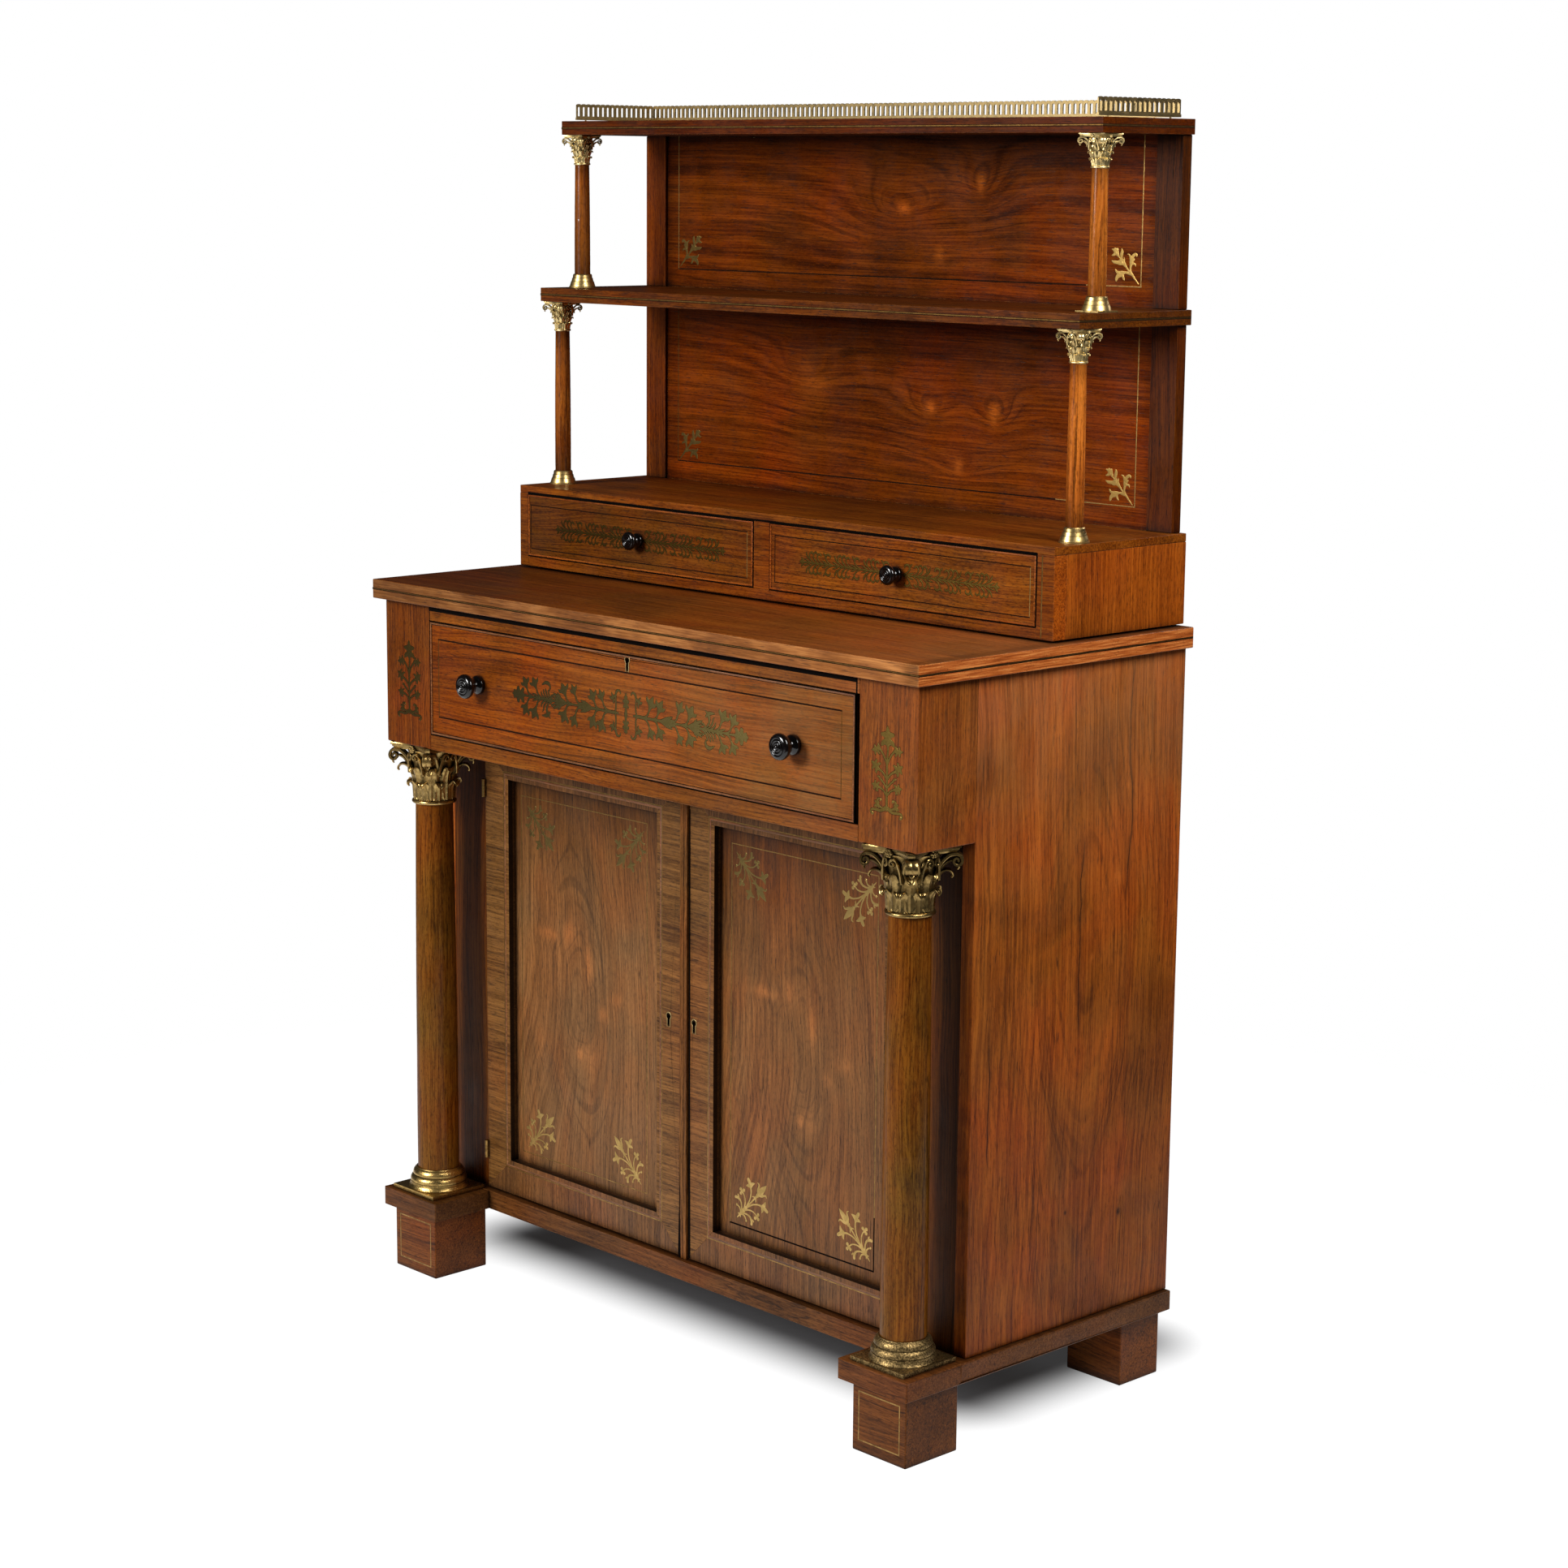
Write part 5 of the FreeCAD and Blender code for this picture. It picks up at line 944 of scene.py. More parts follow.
# =============================================================== the inlays
def door_spray(L):
    """A corner spray: root, two pairs of branches and a tulip."""
    L.stroke([(0, 0, .8), (5, 0, 2.2), (9, 0, 4.4), (13, 0, 5.6), (18, 0, 4.6), (24, 0, 3.2)], "rr")
    L.stroke([(22, 0, 2.6), (34, 0, 1.9), (42, 0, 2.2), (44, 0, 4.4), (46, 0, 2.6), (48.5, 0, 5.0), (51, 0, 3.4)], "rr", 5)
    L.stroke([(50, 0, 4), (55, 0, 8), (61, 0, 7), (66, 0, 4.2), (70.4, 0, .3)], "rp")
    for g in L.both():
        g.stroke([(7, 0, 2), (6.2, 1.6, 1.8), (5.2, 2.8, 1.0)])
        g.stroke([(10.3, 2, 2.2), (11.8, 4.4, 2.0), (12.1, 7.3, 1.8), (10.9, 10.9, 1.6)])
        g.dot(10.5, 11.4, 1.5)
        g.stroke([(12.4, 1.5, 2), (16.8, 6.1, 2), (19.4, 11.7, 2.6), (18, 16.7, 3.4), (15.6, 19.1, 3.6)])
        g.stroke([(18.4, 15, 2.4), (20.6, 17.4, 2.2), (20.8, 19.8, 1.2)], "rp")
        g.stroke([(14, 0, 2.4), (20, 2.2, 2), (25.3, 5.8, 1.7), (29, 11, 1.6), (29.8, 15.5, 1.8)])
        for s, t, r in ((29.7, 21.0, 2.3), (33.3, 17.2, 2.2), (26.5, 17.4, 2.2)):
            g.stroke([(29.8, 17.8, 2.0), ((29.8 + s) / 2, (17.8 + t) / 2, 2.8), (s, t, 2 * r)])
        g.dot(29.8, 17.8, 2.2)
        g.stroke([(22, 0, 2.6), (28, 1.8, 2), (34.4, 3.7, 1.8), (42.4, 8.8, 2), (46.5, 14.5, 3.2)])
        g.stroke([(45.6, 13, 3), (49, 14.8, 5), (52.4, 14.2, 3.4), (55.6, 12.6, .3)], "rp")
        g.stroke([(46.4, 14, 4), (48.2, 18.4, 4.8), (49.2, 22.4, 4.2)])
        g.stroke([(46, 14.6, 4), (43.4, 17.4, 3.6), (40.2, 18.8, .4)], "rp")
        g.stroke([(51, 1, 3), (54.5, 4.2, 3.4), (58, 6, 2.6), (60.5, 8, 2), (60.2, 10.6, 1.2)])
        g.stroke([(43, 0.6, 1.6), (42, 2.8, 1.6), (40, 4.2, .4)], "rp", 3)


def back_spray(L):
    """A corner spray of the panelled back: a forked stem, a leaf to each side
    with a curled tip, and a split leaf with a bud in the middle."""
    L.stroke([(0.0, 0.0, 1.2), (3.7, -0.2, 1.6), (8.7, -0.2, 2.2), (13.4, -0.5, 3.0), (16.7, -0.2, 3.5)], "rr")
    L.stroke([(14.9, -0.5, 2.8), (18.0, -1.4, 2.8), (20.2, -3.2, 2.5), (22.3, -6.1, 3.5), (24.4, -9.0, 5.2), (26.4, -11.0, 4.9),
              (28.4, -12.0, 4.2)], "rr")
    L.stroke([(27.6, -10.7, 3.5), (30.5, -11.9, 2.5), (32.9, -12.0, 1.7), (34.6, -10.7, 0.6)], "rp")
    L.stroke([(26.6, -11.7, 4.2), (27.4, -15.4, 3.9), (26.6, -18.7, 3.2), (24.9, -19.9, 2.4), (23.7, -18.7, 1.5)], "rr")
    L.stroke([(24.2, -11.2, 3.5), (23.9, -13.4, 2.5), (23.9, -14.9, 0.7)], "rp")
    L.stroke([(22.7, -8.7, 3.5), (20.7, -10.2, 2.5), (18.7, -11.2, 2.1), (17.1, -10.5, 1.3)], "rr")
    L.stroke([(17.2, 0.2, 2.8), (21.2, 0.2, 2.0), (24.9, 0.0, 2.4), (29.1, -0.2, 4.2), (32.4, 0.0, 6.3), (34.9, 0.5, 7.0)], "rr")
    L.stroke([(32.1, -1.2, 2.8), (33.6, -3.7, 1.7), (35.6, -5.2, 0.6)], "rp")
    L.stroke([(35.4, 0.0, 4.2), (38.1, -2.2, 3.5), (40.3, -5.0, 4.4), (42.2, -7.6, 3.7), (44.8, -9.0, 0.8)], "rp")
    L.stroke([(34.9, 1.5, 5.6), (36.8, 4.5, 4.2), (39.3, 7.0, 3.8), (42.1, 9.2, 3.2), (45.3, 10.5, 0.7)], "rp")
    L.stroke([(32.9, 1.5, 4.2), (33.9, 4.5, 2.1), (35.8, 6.6, 0.6)], "rp")
    L.stroke([(36.8, 0.0, 1.5), (39.8, 0.0, 1.2), (42.1, -0.2, 1.6)], "rr")
    L.stroke([(40.6, 0.2, 1.5), (43.8, -0.5, 4.2), (47.1, -1.2, 6.3), (49.8, -1.0, 5.6)], "rr")
    L.stroke([(49.0, -0.7, 4.2), (51.8, 0.5, 2.5), (54.1, 1.6, 0.8)], "rp")
    L.stroke([(46.8, 0.5, 4.2), (47.6, 3.7, 3.1), (48.8, 6.0, 1.4)], "rr")
    L.stroke([(47.3, -2.0, 3.5), (48.3, -4.0, 2.8), (49.0, -4.7, 1.0)], "rr")
    L.stroke([(15.9, 0.5, 3.5), (18.9, 2.5, 3.1), (22.2, 5.2, 2.5), (23.9, 8.5, 4.2), (25.4, 12.0, 5.6), (26.6, 14.7, 4.9),
              (26.4, 17.9, 4.2), (24.9, 20.4, 2.8), (23.8, 21.1, 0.7)], "rp")
    L.stroke([(27.4, 12.0, 3.5), (30.9, 13.4, 2.8), (33.6, 13.2, 2.0), (34.6, 12.7, 0.8)], "rp")
    L.stroke([(22.4, 10.0, 3.5), (19.9, 11.0, 2.8), (17.4, 11.5, 2.0), (17.2, 12.2, 0.7)], "rp")
    L.stroke([(22.0, 4.4, 1.4), (26.3, 8.1, 1.7), (29.6, 11.7, 1.7), (31.9, 13.4, 1.1)], "rr")


def bough(L, d0, d1, t1, size, ang, lobes=3, spread=1.0, stalk=1.7):
    """A stalk that leaves the stem forwards, turns away and ends in a leaf."""
    a = math.radians(ang)
    rd, rt = d1 - 0.55 * size * math.cos(a), t1 - 0.55 * size * math.sin(a)
    L.stroke([(d0, 0, stalk + .4), (d0 + (rd - d0) * .5, rt * .2, stalk), (d0 + (rd - d0) * .88, rt * .62, stalk),
              (rd, rt, stalk + .2)], "rr", 3)
    L.at(rd - .1 * size * math.cos(a), rt - .1 * size * math.sin(a), ang).leaf(size * 1.08, spread, lobes)


def sprig(L, d0, root, tip, kind=1, spread=1.0, stalk=1.9, uneven=0.0):
    """A stalk that leaves the stem forwards and turns out into a leaf that
    runs from root to tip."""
    (rd, rt), (td, tt) = root, tip
    a = math.degrees(math.atan2(tt - rt, td - rd))
    size = math.hypot(td - rd, tt - rt)
    c = math.cos(math.radians(a)), math.sin(math.radians(a))
    L.stroke([(d0, 0, stalk + .5), (d0 + (rd - d0) * .52, rt * .22, stalk), (d0 + (rd - d0) * .88, rt * .66, stalk - .1),
              (rd + c[0] * 1.5, rt + c[1] * 1.5, stalk)], "rr", 3)
    L.at(rd, rt, a).leaf(size, spread, kind, uneven)


def frieze_half(L):
    L.stroke([(13, 0, 1.8), (22, .1, 3.6), (30, .2, 3.0), (46, 0, 2.6), (62, 0, 3.4), (76, 0, 3.8), (90, 0, 2.0), (112, 0, 3.2),
              (130, 0, 2.6), (150, .2, 3.2), (168, 0, 2.0), (186, 0, 3.2)], "rr", 6)
    L.at(178, 0).leaf(24, .80, 5)
    for k, g in enumerate(L.both()):
        # the bracket next to the middle
        g.stroke([(9.0, 22.8, 1.3), (10.4, 25.4, 1.8), (13.6, 25.8, 2.4), (16.4, 23.4, 2.8), (17.4, 18, 2.2), (17.0, 11, 1.9),
                  (17.0, 5, 1.9), (18.6, 1.2, 2.0), (22, 0, 2.2)])
        g.stroke([(16.8, 19.6, 2.2), (19.4, 18.6, 3.0), (22.4, 16.4, 4.0), (25.6, 15.8, 2.8), (28.0, 17.4, .5)], "rp")
        g.stroke([(21.8, 16.4, 3.0), (20.8, 12.8, 2.4), (21.4, 9.8, .5)], "rp", 3)
        g.stroke([(22.4, 16.6, 2.6), (23.4, 20.0, 2.2), (25.0, 22.4, .5)], "rp", 3)
        sprig(g, 27, (38.4, 6.6), (46.4, 26.0 - 2.2 * k), 1, .86 - .14 * k, 2.1, .15)
        sprig(g, 44, (52.6, 4.2), (62.4, 23.6 - 1.8 * k), 1, .84, 2.1, .20)
        g.stroke([(60, .8, 2.2), (66, 2.6, 3.8), (72, 4.4, 4.2), (78.6, 6.8, .5)], "rp")
        g.stroke([(70, 1.4, 2.4), (77, 2.8, 2.6), (83, 3.0, .4)], "rp", 3)
        sprig(g, 75, (86.4, 8.0), (95.0, 26.4 - 3.2 * k), 1, .80, 2.2, .25)
        sprig(g, 94, (103.8, 5.4), (112.4, 23.6 - 1.0 * k), 1, .96, 2.2, .10)
        g.stroke([(106, .8, 2.4), (113, 3.0, 4.0), (120, 5.8, 4.2), (127.4, 9.4, .5)], "rp")
        g.stroke([(113.6, 3.8, 2.2), (115.6, 7.0, 1.9), (119.0, 9.6, .4)], "rp", 3)
        g.stroke([(115, 1.2, 2.0), (122.4, 3.0, 2.4), (130.0, 5.2, .4)], "rp", 3)
        g.stroke([(124.8, 6.4, 1.0), (127.6, 6.6, 1.5), (130.6, 4.8, 1.8), (131.8, 2.2, 1.6)], "rr", 3)
        if k == 0:
            # a curled leaf with a flat head and two thin stalks behind it
            g.stroke([(128.6, .8, 1.8), (134.4, 3.4, 1.9), (138.0, 7.6, 2.3), (138.8, 12.0, 3.2), (137.4, 15.8, 4.2)], "rr")
            g.stroke([(133.2, 14.4, 2.0), (136.4, 17.6, 3.8), (140.8, 19.0, 3.6), (147.6, 19.4, .4)], "rp")
            g.stroke([(137.0, 17.6, 3.0), (134.2, 19.6, 1.6), (132.2, 21.4, .4)], "rp", 3)
            g.stroke([(133.4, .9, 1.5), (139.2, 3.4, 1.6), (143.4, 7.6, 1.9), (144.6, 12.2, 1.5), (146.8, 15.4, .4)], "rp")
            g.stroke([(138.4, .8, 1.5), (144.0, 2.8, 1.7), (147.8, 5.8, 2.0), (149.0, 9.8, .4)], "rp")
            sprig(g, 146, (156.6, 8.4), (165.4, 25.6), 1, .92, 2.1, .0)
        else:
            # a crescent under a comb of thin stalks
            g.stroke([(134.4, 10.6, 1.2), (132.6, 14.8, 2.2), (135.4, 18.8, 3.8), (141.0, 19.2, 3.4), (147.6, 16.2, .4)], "rp")
            for q, (u, v) in enumerate(((136.0, 11.4), (140.6, 12.4), (144.8, 11.0), (148.8, 8.0))):
                r = 127.4 + 4.6 * q
                g.stroke([(r, .8, 1.4), (r + (u - r) * .62, v * .34, 1.6), (u - .4, v * .72, 1.9), (u, v, .9)], "rr", 3)
            g.stroke([(109, 1.0, 1.4), (115.4, 3.8, 1.5), (118.8, 7.4, 1.7), (119.4, 10.8, .4)], "rp", 3)
            sprig(g, 146, (156.4, 8.0), (164.6, 23.4), 1, .88, 2.1, .0)
        sprig(g, 163, (173.0, 5.4), (181.8, 23.4 - 1.2 * k), 1, .84, 2.1, .15)
        g.stroke([(153, .6, 1.8), (159.4, 2.8, 2.2), (165, 4.0, .4)], "rp", 3)


def frieze_middle(L):
    L.stroke([(0, -22, .5), (0, -15, 5.0), (0, -8, 2.6), (0, 0, 4.6), (0, 8, 2.6), (0, 15, 5.0), (0, 24.5, .5)], "pp", 6)
    for g in (L.at(0, 0, 90), L.at(0, 0, -90)):
        g.at(6, 0).leaf(17, .62, 5)


def block_spray(L):
    """The upright spray on a block: s is the height above the scrolled foot
    and t the distance from the middle."""
    L.stroke([(0, 0, 2.2), (9, 0, 2.9), (20, 0, 2.1), (35, 0, 2.3), (50, 0, 2.7), (58, -.6, 1.9), (68, -1.4, 2.2)], "rr", 5)
    L.at(63, -1, 2).leaf(25.5, .82, 3)
    L.at(-2, 0).leaf(8.0, 1.0)
    for k, g in enumerate(L.both()):
        g.stroke([(48, 0, 2.5), (53, 2.6, 2.2), (58.4, 6.2, 2.3), (62.6, 10.4, 2.7)])
        g.at(62.8, 8.8, 99 - 12 * k).leaf(14, .80)
        g.stroke([(62.6, 10.4, 2.4), (66, 12.4, 2.2), (68.8, 13.4, .5)], "rp", 3)
        g.stroke([(32, 0, 2.5), (38.2, 5.2, 2.2), (41.8, 11.6, 2.7)])
        g.at(41.2, 9.8, 60).leaf(15, .92)
        g.stroke([(41.4, 12.4, 2.2), (40, 15, 2.0), (38.4, 17.2, .5)], "rp", 3)
        g.stroke([(23, 0, 2.2), (28.2, 4.9, 2.0), (31.2, 8.8, 2.3), (33.6, 11, 2.2), (33.8, 13.2, 1.5)])
        g.stroke([(15, 0, 2.3), (20.4, 5.2, 2.0), (22.8, 11, 2.4)])
        g.at(22.6, 9.4, 78).leaf(13, .85)
        g.stroke([(22.6, 12, 2.0), (20, 14.8, 2.0), (17.6, 16, .5)], "rp", 3)
        g.stroke([(2.6, .6, 2.4), (1.4, 5, 2.1), (2.2, 9.5, 2.2), (5.5, 12.4, 2.3), (8.8, 12.6, 2.1), (11, 10.8, 1.9),
                  (10.8, 8.8, 1.7)])
        g.dot(9.8, 8.8, 1.5)
        g.at(-1, 14.6, -6).leaf(12.6, .62)
        g.stroke([(2, 0, 2.6), (-.4, 4.5, 2.5), (-1.6, 10, 2.8), (-1.2, 17, 2.6), (-2, 21.6, 2.3), (-4.4, 22.8, 1.8),
                  (-6, 21, 1.3)])
        g.dot(-5.6, 20.4, 2.0)


def small_half(L):
    """Half of the running inlay of a small drawer, from the knob outwards:
    a single curled leaf and a cluster of scrolls by turns."""
    L.stroke([(11, 0, 1.4), (40, .2, 1.9), (90, -.1, 1.7), (147, 0, 2.0)], "rr", 8)
    L.at(143, 0).leaf(12, .8, 1)
    for g in L.both():
        for k in range(3):
            d = 19.0 + 46.0 * k
            g.stroke([(d - 9, .3, 1.3), (d - 3.4, 2.6, 1.5), (d + .4, 6.0, 1.8), (d + .8, 9.6, 2.3), (d - 2.4, 11.8, 2.4),
                      (d - 6.0, 10.6, 1.8), (d - 6.4, 8.2, 1.2)], "rr", 3)
            g.stroke([(d + .6, 9.0, 1.8), (d + 3.4, 11.8, 1.6), (d + 5.0, 13.4, .4)], "rp", 2)
            g.stroke([(d - 2, .6, 1.3), (d + 3.2, 2.6, 2.0), (d + 7.4, 3.6, .4)], "rp", 2)
            e = d + 21.0
            for q, (w, t) in enumerate(((-10.0, 11.4), (-3.6, 12.8), (3.0, 12.4))):
                r = e + w
                g.stroke([(r - 5, .4, 1.2), (r + .6, 2.8, 1.3), (r + 3.4, 6.4, 1.5), (r + 3.0, t - 2.2, 1.7), (r - .2, t, 1.9),
                          (r - 2.6, t - 2.2, 1.4)], "rr", 3)
            g.stroke([(e - 4, 3.6, 1.1), (e - .6, 5.8, 1.6), (e - .2, 9.2, .4)], "rp", 2)
            g.stroke([(e + 3.4, 3.2, 1.1), (e + 8.2, 5.2, 1.9), (e + 10.6, 8.8, 2.0), (e + 11.8, 12.2, .4)], "rp", 2)
            g.stroke([(e + 6.0, 1.0, 1.1), (e + 11.4, 3.0, 1.6), (e + 15.4, 3.6, .4)], "rp", 2)


FD_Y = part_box("frieze_drawer_front")[0].y / MM
SD_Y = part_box("small_drawer_left_front")[0].y / MM
DF_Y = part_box("door_right_stiles")[0].y / MM
DP_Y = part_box("door_right_panel")[0].y / MM
BL_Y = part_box("frieze_blocks")[0].y / MM
BP_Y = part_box("back_panels")[0].y / MM
FT_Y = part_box("feet")[0].y / MM
UC_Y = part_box("upper_case_front_frame")[0].y / MM

B = Build()
L = Lay(B, FD_Y, (-5.5, 756.6), rim=0.40)
frieze_middle(L)
frieze_half(L)
frieze_half(L.at(0, 0, 180))
B.make("frieze_drawer_inlay", "frieze_drawer", [M["inlay_dark"], M["line"]], "brass")

for side, cx in (("left", -221.4), ("right", 213.0)):
    B = Build()
    L = Lay(B, SD_Y, (cx, 919.0), rim=0.30)
    small_half(L)
    small_half(L.at(0, 0, 180))
    B.make("small_drawer_%s_inlay" % side, "small_drawer_" + side, [M["inlay_faint"], M["line"]], "brass")

for side, cx in (("left", -405.0), ("right", 405.0)):
    B = Build()
    block_spray(Lay(B, BL_Y, (cx, 708.5), math.radians(90), rim=0.45))
    B.make("block_%s_inlay" % side, "carcase", [M["inlay_mid"], M["line"]], "brass")

DOOR = {"right": ((67, 301, 160.5, 608), (79, 169), (295, 171), (296.7, 600), (75, 598.5), (40.2, 331.6, 137, 636)),
        "left": ((-311, -79, 159.5, 608), (-300.5, 167), (-89.5, 168.5), (-85, 598), (-299, 597),
                 (-331.6, -40.2, 137, 636))}
for side, (rect, bl, br, tr, tl, outer) in DOOR.items():
    B = Build()
    for (u, v), a in ((bl, 45), (br, 135), (tr, 225), (tl, 315)):
        door_spray(Lay(B, DP_Y, (u, v), math.radians(a), 0.985))
    B.make("door_%s_sprays" % side, "door_" + side, [M["inlay"]], "brass")
    B = Build()
    x0, x1, z0, z1 = rect
    if side == "left":
        string_rect(B, DP_Y, *rect, 1.05)
    else:
        # the lower line and the foot of the right one have lost their brass
        string_line(B, DP_Y, x0 - .5, z1, x1 + .5, z1, 1.05, 0)
        string_line(B, DP_Y, x0, z0, x0, z1, 1.05, 0)
        string_line(B, DP_Y, x1, z0 + 62, x1, z1, 1.05, 0)
        string_line(B, DP_Y, x1, z0, x1, z0 + 62, 1.7, 1)
        string_line(B, DP_Y, x0 - .7, z0, x1 + .7, z0, 1.9, 1)
    string_rect(B, DF_Y, *outer, 1.2)
    ox0, ox1, oz0, oz1 = outer
    mitred(B, DF_Y, (ox0 + 0.95, ox1 - 0.95, oz0 + 0.95, oz1 - 0.95),
           ((0.0, -0.4), (0.0, 0.10), (0.5, 0.40), (1.3, 0.50), (2.1, 0.36), (2.6, 0.05), (2.6, -0.4)), 2)
    B.make("door_%s_stringing" % side, "door_" + side, [M["string"], M["gap"], W["mould"]], "brass")

B = Build()
for z in (1235.5, 993.5):
    for sx in (-1, 1):
        back_spray(Lay(B, BP_Y, (sx * 375.6, z + 1.6), math.radians(135 if sx > 0 else 45), fl=sx))
B.make("back_panel_sprays", "carcase", [M["inlay_back"]], "brass")
B = Build()
for z0, z1 in ((993.0, 1195.0), (1234.0, 1397.5)):
    # most of the level line is blackened; the left upright is dull
    turn = 300.0 if z0 > 1100 else 262.0
    string_line(B, BP_Y, -380, z0, turn, z0, 1.5, 1)
    string_line(B, BP_Y, turn, z0, 380, z0, 1.2)
    string_line(B, BP_Y, -379, z0 - .6, -379, z1, 1.2, 0 if z0 > 1100 else 2)
    string_line(B, BP_Y, 379, z0 - .6, 379, z1, 1.4)
B.make("back_panel_stringing", "carcase", [M["string"], M["line"], M["string_dull"]], "brass")


# ==================================================== beads, bands and lines
BEAD = ((0.9, -2.0), (0.9, 0.45), (1.15, 0.85), (1.65, 1.05), (2.6, 0.98), (3.05, 0.5), (3.1, -2.0))
# painted shade: OPEN and GROOVE are near-black strips, the shade in the gap round a drawer and beside its bead
OPEN = ((0.0, -2.0), (0.0, 0.35), (0.9, 0.35), (0.9, -2.0))


def band(lo, hi):
    """A veneer band between two insets, a hair above the ground."""
    return ((lo, -0.4), (lo, 0.10), (lo + 0.25, 0.16), (hi - 0.25, 0.16), (hi, 0.10), (hi, -0.4))


GROOVE = ((3.05, -0.4), (3.05, 0.02), (3.75, 0.02), (3.75, -0.4))

B = Build()
fx = (-362.5, 358.5, 687.5, 824.3)
mitred(B, FD_Y, fx, BEAD, 0)
mitred(B, FD_Y, fx, GROOVE, 2)
mitred(B, FD_Y, fx, OPEN, 2)
for z in (710.5, 804.0):
    string_line(B, FD_Y, -347.2, z, 338.6, z, 1.8, 3)
string_line(B, FD_Y, -346.5, 711.2, -346.5, 803.2, 1.2, 1)
string_line(B, FD_Y, 338.0, 711.2, 338.0, 803.2, 1.1, 1)
B.make("frieze_drawer_beading", "frieze_drawer", [W["bead"], M["string_dull"], M["gap"], M["line"]], "rosewood")
for side, fx, line in (("left", (-429.3, -18.7, 881.7, 958.8), (-423.5, -29.5, 891.4, 945.4)),
                       ("right", (8.7, 420.3, 881.7, 958.8), (17.6, 411.2, 891.4, 945.4))):
    B = Build()
    mitred(B, SD_Y, fx, BEAD, 0)
    mitred(B, SD_Y, fx, OPEN, 2)
    lx0, lx1, lz0, lz1 = line
    for z in (lz0, lz1):
        string_line(B, SD_Y, lx0 - .6, z, lx1 + .6, z, 1.25, 1)
    string_line(B, SD_Y, lx0, lz0, lx0, lz1, 1.25, 1)
    string_line(B, SD_Y, lx1, lz0 + .7, lx1, lz1 - .7, 1.25, 3)
    B.make("small_drawer_%s_beading" % side, "small_drawer_" + side, [W["bead_small"], M["line"], M["gap"], M["string"]],
           "rosewood")

B = Build()
for x0, x1 in ((367, 447), (-447, -367)):
    string_rect(B, FT_Y, x0 + 9.5, x1 - 9.5, 13.5, 68.5, 1.5)
B.make("feet_stringing", "carcase", [M["string"]], "brass")


def edge_band(B, box, z, w):
    """A tarnished brass line between two ebonised ones, let into the front
    and both ends of a board."""
    (x0, y0), (x1, y1) = box
    for dz, ww, k in ((0.0, w, 0), (w / 2 + 0.3, 0.6, 1), (-w / 2 - 0.45, 0.9, 1)):
        a, b = z + dz - ww / 2, z + dz + ww / 2
        h = 0.05 if k == 0 else 0.03
        p = [(x0 - h, y1), (x0 - h, y0 - h), (x1 + h, y0 - h), (x1 + h, y1)]
        q = [(x0 + 0.3, y1), (x0 + 0.3, y0 + 0.3), (x1 - 0.3, y0 + 0.3), (x1 - 0.3, y1)]
        secs = [[(pu, pv, a), (pu, pv, b), (qu, qv, b), (qu, qv, a)] for (pu, pv), (qu, qv) in zip(p, q)]
        loft(B, secs, k)


B = Build()
for node, z, w in (("table_top", 855.8, 0.9), ("middle_shelf", 1203.4, 1.2), ("top_shelf", 1405.6, 1.2)):
    lo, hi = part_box(node)
    edge_band(B, ((lo.x / MM, lo.y / MM), (hi.x / MM, hi.y / MM - 1.0)), z, w)
string_line(B, UC_Y, 428.0, 871.0, 428.0, 959.0, 1.8)
B.make("edge_lines", "carcase", [M["band"], M["line"]], "brass")


def keyhole(B, y, cx, top, h, k=1.0):
    """A drawn brass lining round a keyhole: a round head and a straight slot."""
    r, w = 3.3 * k, 1.75 * k
    zc = top - r
    out = []
    a0 = math.degrees(math.asin(w / r)) - 90.0
    for i in range(19):
        a = math.radians(a0 + (180.0 - 2 * a0) * i / 18)
        out.append((r * math.cos(a), zc + r * math.sin(a)))
    out += [(-w * 1.05, top - h), (w * 1.05, top - h)]
    m = len(out)
    secs = []
    for i in range(m):
        u, v = out[i]
        p, q = out[i - 1], out[(i + 1) % m]
        tx, tz = q[0] - p[0], q[1] - p[1]
        l = math.hypot(tx, tz)
        nx, nz = tz / l, -tx / l
        secs.append([(cx + u + nx * o, y - d, v + nz * o) for o, d in ((0, -0.3), (0, 0.12), (0.3, 0.26), (0.75, 0.22),
                                                                 (1.15, 0.02), (1.15, -0.3))])
    loft(B, secs, 0, True)


for node, body in (("frieze_drawer_escutcheon", "frieze_drawer"), ("door_left_escutcheon", "door_left"),
                   ("door_right_escutcheon", "door_right")):
    lo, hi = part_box(node)
    B = Build()
    keyhole(B, lo.y / MM, (lo.x + hi.x) / 2 / MM, hi.z / MM + 0.3, (hi.z - lo.z) / MM + 0.9,
            (hi.x - lo.x) / MM / 7.0)
    B.make(body + "_keyhole_lining", body, [M["keyhole"]], "brass")

def shard(B, y, pts, proud=0.06, slot=0):
    """A thin flat sliver on a front face; pts go round it as (x, z)."""
    loft(B, [[(u, y + 0.3, v) for u, v in pts], [(u, y - proud, v) for u, v in pts]], slot)


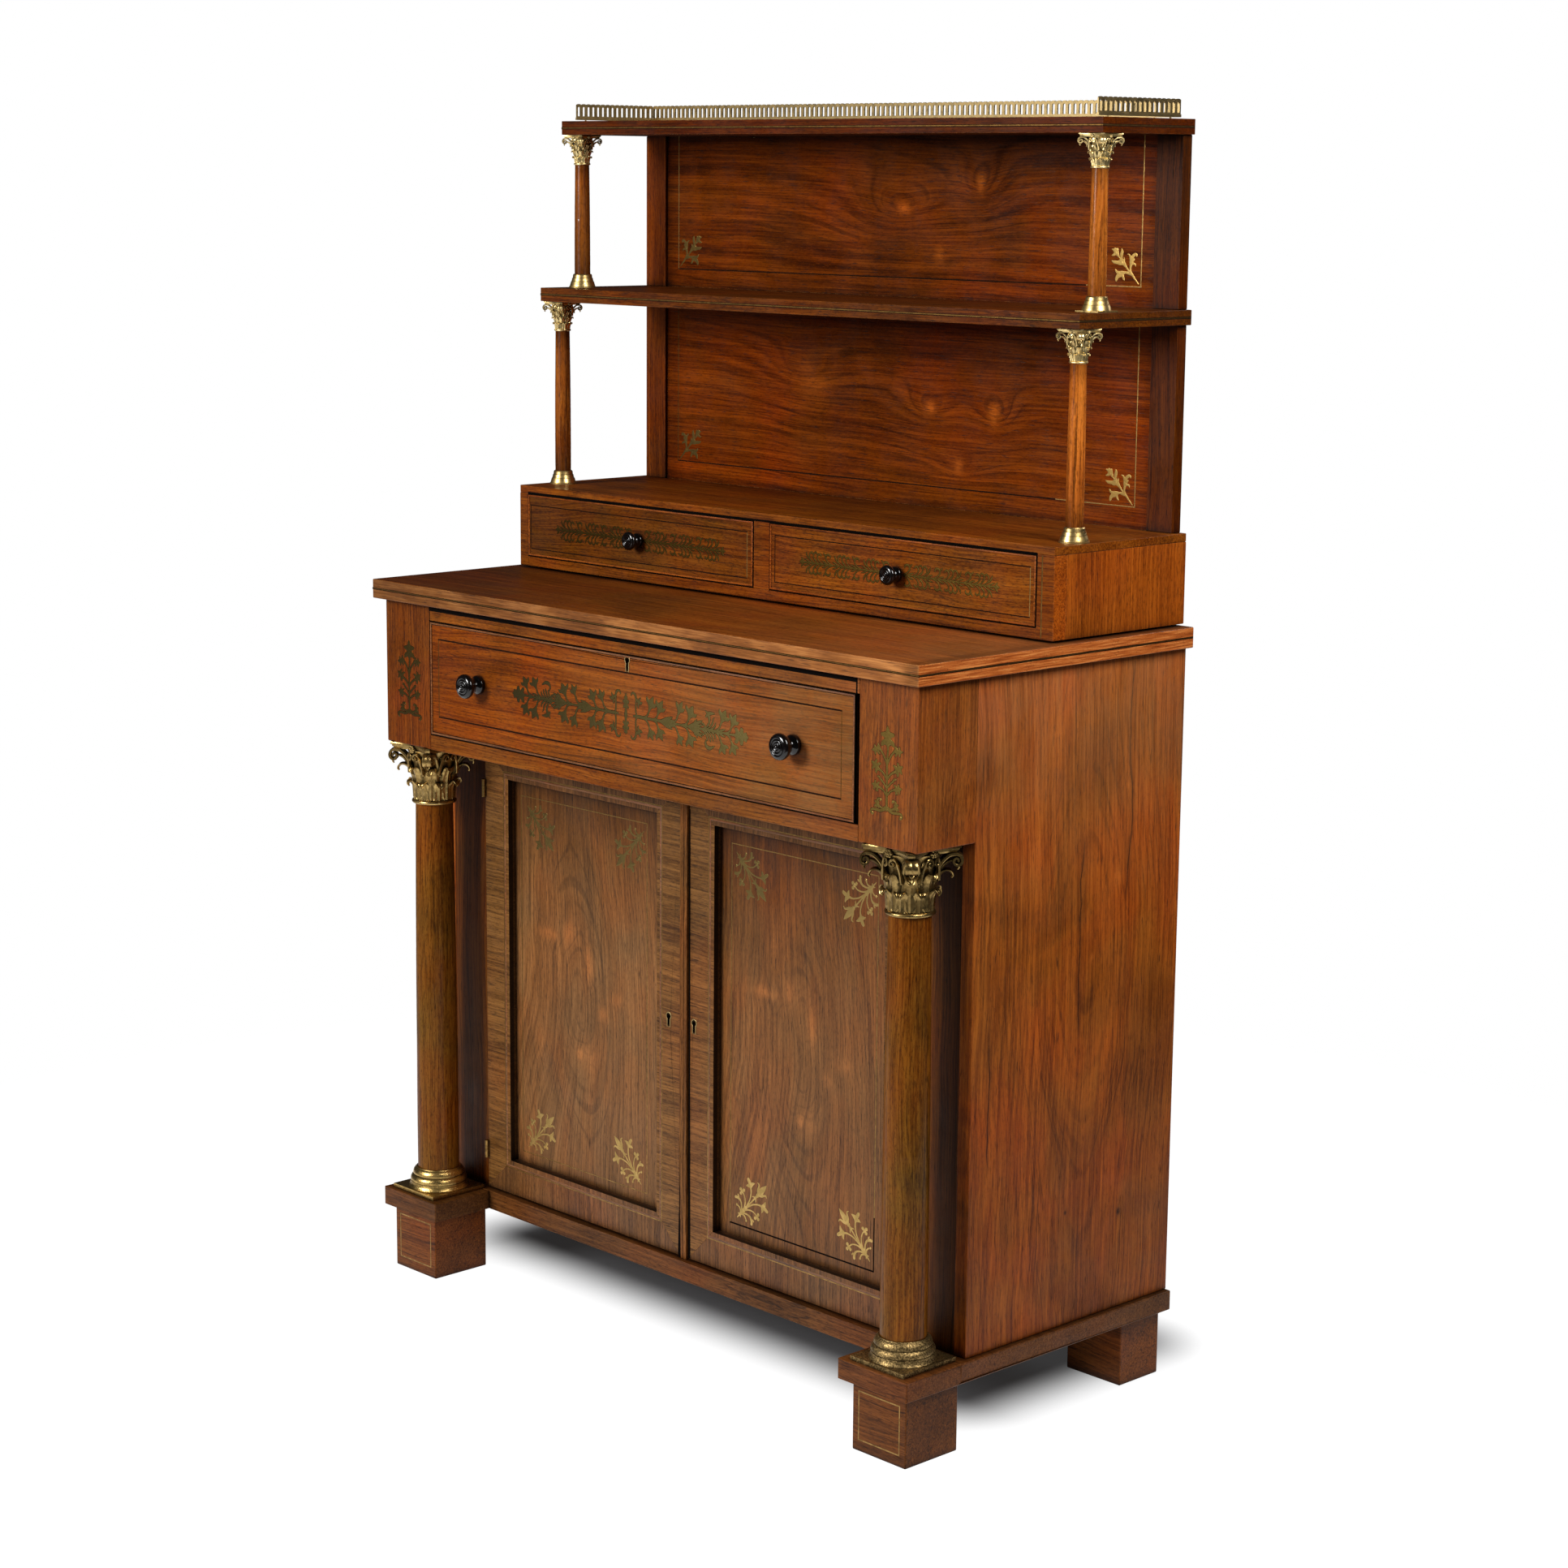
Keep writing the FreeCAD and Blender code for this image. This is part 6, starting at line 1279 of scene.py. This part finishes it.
# the left door's right stile has shrunk away from the muntin at its foot; these open joints, and the one at the muntin,
# are painted near black for the shade in them
lo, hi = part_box("door_left_stiles")
foot = lo.z / MM + 0.4
B = Build()
shard(B, DF_Y, [(-7.25, 266.0), (-7.25, 190.0), (-8.3, 190.0)])
shard(B, DF_Y, [(-7.25, 190.0), (-7.25, foot), (-11.0, foot), (-9.9, 145.0), (-8.3, 190.0)])
B.make("door_left_open_joint", "door_left", [M["gap"]], "rosewood")
B = Build()
shard(B, DF_Y, [(7.25, foot), (10.8, foot), (9.9, 240.0), (7.25, 240.0)])
shard(B, DF_Y, [(7.25, 240.0), (9.9, 240.0), (8.7, 640.0), (7.25, 640.0)])
B.make("door_right_open_joint", "door_right", [M["gap"]], "rosewood")
lo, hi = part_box("centre_muntin")
B = Build()
mz0 = lo.z / MM + 0.4
my = DF_Y - 3.0
shard(B, my, [(-5.95, 250.0), (-5.95, mz0), (-3.0, mz0)])
string_line(B, my, 0.9, mz0, 0.9, hi.z / MM - 1.0, 0.8, 1)
B.make("muntin_joint", "carcase", [M["gap"], M["line"]], "rosewood")

# painted shadow: a near-black strip under the table top's overhang, and dark joints beside the rail over the drawer
B = Build()
string_line(B, FD_Y, -364.5, 839.9, 360.5, 839.9, 6.6)
string_line(B, FD_Y, 359.6, 824.3, 359.6, 843.9, 2.2)
string_line(B, FD_Y, -363.4, 824.3, -363.4, 843.9, 1.6)
B.make("rail_shadow_and_joints", "carcase", [M["gap"]], "rosewood")
# painted shade: a near-black line in the joint under the upper case's top
B = Build()
string_line(B, UC_Y, -430.0, 960.2, 421.0, 960.2, 2.4)
B.make("case_joint_shade", "carcase", [M["gap"]], "rosewood")


# ==================================================================== knobs
def lathe_y(B, x, z, y0, prof, seg=56, slot=0):
    loft(B, [[(x + r * math.cos(2 * math.pi * k / seg), y0 - d, z + r * math.sin(2 * math.pi * k / seg))
              for k in range(seg)] for r, d in prof], slot)


def knob(B, x, z, y0, R, L):
    """A mushroom knob with rings turned in its face."""
    q = [(.68, 0), (.735, .02), (.76, .07), (.755, .14), (.70, .19), (.60, .22), (.50, .29), (.44, .37), (.43, .45), (.46, .51),
         (.60, .545), (.76, .575), (.87, .61), (.955, .66), (.99, .72), (.985, .78), (.935, .85), (.84, .89), (.74, .91), (.66, .915),
         (.62, .905), (.60, .895), (.57, .905), (.53, .930), (.48, .938), (.43, .932), (.40, .915), (.375, .908), (.35, .918),
         (.32, .942), (.28, .952), (.24, .945), (.215, .932), (.19, .932), (.165, .955), (.13, .982), (.07, .996), (.01, .998)]
    lathe_y(B, x, z, y0, [(r * R, d * L) for r, d in q])


for node, body, mid in (("frieze_drawer_knobs", "frieze_drawer", (-269.4, 266.6)),
                        ("small_drawer_left_knob", "small_drawer_left", (-221.4,)),
                        ("small_drawer_right_knob", "small_drawer_right", (213.0,))):
    lo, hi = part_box(node)
    B = Build()
    for x in mid:
        knob(B, x, (lo.z + hi.z) / 2 / MM, hi.y / MM, (hi.z - lo.z) / 2 / MM, (hi.y - lo.y) / MM)
    B.make(node + "_turned", body, [M["ebony"]], "ebony", 50, [node])


# ================================================================= capitals
def spiral(cx, cz, r0, r1, a0, turns, n=26):
    """Points of a closing spiral about (cx, cz)."""
    out = []
    for i in range(n + 1):
        t = i / n
        r = r0 + (r1 - r0) * t ** 0.85
        a = math.radians(a0) + 2 * math.pi * turns * t
        out.append((cx + r * math.cos(a), cz + r * math.sin(a)))
    return out


def ribbon(B, path, sides, widths, thick, slot=0, groove=0.35):
    """A strip swept along a path, hollowed along its outer face."""
    secs = []
    m = len(path)
    for i, p in enumerate(path):
        a, b = Vector(path[max(i - 1, 0)]), Vector(path[min(i + 1, m - 1)])
        t = (b - a).normalized()
        s = Vector(sides[i]).normalized()
        nrm = s.cross(t).normalized()
        w = widths[i] / 2
        th = thick[i] / 2
        g = groove * th
        P = Vector(p)
        secs.append([tuple(P + s * (w * x) + nrm * h) for x, h in
                     ((-1, -th * .7), (-1, th * .6), (-.8, th), (-.45, th - g), (.45, th - g), (.8, th), (1, th * .6),
                      (1, -th * .7), (.6, -th), (-.6, -th))])
    loft(B, secs, slot)


def acanthus(B, ax, ay, phi, path, width, lobes=5, thick=1.1, nu=22, nv=11, slot=0, lean=0.35, flute=0.5):
    """A closed leaf that climbs the bell and turns over at the tip. path is
    (radius, height) from root to tip."""
    pts = catmull(path, 6)
    acc = [0.0]
    for a, b in zip(pts, pts[1:]):
        acc.append(acc[-1] + math.hypot(b[0] - a[0], b[1] - a[1]))
    front, back = [], []
    for i in range(nu):
        u = i / (nu - 1)
        d = u * acc[-1]
        k = 0
        while k < len(acc) - 2 and acc[k + 1] < d:
            k += 1
        f = (d - acc[k]) / max(acc[k + 1] - acc[k], 1e-6)
        r, z = (pts[k][j] + (pts[k + 1][j] - pts[k][j]) * f for j in (0, 1))
        tr, tz = pts[k + 1][0] - pts[k][0], pts[k + 1][1] - pts[k][1]
        l = math.hypot(tr, tz) or 1.0
        tr, tz = tr / l, tz / l
        nr, nz = tz, -tr
        shape = (0.62 + 0.5 * math.sin(math.pi * min(u / 0.8, 1.0))) if u < 0.8 else (0.62 * (1 - ((u - 0.8) / 0.2) ** 2) + 0.12)
        saw = 0.76 + 0.24 * abs(math.sin(math.pi * lobes * u)) ** 0.6
        wd = width * shape * saw
        for j in range(nv):
            v = -1 + 2 * j / (nv - 1)
            e = abs(v)
            off = wd * v
            rise = flute * math.cos(v * math.pi * 3.0) * (0.4 + 0.6 * (1 - u)) - 0.16 * wd * e * e
            if e < 0.05:
                rise += 0.45
            slide = -lean * wd * e * (0.35 + 0.65 * u)
            for grid, h in ((front, rise + thick / 2), (back, rise - thick / 2)):
                R2 = r + nr * h + tr * slide
                zz = z + nz * h + tz * slide
                an = phi + off / max(R2, 4.0)
                grid.append((ax + R2 * math.cos(an), ay + R2 * math.sin(an), zz))
    fs = []
    N = nu * nv
    for i in range(nu - 1):
        for j in range(nv - 1):
            a = i * nv + j
            fs.append((a, a + 1, a + nv + 1, a + nv))
            fs.append((N + a, N + a + nv, N + a + nv + 1, N + a + 1))
    for i in range(nu - 1):
        for j in (0, nv - 1):
            a = i * nv + j
            fs.append((a, a + nv, N + a + nv, N + a))
    for j in range(nv - 1):
        for i in (0, nu - 1):
            a = i * nv + j
            fs.append((a, a + 1, N + a + 1, N + a))
    B.add(front + back, fs, slot)


def capital(B, ax, ay, z0, H, rn, corner, fat=1.0, small=False):
    """A Corinthian capital: astragal, bell, tiers of leaves, volutes at the
    corners, helices and a flower on each face, and the abacus."""
    k = H / 74.5
    def h(x):
        return z0 + x * k
    # radii are given for a bell of 21.5 at its foot
    def rr(x):
        return rn + (x - 21.5) * (corner - rn) / (56.0 - 21.5)
    ring = rn * 1.20
    prof = [(ring - 2.5 * k, h(0))]
    for a in range(-80, 81, 20):
        prof.append((ring - 2.5 * k + 2.5 * k * math.cos(math.radians(a)), h(2.5 + 2.5 * math.sin(math.radians(a)))))
    prof += [(rr(22), h(5.4)), (rr(21.5), h(12)), (rr(21.8), h(30)), (rr(23.5), h(46)), (rr(27), h(57)), (rr(31), h(64)),
             (rr(32), h(67)), (rr(25), h(68))]
    lathe(B, ax, ay, prof, 56 if not small else 36)
    tiers = 3 if small else 2
    if not small:
        for i in range(8):
            acanthus(B, ax, ay, math.radians(45 * i + 22.5), [(rr(23), h(4)), (rr(23.6), h(14)), (rr(25), h(22)),
                     (rr(28.5), h(27)), (rr(31.2), h(26.4)), (rr(32.0), h(23.4)), (rr(30.6), h(21.6))],
                     rn * .40 * fat, 4, 1.1 * k, 22, 11)
        for i in range(8):
            diag = i % 2 == 1
            if diag:
                p = [(rr(23.5), h(6)), (rr(24.5), h(22)), (rr(26), h(34)), (rr(31), h(43)), (rr(37.5), h(46.5)),
                     (rr(42.5), h(45.2)), (rr(44.6), h(41.4)), (rr(43.2), h(38.8))]
            else:
                p = [(rr(23.5), h(6)), (rr(24.2), h(22)), (rr(25.2), h(34)), (rr(28.4), h(43)), (rr(32.2), h(45.6)),
                     (rr(34.8), h(43.6)), (rr(34.4), h(40.2))]
            acanthus(B, ax, ay, math.radians(45 * i), p, rn * .44 * fat, 6, 1.1 * k, 28, 11)
    else:
        for t in range(3):
            for i in range(8):
                hi = (20, 34, 48)[t]
                lo = (4, 12, 24)[t]
                out = (29, 31.5, 35 if i % 2 else 32)[t]
                acanthus(B, ax, ay, math.radians(45 * i + (22.5 if t % 2 == 0 and t < 2 else 0)),
                         [(rr(22.6), h(lo)), (rr(23.4), h((lo + hi) / 2)), (rr(out - 3), h(hi)), (rr(out), h(hi - .4)),
                          (rr(out + .6), h(hi - 3.4))], rn * .46, 3, 0.9 * k, 14, 9, flute=0.35 * k)
    # volutes
    for i in range(4):
        base = 45 + 90 * i
        for s in (-1, 1):
            run = [(rr(26), h(36)), (rr(28), h(47)), (rr(33), h(57)), (rr(41), h(64.2)), (rr(49.0), h(65.2))]
            run += [(rr(a), h(b)) for a, b in spiral(49.4, 57.8, 7.4, 1.4, 88, -1.35)][1:]
            run = catmull(run[:5], 4)[:-1] + run[4:]
            path, sd, wd, th = [], [], [], []
            m = len(run)
            for j, (r, z) in enumerate(run):
                q = j / (m - 1)
                da = math.radians(base + s * (21 * (1 - min(q / 0.42, 1.0)) ** 1.3))
                gap = s * (3.0 * k * min(q / 0.42, 1.0))
                path.append((ax + r * math.cos(da) - gap * math.sin(da), ay + r * math.sin(da) + gap * math.cos(da), z))
                sd.append((-math.sin(da), math.cos(da), 0.0))
                wd.append((4.0 + 2.8 * min(q / 0.4, 1.0)) * k)
                th.append((3.9 - 1.2 * q) * k)
            ribbon(B, path, sd, wd, th)
        # the leaf under the pair of volutes
        acanthus(B, ax, ay, math.radians(base), [(rr(30), h(44)), (rr(36), h(53)), (rr(43), h(57)), (rr(49), h(55)),
                 (rr(51.5), h(50.5)), (rr(50.2), h(47.6))], 5.4 * k, 4, 1.0 * k, 16, 9, flute=0.3)
        # helices and the flower on the face
        f = math.radians(90 * i)
        T = Vector((-math.sin(f), math.cos(f), 0))
        N = Vector((math.cos(f), math.sin(f), 0))
        for s in (-1, 1):
            run = [(13.5, 38), (12.6, 48), (10.6, 56), (8.6, 61.2)] + [p for p in spiral(5.2, 58.2, 5.0, 1.0, 40, 1.15, 20)][1:]
            run = catmull(run[:4], 3)[:-1] + run[3:]
            path, sd, wd, th = [], [], [], []
            for j, (t, z) in enumerate(run):
                q = j / (len(run) - 1)
                dep = rr(26.5 + 5.5 * min(q / 0.45, 1.0)) - 0.4 * (t / 10) ** 2
                p = Vector((ax, ay, 0)) + N * dep + T * (s * t * k)
                path.append((p.x, p.y, h(z)))
                sd.append(tuple(N))
                wd.append(4.6 * k)
                th.append((3.2 - 1.1 * q) * k)
            ribbon(B, path, sd, wd, th, groove=0.1)
        c = Vector((ax, ay, 0)) + N * (rr(33.0))
        zc = h(69.0)
        for j in range(7):
            a = 2 * math.pi * j / 6
            ro, rad = (0.0, 2.2) if j == 6 else (3.2, 2.3)
            cc = c + T * (ro * k * math.cos(a))
            zz = zc + ro * k * math.sin(a)
            secs = []
            for d, sc in ((-1.6, 1.0), (0.2, 1.0), (1.2, 0.8), (1.9, 0.35)):
                secs.append([tuple(cc + N * (d * k + (0.6 * k if j == 6 else 0)) + T * (rad * k * sc * math.cos(x * math.pi / 5))
                                   + Vector((0, 0, zz + rad * k * sc * math.sin(x * math.pi / 5)))) for x in range(10)])
            loft(B, secs)
    # abacus: concave sides, clipped corners, two steps
    out = []
    lim = corner / math.sqrt(2) + 1.6 * k
    cut = 5.2 * k
    for i in range(4):
        f = math.radians(90 * i)
        T = Vector((-math.sin(f), math.cos(f), 0))
        N = Vector((math.cos(f), math.sin(f), 0))
        for j in range(13):
            q = -1 + 2 * j / 12
            out.append((N * (lim * (0.80 + 0.20 * q * q)) + T * ((lim - cut) * q)))
    secs = []
    for zf, sc in ((66.0, .84), (66.6, .90), (68.6, .925), (69.2, .955), (71.4, .965), (71.8, 1.0), (73.8, 1.0), (74.5, .985)):
        secs.append([(ax + p.x * sc, ay + p.y * sc, h(zf)) for p in out])
    loft(B, secs)


B = Build()
for sx in (-1, 1):
    capital(B, sx * 406.0, -160.5, 594.0, 74.5, 22.7, 54.0)
# the volutes are drawn in on the side where the open door passes
for i, (x, y, z) in enumerate(B.v):
    inward = 406.0 - abs(x)
    if inward > 31.0:
        B.v[i] = (math.copysign(406.0 - 31.0 - (inward - 31.0) * 0.62, x), y, z)
B.make("corinthian_capitals", "carcase", [M["gilt"]], "brass", 32, ["column_capitals"])
B = Build()
for x, y, z in ((425, 62, 1158.5), (422, 92, 1361.0)):
    for sx in (-1, 1):
        capital(B, sx * x, y, z, 36.5, 8.6, 24.2, 1.0, True)
B.make("colonnette_corinthian_capitals", "carcase", [M["gilt_small"]], "brass", 32, ["colonnette_capitals"])


# ==================================================================== camera
cam_data = bpy.data.cameras.new("camera")
cam = bpy.data.objects.new("camera", cam_data)
bpy.context.scene.collection.objects.link(cam)
yaw, pitch, roll = math.radians(46.34), math.radians(-10.69), math.radians(0.49)
fwd = Vector((-math.sin(yaw) * math.cos(pitch), math.cos(yaw) * math.cos(pitch), math.sin(pitch)))
right = Vector((math.cos(yaw), math.sin(yaw), 0))
up = right.cross(fwd)
r2 = right * math.cos(roll) + up * math.sin(roll)
u2 = up * math.cos(roll) - right * math.sin(roll)
rot = Matrix((r2, u2, -fwd)).transposed().to_4x4()
cam.matrix_world = Matrix.Translation((2.69753, -2.53098, 1.35239)) @ rot
cam_data.sensor_width = 36.0
cam_data.lens = 74.20
cam_data.clip_start = 0.05
cam_data.clip_end = 60.0
bpy.context.scene.camera = cam


# ============================================================= stage, lights
def disc(name, radius, z, rings=6, seg=96):
    vs, fs = [(0, 0, z)], []
    for i in range(1, rings + 1):
        for k in range(seg):
            a = 2 * math.pi * k / seg
            vs.append((radius * i / rings * math.cos(a), radius * i / rings * math.sin(a), z))
    for k in range(seg):
        fs.append((0, 1 + k, 1 + (k + 1) % seg))
    for i in range(rings - 1):
        for k in range(seg):
            a, b = 1 + i * seg + k, 1 + i * seg + (k + 1) % seg
            fs.append((a, a + seg, b + seg, b))
    me = bpy.data.meshes.new(name)
    me.from_pydata(vs, [], fs)
    o = bpy.data.objects.new(name, me)
    bpy.context.scene.collection.objects.link(o)
    return o


floor = disc("studio_floor", 1.5, 0.0)
n = Net("studio_floor")
fn = n.noise(n.coord, 40.0, 3.0, 0.5)
px, py, pz = n.xyz(n.coord)
# painted shadow: the floor glows white away from the cabinet and hardly at all under its footprint, where the shadow is
ex = n.m("MAXIMUM", n.sub(n.m("ABSOLUTE", n.add(px, 0.04)), 0.38), 0.0)
ey = n.m("MAXIMUM", n.sub(n.m("ABSOLUTE", n.sub(py, 0.135)), 0.13), 0.0)
away = n.m("SQRT", n.add(n.mul(ex, ex), n.mul(ey, ey)))
n.set(Base_Color=n.mix(fn, srgb(84, 84, 86), srgb(92, 92, 94)), Roughness=n.step(fn, 0.3, 0.7, 0.75, 0.85),
      IOR=1.3, Emission_Color=(1, 1, 1, 1), Emission_Strength=n.step(away, 0.005, 0.125, 0.02, 1.0))
floor.data.materials.append(n.mat)


def area(name, loc, aim, sx, sy, power, colour=(1, 1, 1)):
    d = bpy.data.lights.new(name, "AREA")
    d.shape = "RECTANGLE"
    d.size, d.size_y = sx, sy
    d.energy = power
    d.color = colour
    o = bpy.data.objects.new(name, d)
    bpy.context.scene.collection.objects.link(o)
    v = Vector(aim) - Vector(loc)
    o.matrix_world = Matrix.Translation(loc) @ v.to_track_quat("-Z", "Y").to_matrix().to_4x4()
    return o


area("key", (-0.95, -3.7, 2.15), (0, -0.1, 0.76), 1.3, 1.3, 165)
area("side_light", (1.9, -0.2, 2.15), (0.45, 0.08, 0.70), 0.8, 1.0, 46)
area("back_light", (0.3, 3.4, 2.4), (0, 0.2, 0.8), 1.6, 1.6, 34)

world = bpy.data.worlds.new("studio")
bpy.context.scene.world = world
world.use_nodes = True
wt = world.node_tree
wt.nodes.clear()
wo = wt.nodes.new("ShaderNodeOutputWorld")
ws = wt.nodes.new("ShaderNodeMixShader")
lp = wt.nodes.new("ShaderNodeLightPath")
b1 = wt.nodes.new("ShaderNodeBackground")
b2 = wt.nodes.new("ShaderNodeBackground")
b1.inputs[0].default_value = (0.98, 0.98, 1.0, 1)
# the lit floor goes on to the front and left, beyond the disc
tc = wt.nodes.new("ShaderNodeTexCoord")
sp = wt.nodes.new("ShaderNodeSeparateXYZ")
wt.links.new(tc.outputs["Generated"], sp.inputs[0])
low = wt.nodes.new("ShaderNodeMapRange")
low.interpolation_type = "SMOOTHSTEP"
for k, v in (("From Min", -0.21), ("From Max", -0.29), ("To Min", 0.0), ("To Max", 1.0)):
    low.inputs[k].default_value = v
wt.links.new(sp.outputs[2], low.inputs["Value"])
fr = wt.nodes.new("ShaderNodeVectorMath")
fr.operation = "DOT_PRODUCT"
fr.inputs[1].default_value = (-0.707, -0.707, 0.0)
wt.links.new(tc.outputs["Generated"], fr.inputs[0])
lf = wt.nodes.new("ShaderNodeMapRange")
lf.interpolation_type = "SMOOTHSTEP"
for k, v in (("From Min", 0.2), ("From Max", 0.8), ("To Min", 0.0), ("To Max", 0.85)):
    lf.inputs[k].default_value = v
wt.links.new(fr.outputs["Value"], lf.inputs["Value"])
mu = wt.nodes.new("ShaderNodeMath")
mu.operation = "MULTIPLY"
wt.links.new(low.outputs[0], mu.inputs[0])
wt.links.new(lf.outputs[0], mu.inputs[1])
ad = wt.nodes.new("ShaderNodeMath")
ad.operation = "ADD"
ad.inputs[1].default_value = 0.03
wt.links.new(mu.outputs[0], ad.inputs[0])
wt.links.new(ad.outputs[0], b1.inputs[1])
b2.inputs[0].default_value = (1, 1, 1, 1)
b2.inputs[1].default_value = 1.0
wt.links.new(lp.outputs["Is Camera Ray"], ws.inputs[0])
wt.links.new(b1.outputs[0], ws.inputs[1])
wt.links.new(b2.outputs[0], ws.inputs[2])
wt.links.new(ws.outputs[0], wo.inputs[0])
bpy.context.scene.view_settings.view_transform = "Standard"
bpy.context.scene.view_settings.look = "None"
